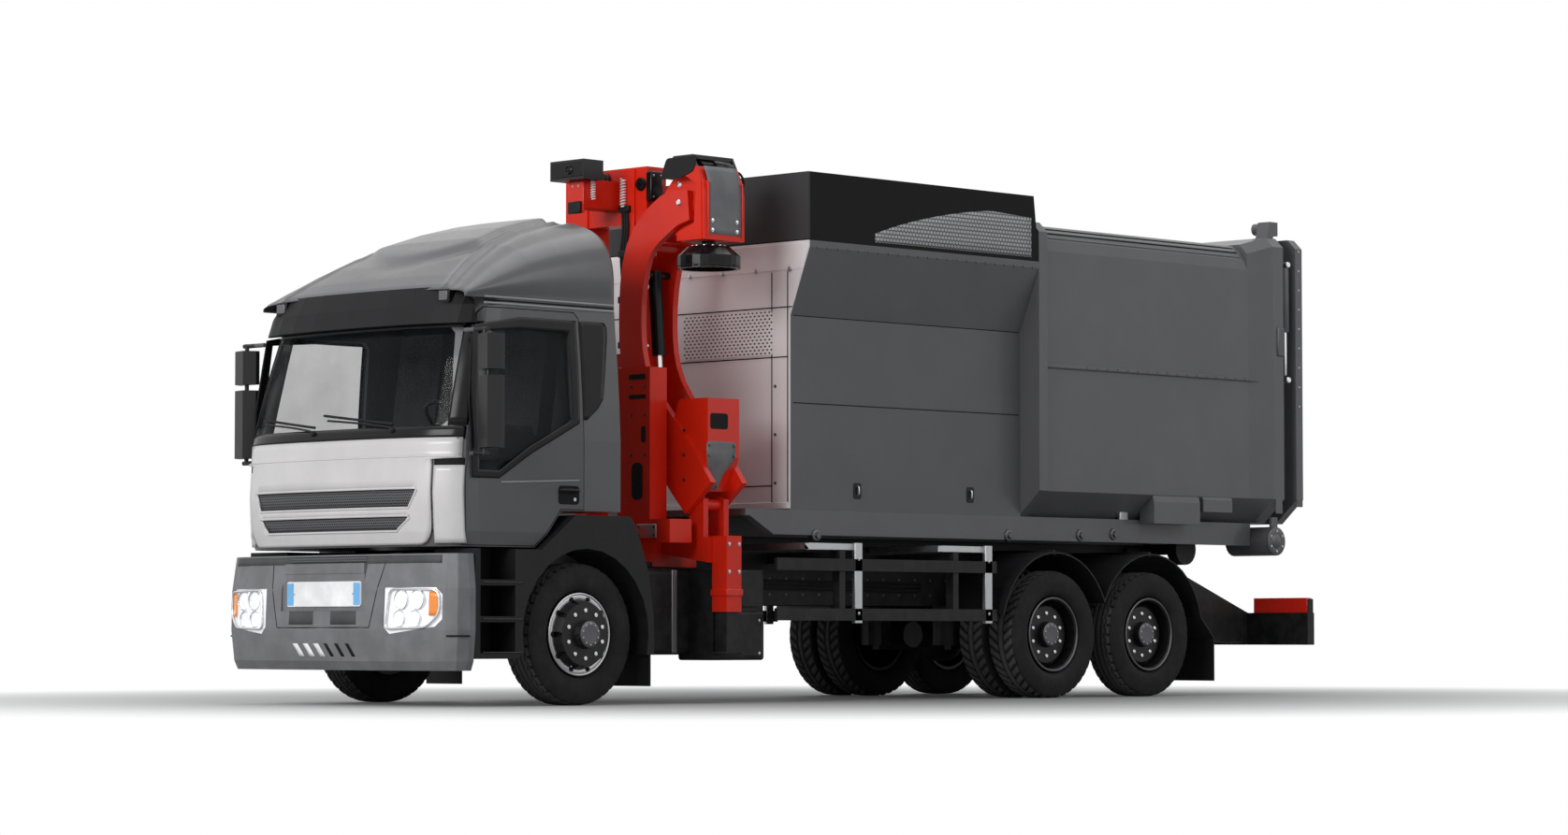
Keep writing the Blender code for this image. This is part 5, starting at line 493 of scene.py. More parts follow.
def plate(name, axis, corners, low, high, finish_name, body, radius=0.0, edge=0.003):
    """A flat plate with an outline, rounded corners and eased edges."""
    outline = rounded_line(corners, radius) if radius else np.asarray(corners, dtype=float)
    count = len(outline)
    points = np.concatenate([raised(axis, outline, low), raised(axis, outline, high)])
    k = np.arange(count)
    sides = np.stack([k, (k + 1) % count, (k + 1) % count + count, k + count], axis=1)
    faces = sides.tolist() + [k[::-1].tolist(), (k + count).tolist()]
    piece = mesh_piece(name, points, faces, finish_name, body, 35.0)
    return bevelled(piece, edge) if edge else piece


def boxes(name, places, finish_name, body, edge=0.004):
    """Boxes with eased edges, as one piece, from their low and high corners."""
    places = np.asarray(places, dtype=float).reshape(-1, 2, 3)
    pick = np.array([[0, 0, 0], [1, 0, 0], [1, 1, 0], [0, 1, 0],
                     [0, 0, 1], [1, 0, 1], [1, 1, 1], [0, 1, 1]])
    points = places[:, pick, np.arange(3)]
    sides = np.array([[0, 3, 2, 1], [4, 5, 6, 7], [0, 1, 5, 4], [1, 2, 6, 5], [2, 3, 7, 6],
                      [3, 0, 4, 7]])
    faces = (np.arange(len(places))[:, None, None] * 8 + sides).reshape(-1, 4)
    return bevelled(mesh_piece(name, points, faces, finish_name, body), edge)


def frame_about(axis):
    """Two directions square to an axis, as columns with the axis itself."""
    axis = np.asarray(axis, dtype=float) / np.linalg.norm(axis)
    helper = np.array([0.0, 0.0, 1.0]) if abs(axis[2]) < 0.9 else np.array([1.0, 0.0, 0.0])
    first = np.cross(helper, axis)
    first /= np.linalg.norm(first)
    return first, np.cross(axis, first), axis


def spun(name, centre, axis, profile, finish_name, body, steps=40, smooth=40.0):
    """A profile of (along, radius) turned round an axis: p = c + s a + r (cos t u + sin t v)."""
    first, second, axis = frame_about(axis)
    profile = np.asarray(profile, dtype=float)
    turn = np.linspace(0, TAU, steps, endpoint=False)
    ring = np.cos(turn)[:, None] * first + np.sin(turn)[:, None] * second
    points = (np.asarray(centre) + profile[:, None, :1] * axis
              + profile[:, None, 1:] * ring[None, :, :])
    return mesh_piece(name, points, grid_faces(len(profile), steps, False, True), finish_name,
                      body, smooth)


def studs(name, places, axis, radius, height, finish_name, body, sides=6):
    """Bolt heads: a flange, a prism and a small crown, repeated at many places."""
    first, second, axis = frame_about(axis)
    profile = np.array([[0, 1.35], [0.25, 1.35], [0.25, 1.0], [0.9, 1.0], [1.0, 0.8], [1.0, 0.0]])
    turn = np.linspace(0, TAU, sides, endpoint=False)
    ring = np.cos(turn)[:, None] * first + np.sin(turn)[:, None] * second
    head = (profile[:, None, :1] * height * axis + profile[:, None, 1:] * radius * ring)
    places = np.asarray(places, dtype=float).reshape(-1, 3)
    points = places[:, None, None, :] + head[None]
    count = len(profile) * sides
    faces = (np.arange(len(places))[:, None, None] * count
             + grid_faces(len(profile), sides, False, True)[None]).reshape(-1, 4)
    return mesh_piece(name, points, faces, finish_name, body, 30.0)


def smooth_path(points, steps=8):
    """A Catmull-Rom curve through points."""
    p = np.asarray(points, dtype=float)
    p = np.concatenate([2 * p[:1] - p[1:2], p, 2 * p[-1:] - p[-2:-1]])
    t = np.linspace(0, 1, steps, endpoint=False)[None, :, None]
    a, b, c, d = p[:-3, None], p[1:-2, None], p[2:-1, None], p[3:, None]
    curve = 0.5 * (2 * b + (c - a) * t + (2 * a - 5 * b + 4 * c - d) * t * t
                   + (3 * b - a - 3 * c + d) * t ** 3)
    return np.concatenate([curve.reshape(-1, p.shape[1]), p[-2:-1]])


def pipe(name, points, radius, finish_name, body, sides=10, smooth=True):
    """A round tube carried along a path, its ends closed."""
    path = smooth_path(points) if smooth else np.asarray(points, dtype=float)
    ahead = np.gradient(path, axis=0)
    ahead /= np.linalg.norm(ahead, axis=1)[:, None]
    helper = np.array([0.31, 0.53, 0.79])
    first = np.cross(ahead, helper)
    first /= np.linalg.norm(first, axis=1)[:, None]
    second = np.cross(ahead, first)
    turn = np.linspace(0, TAU, sides, endpoint=False)
    ring = (np.cos(turn)[None, :, None] * first[:, None]
            + np.sin(turn)[None, :, None] * second[:, None])
    ends = [np.repeat(path[k][None, None], sides, 1) for k in (0, -1)]
    points = np.concatenate([ends[0], path[:, None] + radius * ring, ends[1]])
    return mesh_piece(name, points, grid_faces(len(path) + 2, sides, False, True), finish_name,
                      body, 50.0)


def coil(name, low, high, radius, turns, wire, finish_name, body):
    """A spring: a wire on a helix, p = c + s a + r (cos kt u + sin kt v)."""
    low, high = np.asarray(low, dtype=float), np.asarray(high, dtype=float)
    first, second, _ = frame_about(high - low)
    t = np.linspace(0, 1, turns * 12 + 1)[:, None]
    helix = (low + (high - low) * t
             + radius * (np.cos(TAU * turns * t) * first + np.sin(TAU * turns * t) * second))
    return pipe(name, helix, wire, finish_name, body, 6, False)


# The cab's and the bumper's own curves: half widths, fronts, corners and powers in metres from
# the front axle, and their levels as (height, setback, narrowing)

CAB_HALF, CAB_FRONT, CAB_CORNER, CAB_POWER = 1.17, -1.33, 0.36, 0.77
BUMPER_HALF, BUMPER_FRONT, BUMPER_BACK, BUMPER_POWER = 1.25, -1.385, -1.11, 0.72
ROOF_HALF, ROOF_FRONT, ROOF_LENGTH, ROOF_FOOT, ROOF_RISE = 1.0975, -1.0375, 1.4075, 2.82, 0.64
CAB_LEVELS = np.array([(1.100, 0.035, 0.010), (1.203, 0.012, 0.0), (1.478, 0.0, 0.0),
                       (1.857, 0.022, 0.0), (2.132, 0.075, 0.012), (2.407, 0.140, 0.030),
                       (2.648, 0.205, 0.050), (2.820, 0.250, 0.062)])
BUMPER_LEVELS = np.array([(0.25, 0.055, 0.035), (0.314, 0.022, 0.015), (0.53, 0.0, 0.0),
                          (0.81, 0.010, 0.0), (1.05, 0.055, 0.020)])
ROOF_LEVELS = np.array([(0, 0.10), (0.10, 0.26), (0.25, 0.46), (0.45, 0.68), (0.65, 0.83),
                        (0.85, 0.94), (1, 1)])


def ring_skin(turn, z, out, levels, half, front, depth, power, fixed_corner=None):
    """A rounded front: x = h sin(u)^p, y = c - d cos(u)^p, pushed out along its normal."""
    turn, z = np.broadcast_arrays(np.radians(turn), np.asarray(z, dtype=float))
    setback = np.interp(z, levels[:, 0], levels[:, 1])
    wide = half * (1 - np.interp(z, levels[:, 0], levels[:, 2]))
    nose = front + half * setback
    corner = nose + depth if fixed_corner is None else np.full_like(nose, fixed_corner)
    deep = corner - nose
    side = np.sign(turn)
    across, along = np.abs(np.sin(turn)) ** power, np.abs(np.cos(turn)) ** power
    steep = 2 / power - 1
    normal_x, normal_y = across ** steep / wide, along ** steep / deep
    length = np.hypot(normal_x, normal_y)
    return np.stack([side * (wide * across + out * normal_x / length),
                     corner - deep * along - out * normal_y / length, z], axis=-1)


def cab_skin(turn, z, out):
    """A place on the cab's front: 0 degrees ahead, 90 at the side."""
    return ring_skin(turn, z, out, CAB_LEVELS, CAB_HALF, CAB_FRONT, CAB_CORNER, CAB_POWER)


def bumper_skin(turn, z, out):
    """A place on the bumper, by the same angles."""
    return ring_skin(turn, z, out, BUMPER_LEVELS, BUMPER_HALF, BUMPER_FRONT, 0.0, BUMPER_POWER,
                     BUMPER_BACK)


def cab_turn(x):
    """The angle at which the cab's front is x from the middle."""
    share = np.minimum(1, np.abs(x) / CAB_HALF)
    return np.degrees(np.arcsin(share ** (1 / CAB_POWER))) * np.sign(x)


def bumper_turn(x):
    """The angle at which the bumper is x from the middle."""
    share = np.minimum(1, np.abs(x) / BUMPER_HALF)
    return np.degrees(np.arcsin(share ** (1 / BUMPER_POWER))) * np.sign(x)


def cab_side(y, z, out, side):
    """A place on the cab's flat side, which leans in above the sill."""
    half = CAB_HALF * (1 - np.interp(z, CAB_LEVELS[:, 0], CAB_LEVELS[:, 2]))
    return np.stack([side * (half + out), np.asarray(y, dtype=float), np.asarray(z, dtype=float)],
                    axis=-1)


def between(first, second, count):
    """A grid that runs from one line of points to another."""
    share = np.linspace(0, 1, count)[:, None, None]
    return np.asarray(first) * (1 - share) + np.asarray(second) * share


def band_on(name, skin, turns, lows, highs, out, wall, finish_name, body, rows=6):
    """A walled band on a curved front, between a lower and an upper line."""
    turns = np.asarray(turns, dtype=float)
    share = np.linspace(0, 1, rows)[:, None]
    heights = np.asarray(lows) * (1 - share) + np.asarray(highs) * share
    return sheet_on(name, skin(turns[None, :], heights, out), wall, finish_name, body)


def both(sides, maker):
    """Runs a maker for the left side and for the right."""
    return [maker(side, name) for side, name in SIDES if name in sides]


EITHER = ("left", "right")


def slot_end(z):
    """Half the width of the grille slots at a height."""
    return np.interp(z, [1.205, 1.312, 1.365, 1.50], [0.70, 0.80, 0.80, 0.86])


def panel_edge(z):
    """Half the width of the front panel at a height; its lower corners are rounded."""
    drop = np.clip((1.24 - z) / 0.13, 0, 1)
    wide = np.where(z > 1.70, 1.135, 0.968)
    return wide - 0.10 * (1 - np.sqrt(1 - np.minimum(drop, 0.999) ** 2))


class TRUCK_OT_front_panel(bpy.types.Operator):
    """Lays the panel over the cab's front, with its two mesh slots; its paint is the cab's paint
    made pale, as painted light from the front
    """
    bl_idname = "truck.front_panel"
    bl_label = "Front panel"

    def execute(self, context):
        heights = np.array([1.112, 1.13, 1.15, 1.175, 1.195, 1.205, 1.25, 1.312, 1.365, 1.43,
                            1.50, 1.56, 1.62, 1.66, 1.695, 1.705, 1.713, 1.727, 1.75, 1.80, 1.845])
        column = np.concatenate([np.linspace(-1, -0.75, 7), np.linspace(-0.75, 0.75, 41)[1:-1],
                                 np.linspace(0.75, 1, 7)])
        z, c = np.meshgrid(heights, column, indexing="ij")
        ends, edges = slot_end(z), panel_edge(z)
        inner = np.abs(c) <= 0.7501
        x = np.where(inner, c / 0.75 * ends,
                     np.sign(c) * (ends + (np.abs(c) - 0.75) / 0.25 * (edges - ends)))
        out = np.where(z > 1.72, 0.008, 0.018)
        points = cab_skin(cab_turn(x), z, out)
        faces = grid_faces(*z.shape)
        middle = points.reshape(-1, 3)[faces].mean(axis=1)
        level = middle[:, 2]
        open_here = (((level > 1.205) & (level < 1.312)) | ((level > 1.365) & (level < 1.50)))
        open_here &= np.abs(column[faces % len(column)].mean(axis=1)) < 0.75
        walled(mesh_piece("front_panel", points, faces[~open_here], "lit_cab_front_paint", "cab"), 0.014)
        turns = np.linspace(-66, 66, 45)
        for name, low, high in (("slot_mesh_lower", 1.19, 1.33), ("slot_mesh_upper", 1.35, 1.52)):
            band_on(name, cab_skin, turns, low, high, 0.0035, 0.002, "grille_mesh", "cab", 3)
        for name, low, high in (("slot_rim_lower", 1.205, 1.312), ("slot_rim_upper", 1.365, 1.50)):
            wide_low, wide_high = slot_end(low), slot_end(high)
            run = np.linspace(-1, 1, 31)
            x = np.concatenate([run * wide_low, [wide_low + 0.008, wide_high + 0.008],
                                run[::-1] * wide_high, [-wide_high - 0.008, -wide_low - 0.008]])
            z = np.concatenate([np.full(31, low), [low + 0.015, high - 0.015], np.full(31, high),
                                [high - 0.015, low + 0.015]])
            ring = np.append(np.arange(len(x)), 0)
            pipe(name, cab_skin(cab_turn(x[ring]), z[ring], 0.017), 0.009, "lit_cab_front_paint", "cab", 8,
                 False)
        for side in (-1, 1):
            band_on("glass_edge_%d" % (side + 1), cab_skin, side * np.linspace(60, 77, 9), 1.93,
                    2.655, 0.004, 0.003, "gloss_black", "cab", 12)
        band_on("glass_head", cab_skin, np.linspace(-60, 60, 41), 2.615, 2.66, 0.004, 0.003,
                "gloss_black", "cab", 3)
        band_on("cowl", cab_skin, np.linspace(-76, 76, 49), 1.835, 1.925, 0.006, 0.005,
                "gloss_black", "cab", 4)
        steps = np.linspace(-68, 68, 41)
        pipe("panel_crease", cab_skin(steps, 1.716 + 0 * steps, 0.017), 0.006, "lit_cab_front_paint",
             "cab", 8, False)
        return {"FINISHED"}


class TRUCK_OT_corners(bpy.types.Operator):
    """Adds the air deflectors that wrap the cab's front corners"""
    bl_idname = "truck.corners"
    bl_label = "Corner deflectors"

    def execute(self, context):
        def corner(side, name):
            z, turn = np.meshgrid(np.linspace(1.122, 1.655, 15),
                                  np.linspace(cab_turn(0.980), 77.0, 12), indexing="ij")
            flare = 0.012 * np.clip((1.22 - z) / 0.10, 0, 1) ** 2
            points = cab_skin(turn, z, 0.006 + flare)
            points[..., 0] *= side
            # The deflectors wear the pale copy of the cab paint, as painted light from the front.
            sheet_on("corner_deflector_" + name, points, 0.012, "lit_cab_front_paint", "cab")
            # The vent is a matt black sheet, painted shade for the air inlet's opening.
            vent = cab_skin(turn[:4], np.linspace(1.652, 1.702, 4)[:, None] + 0 * turn[:4], 0.003)
            vent[..., 0] *= side
            sheet_on("corner_shade_vent_" + name, vent, 0.003, "matt_black", "cab")
        both(EITHER, corner)
        return {"FINISHED"}


class TRUCK_OT_wipers(bpy.types.Operator):
    """Adds the two wipers, each with its arm, blade and boss"""
    bl_idname = "truck.wipers"
    bl_label = "Wipers"

    def execute(self, context):
        for index, (pivot, tip) in enumerate(((0.62, -0.08), (-0.20, -0.86))):
            x = np.array([pivot, pivot - 0.05, (pivot + tip) / 2, tip])
            z = np.array([1.905, 1.925, 1.962, 1.992])
            arm = cab_skin(cab_turn(x), z, np.array([0.012, 0.006, 0.0, -0.004]))
            pipe("wiper_arm_%d" % index, arm, 0.0075, "black_plastic", "cab", 8)
            run = np.linspace(pivot - 0.02, tip - 0.06, 13)
            rise = np.linspace(1.948, 2.03, 13)
            pipe("wiper_blade_%d" % index, cab_skin(cab_turn(run), rise, -0.012), 0.009,
                 "hose_rubber", "cab", 6)
            boss = cab_skin(cab_turn(pivot), 1.905, 0.0)
            spun("wiper_boss_%d" % index, boss, (0, -1, 0),
                 [(0, 0), (0, 0.022), (0.02, 0.02), (0.028, 0.012), (0.028, 0)], "black_plastic",
                 "cab", 20)
        return {"FINISHED"}


class TRUCK_OT_roof(bpy.types.Operator):
    """Adds the roof's ridges, its raised middle and the rail above the doors"""
    bl_idname = "truck.roof"
    bl_label = "Roof"

    def execute(self, context):
        # The roof's section is |x|^3.636 + |z|^3.636 = 1, and ridges and hump stand out from it
        share = np.linspace(0.0, 1.0, 90)[:, None]
        top = np.linspace(0, 0.86, 60)
        low = np.linspace((1 - 0.86 ** 3.636) ** 0.275, 0.0, 26)[1:]
        across = np.concatenate([top, (1 - low ** 3.636) ** 0.275])
        up = np.concatenate([(1 - top ** 3.636) ** 0.275, low])
        across = np.concatenate([-across[::-1], across[1:]])[None, :]
        up = np.concatenate([up[::-1], up[1:]])[None, :]
        width = np.abs(across) * ROOF_HALF
        crest = np.interp(share, [0, 0.217, 0.61, 1], [0.865, 0.73, 0.56, 0.47])
        ridge = 0.013 * np.exp(-((width - crest) / 0.030) ** 2)
        groove = 0.014 * np.exp(-((width - crest - 0.095) / 0.045) ** 2)
        inward = (crest - 0.085 - width) / 0.035
        onward = (share - 0.27 - 0.10 * (width / 0.45) ** 2) / 0.035
        hump = 0.034 / (1 + np.exp(-2.2 * np.minimum(inward, onward)))
        channel = 0.009 * np.exp(-(np.minimum(inward, onward) / 1.6 + 1.0) ** 2)
        out = 0.0165 + ridge + hump - groove - channel
        ends = np.clip(np.minimum(share, 1 - share) / 0.02, 0.2, 1)
        out = out * ends * np.clip(up / 0.3, 0.25, 1)
        height = ROOF_RISE * np.interp(share, ROOF_LEVELS[:, 0], ROOF_LEVELS[:, 1])
        points = np.stack(np.broadcast_arrays((ROOF_HALF + out) * across,
                                              ROOF_FRONT + ROOF_LENGTH * share,
                                              ROOF_FOOT + (height + out) * up), axis=-1)
        sheet_on("roof_skin", points, 0.003, "cab_paint", "cab", 60.0)

        def rails(side, name):
            # The two rails are drawn in a painted highlight, and the gap between them as a matt
            # black line of painted shade.
            for index, level in enumerate((2.828, 2.785)):
                y = np.linspace(-0.86, 0.36, 9)
                line = cab_side(y, level + 0 * y, 0.004, side)
                pipe("drip_highlight_rail_%s_%d" % (name, index), line, 0.008, "highlight_paint", "cab", 8, False)
            y = np.linspace(-0.86, 0.36, 9)
            pipe("drip_shade_gap_" + name, cab_side(y, 2.806 + 0 * y, 0.0005, side), 0.006,
                 "matt_black", "cab", 8, False)
        both(EITHER, rails)
        return {"FINISHED"}


class TRUCK_OT_visor(bpy.types.Operator):
    """Adds the marker lamps of the sun visor and their frames"""
    bl_idname = "truck.visor"
    bl_label = "Sun visor"

    def execute(self, context):
        for index, x in enumerate((-0.885, 0.885)):
            plate("visor_lamp_%d" % index, "Y", [(x - 0.045, 2.80), (x + 0.045, 2.80),
                                                 (x + 0.045, 2.865), (x - 0.045, 2.865)],
                  -1.050, -0.99, "lamp_dark", "cab", 0.012, 0.004)
            plate("visor_lamp_frame_%d" % index, "Y",
                  [(x - 0.058, 2.787), (x + 0.058, 2.787), (x + 0.058, 2.878),
                   (x - 0.058, 2.878)], -1.042, -0.985, "gloss_black", "cab", 0.014)
        return {"FINISHED"}


class TRUCK_OT_cab_sides(bpy.types.Operator):
    """Adds the dark glazing bands, the handles, creases and mirrors' trim"""
    bl_idname = "truck.cab_sides"
    bl_label = "Cab sides"

    def execute(self, context):
        outer = np.array([(-0.99, 2.62), (-1.055, 2.10), (-1.03, 1.57), (-0.78, 1.57),
                          (-0.50, 1.74), (-0.02, 1.975), (-0.012, 2.30), (-0.012, 2.70),
                          (-0.55, 2.70)])
        inner = np.array([(-0.93, 2.585), (-0.965, 2.10), (-0.965, 1.625), (-0.78, 1.625),
                          (-0.50, 1.80), (-0.09, 2.00), (-0.09, 2.30), (-0.09, 2.615),
                          (-0.55, 2.615)])

        ring = np.append(np.arange(len(outer)), 0)
        step = np.linspace(0, len(outer), 12 * len(outer) + 1)
        outer, inner = (np.stack([np.interp(step, np.arange(len(ring)), line[ring, k])
                                  for k in (0, 1)], axis=1) for line in (outer, inner))
        z = np.linspace(2.00, 2.70, 24)
        back = np.interp(z, [2.00, 2.09, 2.16, 2.60, 2.67, 2.70],
                         [0.05, 0.165, 0.215, 0.285, 0.285, 0.26])

        def side_trim(side, name):
            door = "door_" + name
            grid = between(outer, inner, 5)
            sheet_on("glazing_band_" + name, cab_side(grid[..., 0], grid[..., 1], 0.0035, side),
                     0.003, "gloss_black", door)
            y = between(0 * back[:, None] + 0.018, back[:, None], 7)[..., 0]
            sheet_on("quarter_panel_" + name, cab_side(y, z[None, :] + 0 * y, 0.0035, side), 0.003,
                     "gloss_black", "cab")
            # The crease is a raised line in a painted highlight.
            y = np.linspace(-0.76, -0.03, 9)
            pipe("door_highlight_crease_" + name,
                 cab_side(y, np.linspace(1.545, 1.575, 9), 0.001, side), 0.006, "highlight_paint", door,
                 8, False)
            cup = [(-0.225, 1.405), (-0.03, 1.405), (-0.03, 1.535), (-0.225, 1.535)]
            skin = side * 1.171
            plate("handle_cup_" + name, "X", cup, skin - side * 0.004, skin + side * 0.004,
                  "matt_black", door, 0.03, 0.002)
            bar = np.array([(skin, -0.215, 1.50), (skin + side * 0.016, -0.20, 1.502),
                            (skin + side * 0.018, -0.12, 1.503),
                            (skin + side * 0.016, -0.055, 1.502), (skin, -0.04, 1.50)])
            pipe("handle_" + name, bar, 0.012, "black_plastic", door, 10)
            spun("door_lock_" + name, (skin, -0.075, 1.44), (side, 0, 0),
                 [(0, 0), (0, 0.014), (0.008, 0.013), (0.008, 0)], "zinc", door, 20)
            x0, x1 = sorted((side * 1.237, side * 1.424))
            for index, (z0, z1) in enumerate(((2.32, 2.536), (1.786, 2.25))):
                plate("mirror_glass_%s_%d" % (name, index), "Y",
                      [(x0, z0), (x1, z0), (x1, z1), (x0, z1)], -0.971, -0.967,
                      "bright_metal", door, 0.03, 0.0)
        both(EITHER, side_trim)
        return {"FINISHED"}


class TRUCK_OT_steps(bpy.types.Operator):
    """Adds the teeth and the nosing of the entry steps"""
    bl_idname = "truck.steps"
    bl_label = "Steps"

    def execute(self, context):
        def side_steps(side, name):
            for index, level in enumerate((0.373, 0.602, 0.853)):
                y = np.linspace(-0.955, -0.62, 15)
                teeth = np.array([(side * 1.221, value, level) for value in y])
                studs("step_teeth_%s_%d" % (name, index), teeth, (0, 0, 1), 0.007, 0.004,
                      "dark_metal",
                      "chassis")
                edge = [(side * 1.2215, -0.97, level), (side * 1.2215, -0.60, level)]
                pipe("step_nose_%s_%d" % (name, index), edge, 0.006, "chassis_paint", "chassis", 8,
                     False)
        both(EITHER, side_steps)
        return {"FINISHED"}


def lamp_bowl(name, centre, radius, glass_name, body, axis=(0, -1, 0)):
    """A round lamp: a chrome bezel turned round its axis, and a crowned lens in it."""
    rim = np.array([(0, 1.16), (0.26, 1.16), (0.34, 1.08), (0.26, 1.0), (0.10, 0.97), (0, 0.97)])
    spun(name + "_bezel", centre, axis, rim * radius, "bright_metal", body, 32)
    t = np.linspace(0, 1, 7)
    lens = np.stack([0.10 + 0.14 * (1 - t ** 2), 0.97 * t], axis=1)[::-1]
    lens = np.concatenate([[(0.0, 0.97)], lens, [(0.24, 0.0)]])
    spun(name + "_glass", centre, axis, lens * radius, glass_name, body, 32)


class TRUCK_OT_bumper(bpy.types.Operator):
    """Adds the bumper's lamps, blank plate, seams and slots"""
    bl_idname = "truck.bumper"
    bl_label = "Bumper"

    def execute(self, context):
        turns = np.linspace(-60, 60, 41)
        # The shelf and the two recesses are dark grey sheets, painted shade for the shadow gap
        # under the shelf and in the recesses.
        band_on("bumper_shelf", bumper_skin, turns, 0.985, 1.04, 0.0005, 0.003, "shadow_grey",
                "chassis", 3)
        middle = np.linspace(bumper_turn(-0.42), bumper_turn(0.42), 21)
        band_on("shelf_mesh", bumper_skin, middle, 0.99, 1.038, 0.003, 0.003, "grille_mesh",
                "chassis", 3)
        floor = -1.355
        plate("plate_blank", "Y", [(-0.40, 0.69), (0.40, 0.69), (0.40, 0.865), (-0.40, 0.865)],
              floor - 0.012, floor + 0.004, "plate_white", "chassis", 0.02, 0.003)
        for side in (-1, 1):
            x0, x1 = sorted((side * 0.325, side * 0.396))
            plate("plate_end_%d" % (side + 1), "Y", [(x0, 0.70), (x1, 0.70), (x1, 0.855),
                                                     (x0, 0.855)],
                  floor - 0.0145, floor - 0.010, "plate_blue", "chassis", 0.01, 0.001)
        studs("plate_screws", [(x, floor - 0.012, 0.778) for x in (-0.32, 0.32)], (0, -1, 0),
              0.007, 0.004, "zinc", "chassis")
        lower = np.linspace(bumper_turn(-0.43), bumper_turn(0.43), 21)
        band_on("lower_recess", bumper_skin, lower, 0.565, 0.66, -0.001, 0.002, "shadow_grey",
                "chassis", 3)
        band_on("upper_recess", bumper_skin, lower, 0.90, 0.965, -0.001, 0.002, "shadow_grey",
                "chassis", 3)
        for side in (-1, 1):
            drop = np.linspace(1.0, 0.545, 9)
            seam = bumper_skin(bumper_turn(side * np.linspace(0.62, 0.50, 9)), drop, -0.004)
            pipe("bumper_seam_%d" % (side + 1), seam, 0.005, "matt_black", "chassis", 8, False)
        run = np.linspace(-0.50, 0.50, 15)
        pipe("bumper_seam_low", bumper_skin(bumper_turn(run), 0.545 + 0 * run, -0.004), 0.005,
             "matt_black", "chassis", 8, False)
        # The slots are sheets, not openings: the first three are white as painted light in them,
        # the others matt black as painted shade.
        for index in range(6):
            x0 = -0.30 + 0.115 * index
            wide = 0.055 if index < 3 else 0.035
            x, z = x0 + np.linspace(0, wide, 3)[None, :], np.linspace(0.345, 0.435, 4)[:, None]
            lean = (0.39 - z) * 0.75
            grid = bumper_skin(bumper_turn(x + lean), z + 0 * x, 0.0015)
            sheet_on("bumper_slot_%d" % index, grid, 0.002,
                     "plate_white" if index < 3 else "matt_black", "chassis")

        def corner(side, name):
            # The groove is a matt black line, painted shade in the groove.
            run = np.linspace(66, 90, 11)
            line = bumper_skin(run, 0.487 + 0 * run, 0.001)
            line[:, 0] *= side
            pipe("bumper_groove_" + name, line, 0.006, "matt_black", "chassis", 8, False)
            outline = np.array([(0.665, 0.535), (0.70, 0.81), (1.115, 0.80), (1.125, 0.64),
                                (1.03, 0.545)])
            ring = rounded_line(outline, 0.05)
            ring = ring[np.append(np.arange(len(ring)), 0)]
            bead = bumper_skin(bumper_turn(ring[:, 0]), ring[:, 1], 0.004)
            bead[:, 0] *= side
            pipe("headlamp_rim_" + name, bead, 0.009, "bright_metal", "chassis", 8, False)
            for index, (x, z, radius) in enumerate(((0.80, 0.735, 0.062), (0.945, 0.735, 0.062),
                                                    (0.785, 0.605, 0.052), (0.925, 0.605, 0.052))):
                place = bumper_skin(bumper_turn(x), z, -0.020)
                place[0] *= side
                lamp_bowl("headlamp_%s_%d" % (name, index), place, radius, "lamp_white",
                          "chassis")
            x, z = np.meshgrid(np.linspace(1.045, 1.115, 5), np.linspace(0.625, 0.79, 6))
            amber = bumper_skin(bumper_turn(x), z, 0.002)
            amber[..., 0] *= side
            sheet_on("turn_lamp_" + name, amber, 0.004, "amber_lens", "chassis")
        both(EITHER, corner)
        return {"FINISHED"}


# Wheels

def tyre_section():
    """The tyre's cross-section as places across and radii, bead to bead and back."""
    half = np.array([(0.095, 0.297), (0.122, 0.315), (0.137, 0.352), (0.140, 0.395),
                     (0.136, 0.440), (0.128, 0.475), (0.118, 0.490), (0.098, 0.4955),
                     (0.050, 0.4972), (0.0, 0.4975)])
    left = half[:-1] * (-1, 1)
    line = smooth_path(np.concatenate([left, half[::-1]]), 4)
    inside = np.stack([np.linspace(0.095, -0.095, 6)[1:-1], np.full(4, 0.2965)], axis=1)
    return np.concatenate([line, inside])


def tyre_grid(chevrons, blocks, depth):
    """A tyre as a grid round its axle: r = section radius - groove depth where grooves run."""
    section = tyre_section()
    around = 320
    turn = np.arange(around) / around
    across, radius = section[None, :, 0], section[None, :, 1]
    tread = np.clip((radius - 0.486) / 0.008, 0, 1)
    place = turn[:, None] * blocks
    if chevrons:
        wave = (place + 9.0 * np.abs(across)) % 1.0
        cut = (wave < 0.34) & (np.abs(across) > 0.022)
        cut |= np.abs(np.abs(across) - 0.024) < 0.006
    else:
        bend = 0.004 * np.sign((place % 1.0) - 0.5)
        cut = np.zeros_like(place + across, dtype=bool)
        for groove in (-0.072, -0.026, 0.026, 0.072):
            cut |= np.abs(across - groove - bend) < 0.007
        cut |= ((place % 1.0) < 0.16) & (np.abs(across) > 0.08)
    radius = radius - depth * cut * tread
    shoulder = (radius > 0.455) & (np.abs(across) > 0.12) & ((place % 1.0) < 0.30)
    radius = radius - 0.003 * shoulder
    rib = 0.0016 * (np.abs(section[:, 1] - 0.345) < 0.006)[None, :]
    across = across + np.sign(across) * rib * (np.abs(across) < 0.1385)
    across, radius = np.broadcast_arrays(across, radius)
    return turn, across, radius


TYRES = ((("front_tyre",), "front_wheel", False),
         (("drive_outer_tyre", "drive_inner_tyre"), "drive_wheel", True),
         (("tag_tyre",), "tag_wheel", False))


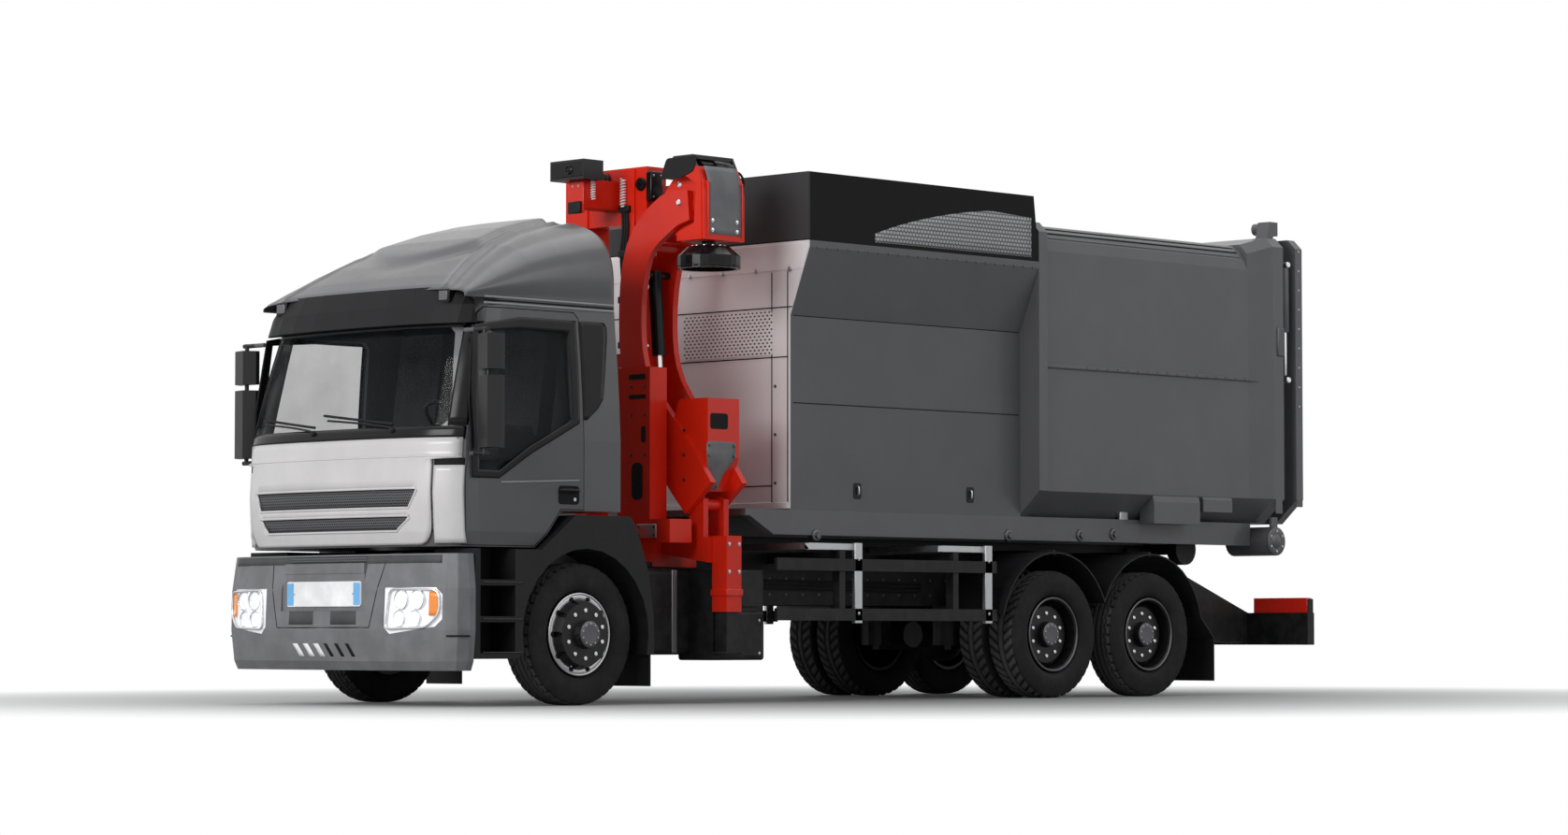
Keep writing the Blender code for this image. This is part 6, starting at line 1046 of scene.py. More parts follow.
class TRUCK_OT_tyres(bpy.types.Operator):
    """Replaces the plain tyres with treaded ones"""
    bl_idname = "truck.tyres"
    bl_label = "Tyres"

    def execute(self, context):
        sizes = context.scene.truck_sizes
        for nodes, wheel, chevrons in TYRES:
            turn, across, radius = tyre_grid(chevrons, sizes.tread_blocks,
                                             round(sizes.tread_depth, 6))
            for stem in nodes:
                for side in EITHER:
                    low, high = np.array(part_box("%s_%s" % (stem, side)))
                    middle = (low + high) / 2 - (0, FRONT_AXLE_Y, 0)
                    angle = TAU * turn[:, None]
                    points = np.stack([middle[0] + across, middle[1] + radius * np.sin(angle),
                                       middle[2] - radius * np.cos(angle)], axis=-1)
                    tyre = mesh_piece("%s_%s_dressed" % (stem, side), points,
                                      grid_faces(*across.shape, True, True), "tyre",
                                      "%s_%s" % (wheel, side), 28.0)
                    worn = np.clip((radius - 0.491) / 0.003, 0, 1).astype(np.float32)
                    layer = tyre.data.attributes.new("worn", "FLOAT", "POINT")
                    layer.data.foreach_set("value", worn.ravel())
                    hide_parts("%s_%s" % (stem, side))
        return {"FINISHED"}


RIMS = (("front_rim", "front_wheel", 0.072, 0.110, 0.0),
        ("drive_rim", "drive_wheel", 0.097, 0.0, 0.025),
        ("tag_rim", "tag_wheel", 0.097, 0.0, 0.025))


class TRUCK_OT_rims(bpy.types.Operator):
    """Adds the wheels' rim beads, hand holes, nuts and hub caps"""
    bl_idname = "truck.rims"
    bl_label = "Rims"

    def execute(self, context):
        for stem, wheel, disc_in, edge_in, hub_in in RIMS:
            for side, name in SIDES:
                low, high = np.array(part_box("%s_%s" % (stem, name)))
                middle = (low + high) / 2 - (0, FRONT_AXLE_Y, 0)
                outer = abs(high[0] if side > 0 else low[0])
                body = "%s_%s" % (wheel, name)
                tag = "%s_%s" % (stem, name)

                def spin(kind, profile, paint_name, steps=64):
                    place = np.array(profile) * (side, 1)
                    spun("%s_%s" % (kind, tag), (0, middle[1], middle[2]), (1, 0, 0), place,
                         paint_name, body, steps)

                edge, disc, hub = outer - edge_in, outer - disc_in, outer - hub_in
                t = np.linspace(0, TAU, 13)
                spin("bead", np.stack([edge - 0.004 + 0.010 * np.cos(t),
                                       0.284 + 0.010 * np.sin(t)], axis=1),
                     "wheel_silver" if stem == "front_rim" else "dark_metal")
                spin("ring", [(disc - 0.002, 0.128), (disc + 0.004, 0.130), (disc + 0.006, 0.140),
                              (disc + 0.006, 0.195), (disc + 0.003, 0.203),
                              (disc - 0.002, 0.204)], "rim_black")
                spin("cap", [(hub - 0.03, 0.093), (hub + 0.002, 0.093), (hub + 0.007, 0.086),
                             (hub + 0.005, 0.060), (hub + 0.005, 0.0)], "dark_metal")
                angle = TAU * np.arange(10) / 10
                ring = np.stack([0 * angle + side * (disc + 0.005),
                                 middle[1] + 0.1675 * np.sin(angle),
                                 middle[2] + 0.1675 * np.cos(angle)], axis=1)
                studs("nuts_" + tag, ring, (side, 0, 0), 0.0165, 0.026, "bright_metal", body)
                small = np.stack([0 * angle + side * (hub + 0.004),
                                  middle[1] + 0.074 * np.sin(angle),
                                  middle[2] + 0.074 * np.cos(angle)], axis=1)
                studs("cap_bolts_" + tag, small, (side, 0, 0), 0.006, 0.006, "zinc", body)
                if stem == "front_rim":
                    spin("annulus", [(edge - 0.03, 0.232), (edge - 0.004, 0.238),
                                     (edge, 0.246), (edge + 0.002, 0.268),
                                     (edge - 0.002, 0.280), (edge - 0.03, 0.282)], "wheel_silver")
                    self.holes(side, tag, body, middle, 0.258, 0.014, 0.085, lambda r: edge + 0.002)
                else:
                    self.holes(side, tag, body, middle, 0.2465, 0.019, 0.125, lambda r: np.interp(
                        r, [0.222, 0.271], [outer - 0.075, outer - 0.119]) + 0.0012)
        return {"FINISHED"}

    def holes(self, side, tag, body, middle, at_radius, tall, swing, place):
        """Dark oval hand holes round the wheel's face, ten of them in one mesh: matt black plates,
        painted shade for the openings.
        """
        t = np.linspace(0, TAU, 20, endpoint=False)
        radius = at_radius + tall * np.cos(t)
        swing = swing * np.sin(t)
        rim_x = place(radius) + 0 * radius
        angle = TAU * (np.arange(10) + 0.5)[:, None] / 10 + swing[None, :]
        points = np.stack([side * rim_x[None, :] + 0 * angle,
                           middle[1] + radius[None, :] * np.sin(angle),
                           middle[2] + radius[None, :] * np.cos(angle)], axis=-1)
        faces = (np.arange(10)[:, None] * 20 + np.arange(20)[None, :]).tolist()
        walled(mesh_piece("hand_holes_" + tag, points, faces, "matt_black", body), 0.001, 0.0)


# Crane


def slab(name, centre, size, finish_name, body, edge=0.004):
    """A box with eased edges about a centre."""
    half = np.asarray(size, dtype=float) / 2
    centre = np.asarray(centre, dtype=float)
    return boxes(name, [(centre - half, centre + half)], finish_name, body, edge)


def slot_marks(name, y, places, body, wall=0.003):
    """Dark slots on a face that looks ahead, from their corners (x0, z0, x1, z1): matt black
    plates, painted shade for the openings.
    """
    for index, (x0, z0, x1, z1) in enumerate(places):
        plate("%s_%d" % (name, index), "Y", [(x0, z0), (x1, z0), (x1, z1), (x0, z1)],
              y - wall, y + 0.001, "matt_black", body, min(x1 - x0, z1 - z0) * 0.45, 0.0)


class TRUCK_OT_crane_base(bpy.types.Operator):
    """Adds the guide's slots and bolts, the beam's plate and the outriggers' bands and pads"""
    bl_idname = "truck.crane_base"
    bl_label = "Crane base"

    def execute(self, context):
        slot_marks("guide_slot", 1.03, [(0.56, 2.35, 0.735, 2.39), (0.56, 2.21, 0.735, 2.24),
                                        (0.69, 1.89, 0.735, 2.01), (0.59, 1.475, 0.705, 1.745)],
                   "chassis")
        studs("guide_bolts", [(x, 1.03, z) for x in (0.58, 0.72) for z in (2.30, 2.09, 1.80)],
              (0, -1, 0), 0.010, 0.007, "dark_metal", "chassis")
        slab("beam_plate", (0.78, 0.998, 1.245), (0.20, 0.006, 0.10), "zinc", "chassis", 0.002)
        studs("beam_bolts", [(x, 0.994, z) for x in (0.70, 0.86) for z in (1.215, 1.275)],
              (0, -1, 0), 0.008, 0.006, "dark_metal", "chassis")
        studs("beam_row", [(x, 0.999, 1.245) for x in np.linspace(-0.95, 0.55, 9)], (0, -1, 0),
              0.012, 0.009, "dark_metal", "chassis")
        for side, name in SIDES:
            low, high = np.array(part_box("stabiliser_" + name)) - (0, FRONT_AXLE_Y, 0)
            x, y = (low[0] + high[0]) / 2, (low[1] + high[1]) / 2
            slab("outrigger_band_" + name, (x, y, 0.80), (0.175, 0.165, 0.05), "crane_paint",
                 "chassis", 0.006)
            skin = side * 1.2555
            studs("outrigger_bolts_" + name, [(skin, y + dy, z) for dy in (-0.05, 0.05)
                                              for z in (0.95, 1.15)], (side, 0, 0), 0.012, 0.008,
                  "zinc", "chassis")
            slab("foot_pad_" + name, (x, y, low[2] + 0.012), (0.15, 0.17, 0.022), "hose_rubber",
                 "stabiliser_" + name, 0.006)
        return {"FINISHED"}


class TRUCK_OT_mast(bpy.types.Operator):
    """Adds the mast's springs, discs, hoses, plates and the lookout camera"""
    bl_idname = "truck.mast"
    bl_label = "Mast"

    def execute(self, context):
        coil("spring_far", (0.174, 1.028, 3.70), (0.174, 1.028, 3.86), 0.016, 9, 0.0042,
             "plate_white", "chassis")
        coil("spring_near", (0.221, 1.287, 3.66), (0.221, 1.287, 3.87), 0.02, 10, 0.005,
             "plate_white", "chassis")
        for index, place in enumerate(((0.0, 1.322, 3.878), (0.382, 1.322, 3.82))):
            spun("mast_disc_%d" % index, place, (0, -1, 0),
                 [(-0.02, 0.0), (-0.02, 0.05), (0.012, 0.05), (0.02, 0.044), (0.022, 0.02),
                  (0.030, 0.018), (0.030, 0.0)], "gloss_black", "chassis", 36)
        slab("valve_box", (0.468, 1.372, 3.80), (0.06, 0.12, 0.22), "gloss_black", "chassis", 0.01)
        studs("valve_bolts", [(0.498, y, z) for y in (1.335, 1.41) for z in (3.72, 3.88)],
              (1, 0, 0), 0.007, 0.005, "zinc", "chassis")
        slab("camera_hood", (0.07, 0.862, 3.915), (0.34, 0.012, 0.115), "black_plastic", "chassis",
             0.006)
        spun("camera_lens", (0.10, 0.856, 3.912), (0, -1, 0),
             [(0, 0.034), (0.006, 0.034), (0.010, 0.028), (0.004, 0.022), (0.008, 0.012),
              (0.010, 0.0)], "gloss_black", "chassis", 32)
        slab("camera_plate", (0.075, 0.955, 3.715), (0.16, 0.012, 0.235), "crane_paint", "chassis",
             0.004)
        studs("camera_bolts", [(0.04, 0.949, 3.80), (0.10, 0.949, 3.80)], (0, -1, 0), 0.008,
              0.006, "zinc", "chassis")
        slab("camera_relay", (0.075, 0.936, 3.64), (0.13, 0.03, 0.09), "black_plastic", "chassis",
             0.008)
        for index, x in enumerate((0.20, 0.225, 0.25)):
            pipe("mast_hose_%d" % index,
                 [(x, 1.297, 3.66), (x + 0.01, 1.297, 3.50), (x - 0.01, 1.297, 3.30),
                  (x + 0.012, 1.297, 3.0), (x, 1.297, 2.62)], 0.0105, "hose_rubber", "chassis", 8)
        for index, z in enumerate((3.645, 3.31, 2.97, 2.635)):
            slab("hose_clamp_%d" % index, (0.228, 1.296, z), (0.11, 0.036, 0.05), "black_plastic",
                 "chassis", 0.006)
        return {"FINISHED"}


class TRUCK_OT_crane_head(bpy.types.Operator):
    """Adds the head's hood plate, motor, hose, cover, bell and pins"""
    bl_idname = "truck.crane_head"
    bl_label = "Crane head"

    def execute(self, context):
        hood = [(0.70, 3.82), (0.765, 3.972), (1.09, 3.976), (1.045, 3.86), (0.90, 3.815)]
        plate("hood_plate", "Y", hood, 1.205, 1.2125, "gloss_black", "crane_head", 0.03, 0.002)
        spun("head_motor", (1.03, 1.42, 3.90), (0, 1, 0),
             [(0, 0), (0, 0.045), (0.01, 0.052), (0.15, 0.052), (0.17, 0.04), (0.19, 0.04),
              (0.19, 0)], "gloss_black", "crane_head", 40)
        t = np.linspace(-math.pi / 2, math.pi / 2, 17)
        bend = np.stack([0 * t + 1.03, 1.665 + 0.075 * np.cos(t), 3.81 - 0.075 * np.sin(t)], axis=1)
        line = np.concatenate([[(1.03, 1.61, 3.885)], bend, [(1.03, 1.55, 3.735)]])
        hose = pipe("head_hose", line, 0.009, "hose_rubber", "crane_head", 12, False)
        low, high = np.array(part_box("crane_head")) - (0, FRONT_AXLE_Y, 0)
        side = high[0]
        curve = np.linspace(0, 1, 14)[:, None]
        y = 1.262 + 0.33 * np.linspace(0, 1, 8)[None, :]
        z = 3.40 + 0.50 * curve
        x = side - 0.052 * np.clip((z - 3.70) / 0.20, 0, 1) ** 2 + 0.004
        sheet_on("head_cover", np.stack(np.broadcast_arrays(x, y, z), axis=-1), 0.004,
                 "grey_plastic", "crane_head")
        studs("cover_bolts", [(side + 0.004, y, z) for y in (1.30, 1.55) for z in (3.43, 3.50)],
              (1, 0, 0), 0.012, 0.008, "bright_metal", "crane_head")
        for index, y in enumerate((1.256, 1.604)):
            slab("cover_flange_%d" % index, (side - 0.04, y, 3.585), (0.10, 0.012, 0.40),
                 "crane_paint", "crane_head", 0.003)
        # The head's own pin lies flat, because the boom swings past 6 mm in front of it.
        for index, (place, body, deep) in enumerate((
                ((0.812, 1.296, 3.783), "crane_head", 0.004),
                ((0.869, 1.24, 3.644), "boom", 0.018))):
            spun("head_pin_%d" % index, place, (0, -1, 0),
                 [(0, 0), (0, 0.022), (deep * 2 / 3, 0.022), (deep, 0.016), (deep, 0)],
                 "bright_metal", body, 24)
        low, high = np.array(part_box("coupler")) - (0, FRONT_AXLE_Y, 0)
        middle = (low + high) / 2
        radius = (high[1] - low[1]) / 2
        bell = [(0.0, radius * 0.86), (0.004, radius * 0.99), (0.018, radius * 1.0),
                (0.022, radius * 0.985), (0.030, radius * 0.99)]
        spun("bell_rim", (middle[0], middle[1], low[2] + 0.002), (0, 0, 1), bell, "gloss_black",
             "coupler", 72)
        ring = TAU * np.arange(12) / 12
        studs("bell_bolts", np.stack([middle[0] + 0.12 * np.cos(ring),
                                      middle[1] + 0.12 * np.sin(ring), 0 * ring + high[2] - 0.034],
                                     axis=1), (0, 0, 1), 0.009, 0.007, "zinc", "coupler")
        return {"FINISHED"}


class TRUCK_OT_boom(bpy.types.Operator):
    """Adds the lift ram's fittings and pipe, and the foot's cover, window and bolts"""
    bl_idname = "truck.boom"
    bl_label = "Boom"

    def execute(self, context):
        low, high = np.array(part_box("lift_barrel")) - (0, FRONT_AXLE_Y, 0)
        x, y = (low[0] + high[0]) / 2, 1.305
        for index, (z, paint_name, radius) in enumerate(((3.13, "brass", 0.028),
                                                         (3.06, "plate_white", 0.022),
                                                         (2.62, "zinc", 0.020))):
            spun("ram_port_%d" % index, (x - 0.01, y, z), (0, -1, 0),
                 [(-0.03, 0), (-0.03, radius), (0.0, radius), (0.006, radius * 0.8),
                  (0.03, radius * 0.75), (0.034, 0)], paint_name, "lift_barrel", 24)
        pipe("ram_pipe", [(x - 0.01, 1.275, 3.06), (x - 0.03, 1.262, 2.98), (x - 0.03, 1.262, 2.75),
                          (x - 0.01, 1.275, 2.62)], 0.008, "zinc", "lift_barrel", 8)
        # The cover lies on the foot, which slopes in below its bend: x = 1.142 - 0.413 (1.779 - z)
        z = np.array([1.895, 1.88, 1.83, 1.779, 1.74, 1.66, 1.60, 1.545])
        y = between(np.array([1.28, 1.258, 1.255, 1.26, 1.275, 1.335, 1.345, 1.35])[:, None],
                    np.array([1.525, 1.547, 1.55, 1.545, 1.53, 1.47, 1.46, 1.45])[:, None],
                    9)[..., 0]
        x = 1.142 - 0.413 * np.clip(1.779 - z, 0, 1)
        sheet_on("foot_cover", np.stack(np.broadcast_arrays(x, y, z), axis=-1), 0.006,
                 "grey_plastic", "boom")
        studs("foot_cover_bolts", [(1.146, 1.275, 1.865), (1.146, 1.53, 1.865),
                                   (1.146, 1.275, 1.79), (1.146, 1.53, 1.79),
                                   (1.06, 1.37, 1.57), (1.06, 1.435, 1.57)],
              (1, 0, 0), 0.010, 0.007, "dark_metal", "boom")
        # The window is a matt black plate, painted shade for the opening.
        plate("foot_window", "X", [(1.29, 1.985), (1.47, 1.985), (1.47, 2.10), (1.29, 2.10)],
              1.138, 1.1415, "matt_black", "boom", 0.025, 0.0)
        studs("foot_plate_bolts", [(xx, 1.2385, z) for xx in (0.70, 0.92)
                                   for z in (1.62, 1.80, 1.98)], (0, -1, 0), 0.011, 0.007,
              "dark_metal", "boom")
        return {"FINISHED"}


# Body

def sorted_pair(first, second):
    """Two corners as the lowest and the highest."""
    both_corners = np.array([first, second])
    return both_corners.min(axis=0), both_corners.max(axis=0)


class TRUCK_OT_hopper(bpy.types.Operator):
    """Adds the hopper's front wall, perforated panel, seams, latches and screen mesh"""
    bl_idname = "truck.hopper"
    bl_label = "Hopper"

    def execute(self, context):
        body = "compactor_body"
        front = 2.199
        # The front wall's band, sill and punched panel take the lit copy of the body paint, as
        # painted light from the front.
        plate("front_band", "Y", [(-1.20, 3.20), (1.20, 3.20), (1.20, 3.395), (-1.20, 3.395)],
              front - 0.006, front + 0.002, "lit_front_body_paint", body, 0.015, 0.003)
        studs("front_bolts", [(x, front - 0.006, 3.207) for x in np.linspace(-1.06, 1.06, 7)],
              (0, -1, 0), 0.016, 0.011, "zinc", body)
        plate("punched_panel", "Y", [(-0.06, 2.57), (0.875, 2.57), (0.875, 2.90), (-0.06, 2.90)],
              front - 0.010, front + 0.002, "punched_plate", body, 0.02, 0.003)
        for x in (0.87, 1.035):
            pipe("front_seam_%d" % round(1000 * x),
                 [(x, front - 0.0005, 1.46), (x, front - 0.0005, 3.19)], 0.0045, "matt_black",
                 body, 8, False)
        # The folds are matt black lines, painted shade in the bends.
        for x0, x1, z in ((-1.04, 1.04, 2.555), (-1.08, 1.08, 2.925), (0.30, 0.87, 1.60)):
            pipe("front_fold_%d" % round(1000 * z), [(x0, front - 0.0005, z),
                                                     (x1, front - 0.0005, z)], 0.0045,
                 "matt_black", body, 8, False)
        studs("seam_bolts", [(0.905, front, z) for z in (1.62, 1.98, 2.34)]
              + [(x, front, 2.585) for x in (0.05, 0.45, 0.85)], (0, -1, 0), 0.010, 0.007,
              "dark_metal", body)
        slab("front_sill", (0, front - 0.004, 1.452), (2.08, 0.012, 0.05), "lit_front_body_paint", body)
        low, high = np.array(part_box("hopper")) - (0, FRONT_AXLE_Y, 0)
        for side, name in SIDES:
            skin = side * 1.05
            for index, level in enumerate((2.215, 2.864)):
                line = [(skin, 2.24, level), (skin, 4.77, level)]
                pipe("hopper_seam_%s_%d" % (name, index), line, 0.004, "matt_black", body, 8,
                     False)
            for index, y in enumerate((2.93, 4.20)):
                latch = [(y - 0.04, 1.515), (y + 0.04, 1.515), (y + 0.04, 1.635),
                         (y - 0.04, 1.635)]
                plate("hopper_latch_%s_%d" % (name, index), "X", latch, skin - side * 0.002,
                      skin + side * 0.006, "gloss_black", body, 0.02, 0.002)
                bar = [(skin + side * 0.006, y, 1.545), (skin + side * 0.020, y, 1.555),
                       (skin + side * 0.020, y, 1.60), (skin + side * 0.006, y, 1.61)]
                pipe("hopper_latch_bar_%s_%d" % (name, index), bar, 0.006, "zinc", body, 8)
            studs("hopper_rivets_" + name,
                  [(side * high[0], y, 3.36) for y in np.linspace(2.30, 4.72, 23)], (side, 0, 0),
                  0.009, 0.005, "dark_metal", body, 8)
        low, high = np.array(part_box("hopper_screen")) - (0, FRONT_AXLE_Y, 0)
        for side in (1, -1):
            skin = side * high[0]
            y = np.linspace(2.92, 4.70, 21)
            top = 3.46 + 0.33 * np.sin(np.linspace(0.05, 1.0, 21) * math.pi / 2) ** 0.8
            top = np.minimum(top, 3.86 - (y - 2.2) * 0.045)
            lines = [np.stack([0 * y + skin + side * 0.001, y, z], axis=1)
                     for z in (0 * y + 3.44, top)]
            sheet_on("screen_window_%d" % (side + 1), between(*lines, 5), 0.002, "screen_mesh",
                     body)
        return {"FINISHED"}


class TRUCK_OT_container(bpy.types.Operator):
    """Adds the container's top grooves, rivets, brackets, ring strips and roller discs"""
    bl_idname = "truck.container"
    bl_label = "Container"

    def execute(self, context):
        body = "compactor_body"
        for side, name in SIDES:
            y = np.linspace(4.90, 7.40, 12)
            # The first two are matt black lines, painted shade in the grooves; the third is a
            # raised line in the body paint.
            for index, (out, level, reach, paint_name) in enumerate((
                    (1.146, 3.652, 0.004, "matt_black"), (1.101, 3.69, 0.004, "matt_black"),
                    (1.170, 3.615, 0.006, "body_paint"))):
                line = np.stack([0 * y + side * out, y, 0 * y + level], axis=1)
                pipe("top_groove_%s_%d" % (name, index), line, reach + 0.002, paint_name, body,
                     8, False)
            studs("rail_rivets_" + name, [(side * 1.2255, yy, 2.605)
                                          for yy in np.linspace(5.4, 7.4, 17)], (side, 0, 0),
                  0.007, 0.004, "dark_metal", body, 8)
            slab("foot_bracket_" + name, (side * 1.03, 6.06, 1.43), (0.03, 0.10, 0.11), "zinc",
                 body, 0.006)
            ring = side * 1.25
            slab("ring_strip_" + name, (ring - side * 0.003, 7.819, 2.55), (0.008, 0.09, 2.1),
                 "body_paint", body, 0.003)
            slab("ring_box_" + name, (ring - side * 0.01, 7.845, 2.93), (0.05, 0.085, 0.24),
                 "dark_metal", body, 0.008)
            spun("roller_disc_" + name, (side * 1.221, 7.809, 1.27), (side, 0, 0),
                 [(0, 0.118), (0.006, 0.118), (0.012, 0.108), (0.008, 0.06), (0.016, 0.05),
                  (0.016, 0.0)], "dark_metal", body, 48)
            studs("roller_bolts_" + name,
                  [(side * 1.229, 7.809 + 0.085 * math.sin(a), 1.27 + 0.085 * math.cos(a))
                   for a in TAU * np.arange(6) / 6], (side, 0, 0), 0.010, 0.008, "zinc", body)
        return {"FINISHED"}


class TRUCK_OT_tailgate(bpy.types.Operator):
    """Adds the tailgate's rams and their pins, slotted plates, bolts and ribs"""
    bl_idname = "truck.tailgate"
    bl_label = "Tailgate"

    def execute(self, context):
        for side, name in SIDES:
            x, y = side * 1.19, 7.985
            for kind, low, high, radius, paint_name in (("barrel", 3.02, 3.56, 0.036,
                                                         "body_paint"),
                                                        ("rod", 2.66, 3.03, 0.018,
                                                         "bright_metal")):
                spun("gate_%s_%s" % (kind, name), (x, y, 0), (0, 0, 1),
                     [(low, 0), (low, radius * 0.92), (low + 0.01, radius),
                      (high - 0.01, radius), (high, radius * 0.92), (high, 0)], paint_name,
                     "tailgate", 28)
            for index, z in enumerate((3.585, 2.62)):
                spun("gate_pin_%s_%d" % (name, index), (x - side * 0.066, y, z), (side, 0, 0),
                     [(0, 0), (0, 0.026), (0.106, 0.026), (0.113, 0.02), (0.113, 0)],
                     "bright_metal", "tailgate", 28)
            outer = side * 1.246
            plate("slotted_plate_" + name, "X", [(8.06, 1.56), (8.142, 1.56), (8.142, 2.26),
                                                 (8.075, 2.26)],
                  outer - side * 0.003, outer + side * 0.003, "dark_metal", "tailgate", 0.01)
            # The slot is a matt black plate, painted shade for the opening.
            plate("plate_slot_" + name, "X", [(8.085, 1.90), (8.115, 1.90), (8.115, 2.10),
                                              (8.085, 2.10)],
                  outer, outer + side * 0.0036, "matt_black", "tailgate", 0.014, 0.0)
            studs("gate_bolts_" + name, [(outer + side * 0.001, 8.10, z)
                                         for z in np.linspace(2.4, 3.7, 9)], (side, 0, 0), 0.010,
                  0.005, "zinc", "tailgate")
        rear = 8.145
        for index, z in enumerate((1.75, 2.35, 2.95, 3.50)):
            slab("gate_rib_%d" % index, (0, rear - 0.006, z), (2.16, 0.03, 0.09), "body_paint",
                 "tailgate", 0.008)
        for index, x in enumerate((-0.75, 0.0, 0.75)):
            slab("gate_upright_%d" % index, (x, rear - 0.010, 2.62), (0.08, 0.022, 1.95),
                 "body_paint", "tailgate", 0.008)
        return {"FINISHED"}


class TRUCK_OT_rear(bpy.types.Operator):
    """Adds the flat tail lamps, the red lamp boxes and the blank rear plate"""
    bl_idname = "truck.rear"
    bl_label = "Rear"

    def execute(self, context):
        low, high = np.array(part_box("rear_underrun")) - (0, FRONT_AXLE_Y, 0)
        for side, name in SIDES:
            for index, (x, finish_name) in enumerate(((1.10, "red_lens"), (0.98, "amber_lens"),
                                                      (0.86, "lamp_white"))):
                x0, x1 = side * x - 0.05, side * x + 0.05
                plate("tail_lamp_%s_%d" % (name, index), "Y",
                      [(x0, 0.55), (x1, 0.55), (x1, 0.64), (x0, 0.64)], high[1] - 0.004,
                      high[1] + 0.001, finish_name, "chassis", 0.012, 0.0)
            boxes("tail_red_" + name, [sorted_pair((side * 0.62, 8.27, 0.672),
                                                   (side * 1.19, 8.335, 0.805))],
                  "red_lens", "chassis", 0.006)
        plate("rear_plate_blank", "Y", [(-0.26, 0.52), (0.26, 0.52), (0.26, 0.64), (-0.26, 0.64)],
              high[1] - 0.001, high[1], "plate_white", "chassis", 0.012, 0.0)
        return {"FINISHED"}


class TRUCK_OT_chassis(bpy.types.Operator):
    """Adds tank straps and caps, locker lids, guards, frame bolts, air lines and body locks"""
    bl_idname = "truck.chassis"
    bl_label = "Chassis"

    def execute(self, context):
        for side, name in SIDES:
            rail = side * 0.4255
            studs("rail_bolts_" + name,
                  [(rail, y, z) for y in np.arange(1.0, 7.3, 0.18) for z in (0.80, 0.92)],
                  (side, 0, 0), 0.010, 0.008, "dark_metal", "chassis")
            for index, level in enumerate((0.84, 0.87, 0.90)):
                pipe("air_line_%s_%d" % (name, index),
                     [(rail + side * 0.02, 0.9, level), (rail + side * 0.028, 2.4, level + 0.006),
                      (rail + side * 0.02, 3.9, level - 0.004), (rail + side * 0.02, 4.3, level)],
                     0.008, "hose_rubber", "chassis", 8)
            skin = side * 1.1005
            for index, (y, z) in enumerate(((1.83, 0.60), (1.83, 0.36), (1.41, 0.60),
                                            (1.41, 0.36))):
                studs("locker_bolt_%s_%d" % (name, index), [(skin, y, z)], (side, 0, 0), 0.012,
                      0.008, "zinc", "chassis")
            plate("locker_lid_" + name, "X", [(1.385, 0.34), (1.855, 0.34), (1.855, 0.645),
                                              (1.385, 0.645)],
                  skin - side * 0.002, skin + side * 0.005, "chassis_paint", "chassis", 0.03)
            plate("locker_lid_upper_" + name, "X", [(1.385, 0.70), (1.855, 0.70), (1.855, 0.955),
                                                    (1.385, 0.955)],
                  skin - side * 0.002, skin + side * 0.005, "chassis_paint", "chassis", 0.03)
            spun("tank_cap_" + name, (side * 0.70, 1.05, 0.98), (0, 0, 1),
                 [(0, 0.055), (0.01, 0.06), (0.035, 0.06), (0.042, 0.05), (0.042, 0)],
                 "black_plastic", "chassis", 32)
            for index, y in enumerate((0.93, 1.22)):
                slab("tank_strap_%s_%d" % (name, index), (side * 0.8405, y, 0.665),
                     (0.006, 0.05, 0.60), "zinc", "chassis", 0.002)
            guard = side * 1.2
            for index, y in enumerate((2.79, 4.25)):
                slab("guard_post_%s_%d" % (name, index), (guard - side * 0.016, y, 0.88),
                     (0.032, 0.08, 0.60), "zinc", "chassis", 0.004)
                studs("guard_bolts_%s_%d" % (name, index),
                      [(guard, y, z) for z in (0.655, 1.06)], (side, 0, 0), 0.010, 0.007, "zinc",
                      "chassis")
            boxes("guard_arms_" + name,
                  [(sorted_pair((side * 0.44, y - 0.55, 1.125), (side * 1.17, y - 0.50, 1.175)))
                   for y in (2.79, 4.25)]
                  + [(sorted_pair((side * 1.12, y - 0.55, 1.125), (side * 1.17, y + 0.03, 1.175)))
                     for y in (2.79, 4.25)], "zinc", "chassis", 0.004)
        for index, (y, z) in enumerate(((2.484, 1.235), (4.646, 1.27), (5.506, 1.285),
                                        (5.918, 1.30))):
            for side in (1, -1):
                spun("body_lock_%d_%d" % (index, side), (side * 1.02, y, z), (side, 0, 0),
                     [(0, 0), (0, 0.045), (0.02, 0.05), (0.04, 0.045), (0.045, 0.025),
                      (0.06, 0.022), (0.06, 0)], "dark_metal", "compactor_body", 32)
        return {"FINISHED"}


# Seats

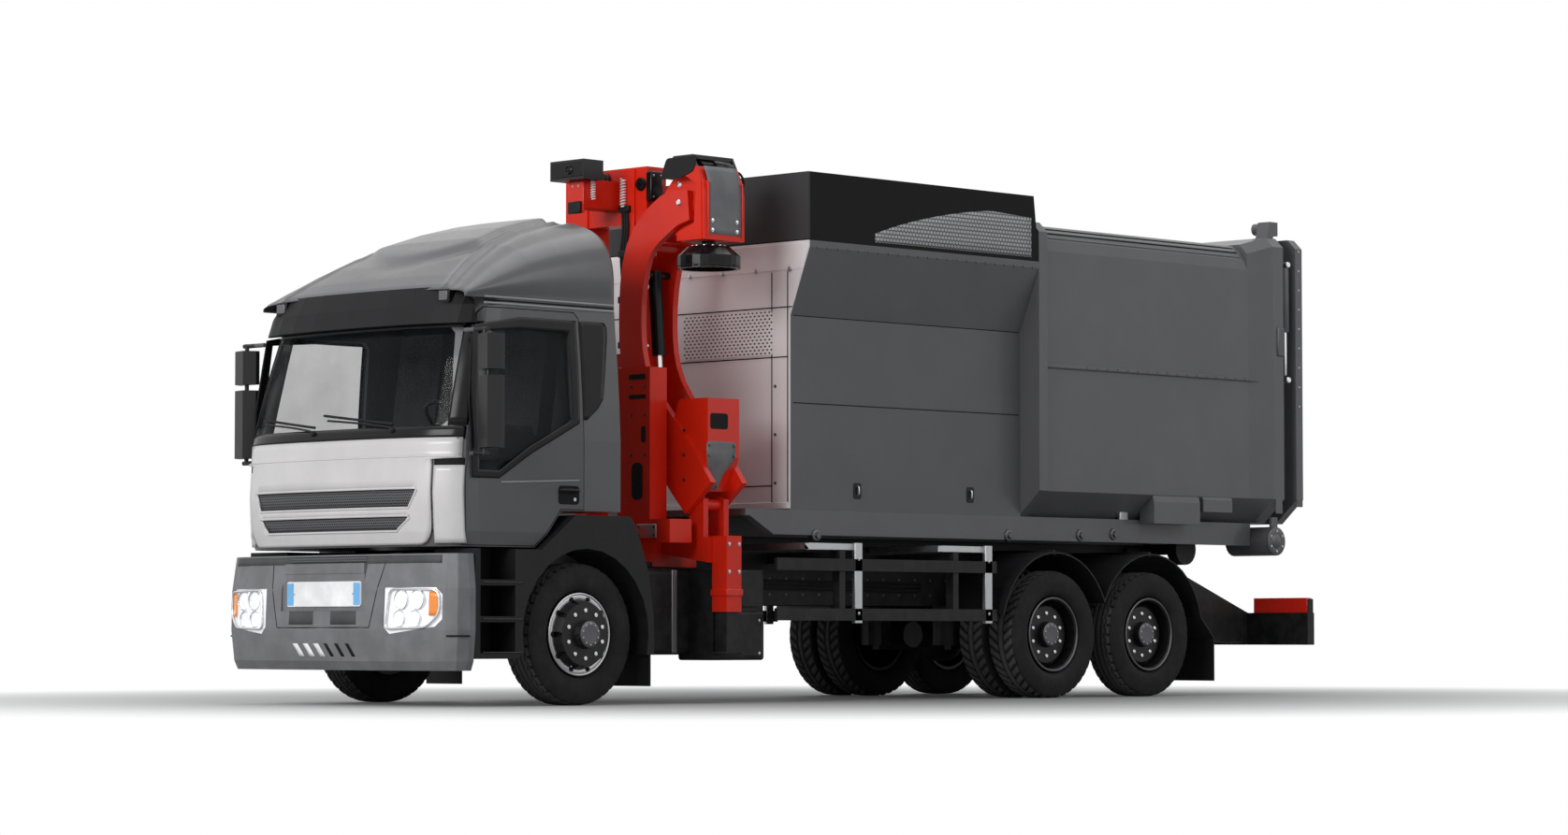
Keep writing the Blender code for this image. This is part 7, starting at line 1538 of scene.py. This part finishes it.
def cushion(name, middle, size, crown, body):
    """A stuffed block: a rounded box that swells under cloth pressure, then is subdivided."""
    half = np.asarray(size, dtype=float) / 2
    rows = 22
    turn, rise = np.meshgrid(np.linspace(0, TAU, 44, endpoint=False),
                             np.linspace(-math.pi / 2, math.pi / 2, rows), indexing="xy")
    power = 0.30
    ring = np.sign(np.cos(rise)) * np.abs(np.cos(rise)) ** power
    x = half[0] * ring * np.sign(np.cos(turn)) * np.abs(np.cos(turn)) ** power
    y = half[1] * ring * np.sign(np.sin(turn)) * np.abs(np.sin(turn)) ** power
    z = half[2] * np.sign(np.sin(rise)) * np.abs(np.sin(rise)) ** power
    points = np.stack([x, y, z], axis=-1) + np.asarray(middle)
    pad = mesh_piece(name, points, grid_faces(rows, 44, False, True), "cloth", body, 60.0)
    remesh = pad.modifiers.new("skin", "REMESH")
    remesh.mode = "VOXEL"
    remesh.voxel_size = 0.010
    applied(pad)
    before = coordinates(pad)
    cloth = pad.modifiers.new("stuffing", "CLOTH")
    cloth.settings.use_pressure = True
    cloth.settings.uniform_pressure_force = 4.0
    cloth.settings.effector_weights.gravity = 0.0
    for step in range(1, 21):
        bpy.context.scene.frame_set(step)
    applied(pad)
    bpy.context.scene.frame_set(1)
    moved = coordinates(pad) - before
    length = np.linalg.norm(moved, axis=1)[:, None]
    moved *= np.minimum(1.0, crown / np.maximum(length, 1e-9))
    pad.data.vertices.foreach_set("co", (before + moved).ravel())
    pad.data.shade_smooth()
    pad.data.update()
    smooth = pad.modifiers.new("smooth", "SUBSURF")
    smooth.levels = smooth.render_levels = 1
    return pad


def applied(piece):
    """Writes a piece's modifiers into its mesh."""
    graph = bpy.context.evaluated_depsgraph_get()
    mesh = bpy.data.meshes.new_from_object(piece.evaluated_get(graph))
    piece.modifiers.clear()
    piece.data = mesh


def coordinates(piece):
    """A piece's vertices as an array."""
    places = np.empty(len(piece.data.vertices) * 3)
    piece.data.vertices.foreach_get("co", places)
    return places.reshape(-1, 3)


class TRUCK_OT_seats(bpy.types.Operator):
    """Upholsters the two cab seats with stuffed cushions"""
    bl_idname = "truck.seats"
    bl_label = "Seats"

    def execute(self, context):
        crown = round(context.scene.truck_sizes.cushion_crown, 6)
        for name in EITHER:
            low, high = np.array(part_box("seat_" + name)) - (0, FRONT_AXLE_Y, 0)
            x = (low[0] + high[0]) / 2
            wide = high[0] - low[0]
            cushion("seat_pad_" + name, (x, low[1] + 0.255, 1.905),
                    (wide - 0.06, 0.44, 0.10), crown, "cab")
            cushion("back_pad_" + name, (x, high[1] - 0.125, 2.27), (wide - 0.07, 0.10, 0.56),
                    crown, "cab")
        return {"FINISHED"}


class Stage:
    """Where the studio and the camera stand."""

    AZIMUTH = 44.4
    PITCH = 2.919
    LENS = 97.73
    CAMERA_X = 23.042
    CAMERA_Y = -20.313
    CAMERA_Z = 0.4975


def area_lamp(name, place, aim, size, power):
    """A large soft lamp that points at a place."""
    lamp = bpy.data.lights.new(name, "AREA")
    lamp.energy = power
    lamp.shape = "RECTANGLE"
    lamp.size, lamp.size_y = size
    holder = bpy.data.objects.new(name, lamp)
    bpy.context.scene.collection.objects.link(holder)
    holder.location = place
    holder.rotation_euler = (Vector(aim) - Vector(place)).to_track_quat("-Z", "Y").to_euler()
    return holder


class TRUCK_PG_sizes(bpy.types.PropertyGroup):
    """Sizes that a user would change"""
    tread_depth: FloatProperty(name="Tread depth", description="Depth of the tyres' grooves",
                               default=0.011, min=0.0, max=0.02, unit="LENGTH")
    tread_blocks: IntProperty(name="Tread blocks", description="Blocks of tread round a tyre",
                              default=40, min=8, max=80)
    cushion_crown: FloatProperty(name="Cushion crown",
                                 description="How far a seat's cushion may swell",
                                 default=0.022, min=0.0, max=0.05, unit="LENGTH")


class TRUCK_PG_finish(bpy.types.PropertyGroup):
    """Colours of the truck's paints."""
    # The cab colour is the cab's light grey paint darkened, as painted shade on the cab's sides and
    # roof.
    cab: FloatVectorProperty(name="Cab", description="Cab paint", subtype="COLOR", size=3,
                             default=(0.088, 0.088, 0.092))
    # The body colour is the body paint darkened, as painted shade on the sides; the hopper's front
    # wall takes a lit copy.
    body: FloatVectorProperty(name="Body", description="Hopper and container paint",
                              subtype="COLOR", size=3, default=(0.105, 0.105, 0.11))
    crane: FloatVectorProperty(name="Crane", description="Crane paint", subtype="COLOR", size=3,
                               default=(0.68, 0.016, 0.002))


class TRUCK_OT_stage(bpy.types.Operator):
    """Builds the floor, the lamps, the surroundings and the camera"""
    bl_idname = "truck.stage"
    bl_label = "Studio"

    def execute(self, context):
        scene = context.scene
        scene.view_settings.view_transform = "Standard"
        mesh = bpy.data.meshes.new("floor")
        mesh.from_pydata([(-400, -400, 0), (400, -400, 0), (400, 400, 0), (-400, 400, 0)], [],
                         [(0, 1, 2, 3)])
        floor = bpy.data.objects.new("floor", mesh)
        scene.collection.objects.link(floor)
        recipe = self.floor_recipe()
        mesh.materials.append(recipe.material)
        world = bpy.data.worlds.new("studio")
        world.use_nodes = True
        tree = world.node_tree
        back = tree.nodes["Background"]
        seen = tree.nodes.new("ShaderNodeBackground")
        seen.inputs["Color"].default_value = (1, 1, 1, 1)
        back.inputs["Color"].default_value = (0.9, 0.95, 1.0, 1)
        back.inputs["Strength"].default_value = 0.25
        path = tree.nodes.new("ShaderNodeLightPath")
        shown = path.outputs["Is Camera Ray"]
        for kind in ("Is Transmission Ray", "Is Glossy Ray"):
            either = tree.nodes.new("ShaderNodeMath")
            either.operation = "MAXIMUM"
            tree.links.new(shown, either.inputs[0])
            tree.links.new(path.outputs[kind], either.inputs[1])
            shown = either.outputs[0]
        mixer = tree.nodes.new("ShaderNodeMixShader")
        tree.links.new(shown, mixer.inputs[0])
        tree.links.new(back.outputs[0], mixer.inputs[1])
        tree.links.new(seen.outputs[0], mixer.inputs[2])
        tree.links.new(mixer.outputs[0], tree.nodes["World Output"].inputs["Surface"])
        scene.world = world
        area_lamp("key", (2.5, -17, 7), (0, -3, 1.8), (9, 6), 1500)
        area_lamp("side", (15, 3, 10), (0, 1, 1.8), (12, 6), 420)
        area_lamp("top", (0, 0, 14), (0, 0, 0), (10, 14), 600)
        camera = bpy.data.cameras.new("camera")
        camera.lens = Stage.LENS
        camera.sensor_width = 36.0
        camera.clip_end = 500
        holder = bpy.data.objects.new("camera", camera)
        scene.collection.objects.link(holder)
        holder.location = (Stage.CAMERA_X, at(Stage.CAMERA_Y), Stage.CAMERA_Z)
        holder.rotation_euler = (math.radians(90 + Stage.PITCH), 0, math.radians(Stage.AZIMUTH))
        scene.camera = holder
        return {"FINISHED"}

    def floor_recipe(self):
        """A matt floor that keeps the shadow near the truck, with a painted shadow that darkens its
        colour towards the truck, and is plain white far from it.
        """
        recipe = Recipe("floor")
        tree = recipe.tree
        grain = recipe.span(recipe.noise(0.8, 5.0), 0.3, 0.7)
        x, y, _ = recipe.apart(recipe.place)
        wide, deep = x / 8.0, y / 9.5
        away = wide * wide + deep * deep
        tone = recipe.mix(grain, (0.80, 0.80, 0.80), (0.84, 0.84, 0.84))
        # Painted shadow: the floor's colour darkens to 0.26 grey towards the truck.
        recipe.set(Base_Color=recipe.mix(recipe.span(away, 0.0, 0.9), (0.26, 0.26, 0.26), tone),
                   Roughness=0.7)
        far = recipe.span(away, 0.08, 1.0) * recipe.span(away, 0.08, 1.0, 0.35, 1.0)
        path = recipe.node("ShaderNodeLightPath")
        sheet = tree.nodes.new("ShaderNodeAddShader")
        near = tree.nodes.new("ShaderNodeMixShader")
        mixer = tree.nodes.new("ShaderNodeMixShader")
        glow, white = (tree.nodes.new("ShaderNodeEmission") for _ in range(2))
        for lamp, strength in ((glow, 0.02), (white, 1.0)):
            lamp.inputs["Color"].default_value = (1, 1, 1, 1)
            lamp.inputs["Strength"].default_value = strength
        tree.links.new(recipe.shader.outputs[0], sheet.inputs[0])
        tree.links.new(glow.outputs[0], sheet.inputs[1])
        recipe.feed(near.inputs[0], far)
        tree.links.new(sheet.outputs[0], near.inputs[1])
        tree.links.new(white.outputs[0], near.inputs[2])
        recipe.feed(mixer.inputs[0], path["Is Camera Ray"])
        tree.links.new(recipe.shader.outputs[0], mixer.inputs[1])
        tree.links.new(near.outputs[0], mixer.inputs[2])
        tree.links.new(mixer.outputs[0], tree.nodes["Material Output"].inputs["Surface"])
        return recipe


NODE_FINISHES = {
    "cab_paint": ("cab_shell", "cab_roof"),
    "door_paint": ("door_left", "door_right"),
    "body_paint": ("container", "tailgate", "body_base"),
    "hopper_lit_front_paint": ("hopper",),
    "column_paint": ("crane_base",),
    "head_paint": ("crane_head",),
    "crane_paint": ("boom",),
    "chassis_paint": ("chassis_frame", "engine_block", "front_axle", "drive_axle", "tag_axle",
                      "rear_underrun", "knuckle_left", "knuckle_right", "side_tank_left",
                      "side_tank_right", "side_guard_left", "side_guard_right",
                      "stabiliser_left", "stabiliser_right"),
    "black_plastic": ("dashboard", "front_wing_left", "front_wing_right", "mudguard_left",
                      "mudguard_right"),
    "visor_plastic": ("sun_visor",),
    "gloss_black": ("coupler", "lift_barrel"),
    "lamp_white": ("headlamp_left", "headlamp_right"),
    "screen_lit_front_paint": ("hopper_screen",),
    "grey_plastic": ("front_bumper",),
    "rim_black": ("front_rim_left", "front_rim_right", "drive_rim_left", "drive_rim_right",
                  "tag_rim_left", "tag_rim_right"),
    "bright_metal": ("lift_rod",),
    "tyre": ("front_tyre_left", "front_tyre_right", "drive_inner_tyre_left",
             "drive_inner_tyre_right", "drive_outer_tyre_left", "drive_outer_tyre_right",
             "tag_tyre_left", "tag_tyre_right"),
    "screen_glass": ("windscreen",),
    "side_glass": ("door_glass_left", "door_glass_right"),
    "cloth": ("seat_left", "seat_right"),
}


class TRUCK_OT_paint(bpy.types.Operator):
    """Gives each solid of the model its finish"""
    bl_idname = "truck.paint"
    bl_label = "Finishes"

    def execute(self, context):
        for name, nodes in NODE_FINISHES.items():
            for node in nodes:
                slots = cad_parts[node].data.materials
                slots.clear()
                slots.append(finish(name))
        return {"FINISHED"}


class TRUCK_PT_panel(bpy.types.Panel):
    """Lists the truck's builders"""
    bl_idname = "TRUCK_PT_panel"
    bl_label = "Refuse truck"
    bl_space_type = "VIEW_3D"
    bl_region_type = "UI"
    bl_category = "Refuse truck"

    def draw(self, context):
        layout = self.layout
        for name in ("cab", "body", "crane"):
            layout.prop(context.scene.truck_finish, name)
        for name in ("tread_depth", "tread_blocks", "cushion_crown"):
            layout.prop(context.scene.truck_sizes, name)
        for operator in OPERATORS:
            layout.operator(operator.bl_idname)


OPERATORS = (TRUCK_OT_stage, TRUCK_OT_paint, TRUCK_OT_front_panel, TRUCK_OT_corners,
             TRUCK_OT_wipers, TRUCK_OT_roof, TRUCK_OT_visor, TRUCK_OT_cab_sides, TRUCK_OT_steps,
             TRUCK_OT_bumper, TRUCK_OT_tyres, TRUCK_OT_rims, TRUCK_OT_crane_base, TRUCK_OT_mast,
             TRUCK_OT_crane_head, TRUCK_OT_boom, TRUCK_OT_hopper, TRUCK_OT_container,
             TRUCK_OT_tailgate, TRUCK_OT_rear, TRUCK_OT_chassis, TRUCK_OT_seats)
CLASSES = (TRUCK_PG_finish, TRUCK_PG_sizes, *OPERATORS, TRUCK_PT_panel)


def register():
    for item in CLASSES:
        bpy.utils.register_class(item)
    bpy.types.Scene.truck_finish = PointerProperty(type=TRUCK_PG_finish)
    bpy.types.Scene.truck_sizes = PointerProperty(type=TRUCK_PG_sizes)


def unregister():
    del bpy.types.Scene.truck_sizes
    del bpy.types.Scene.truck_finish
    for item in reversed(CLASSES):
        bpy.utils.unregister_class(item)


def main():
    register()
    for operator in OPERATORS:
        group, name = operator.bl_idname.split(".")
        getattr(getattr(bpy.ops, group), name)()


if __name__ == "__main__":
    main()
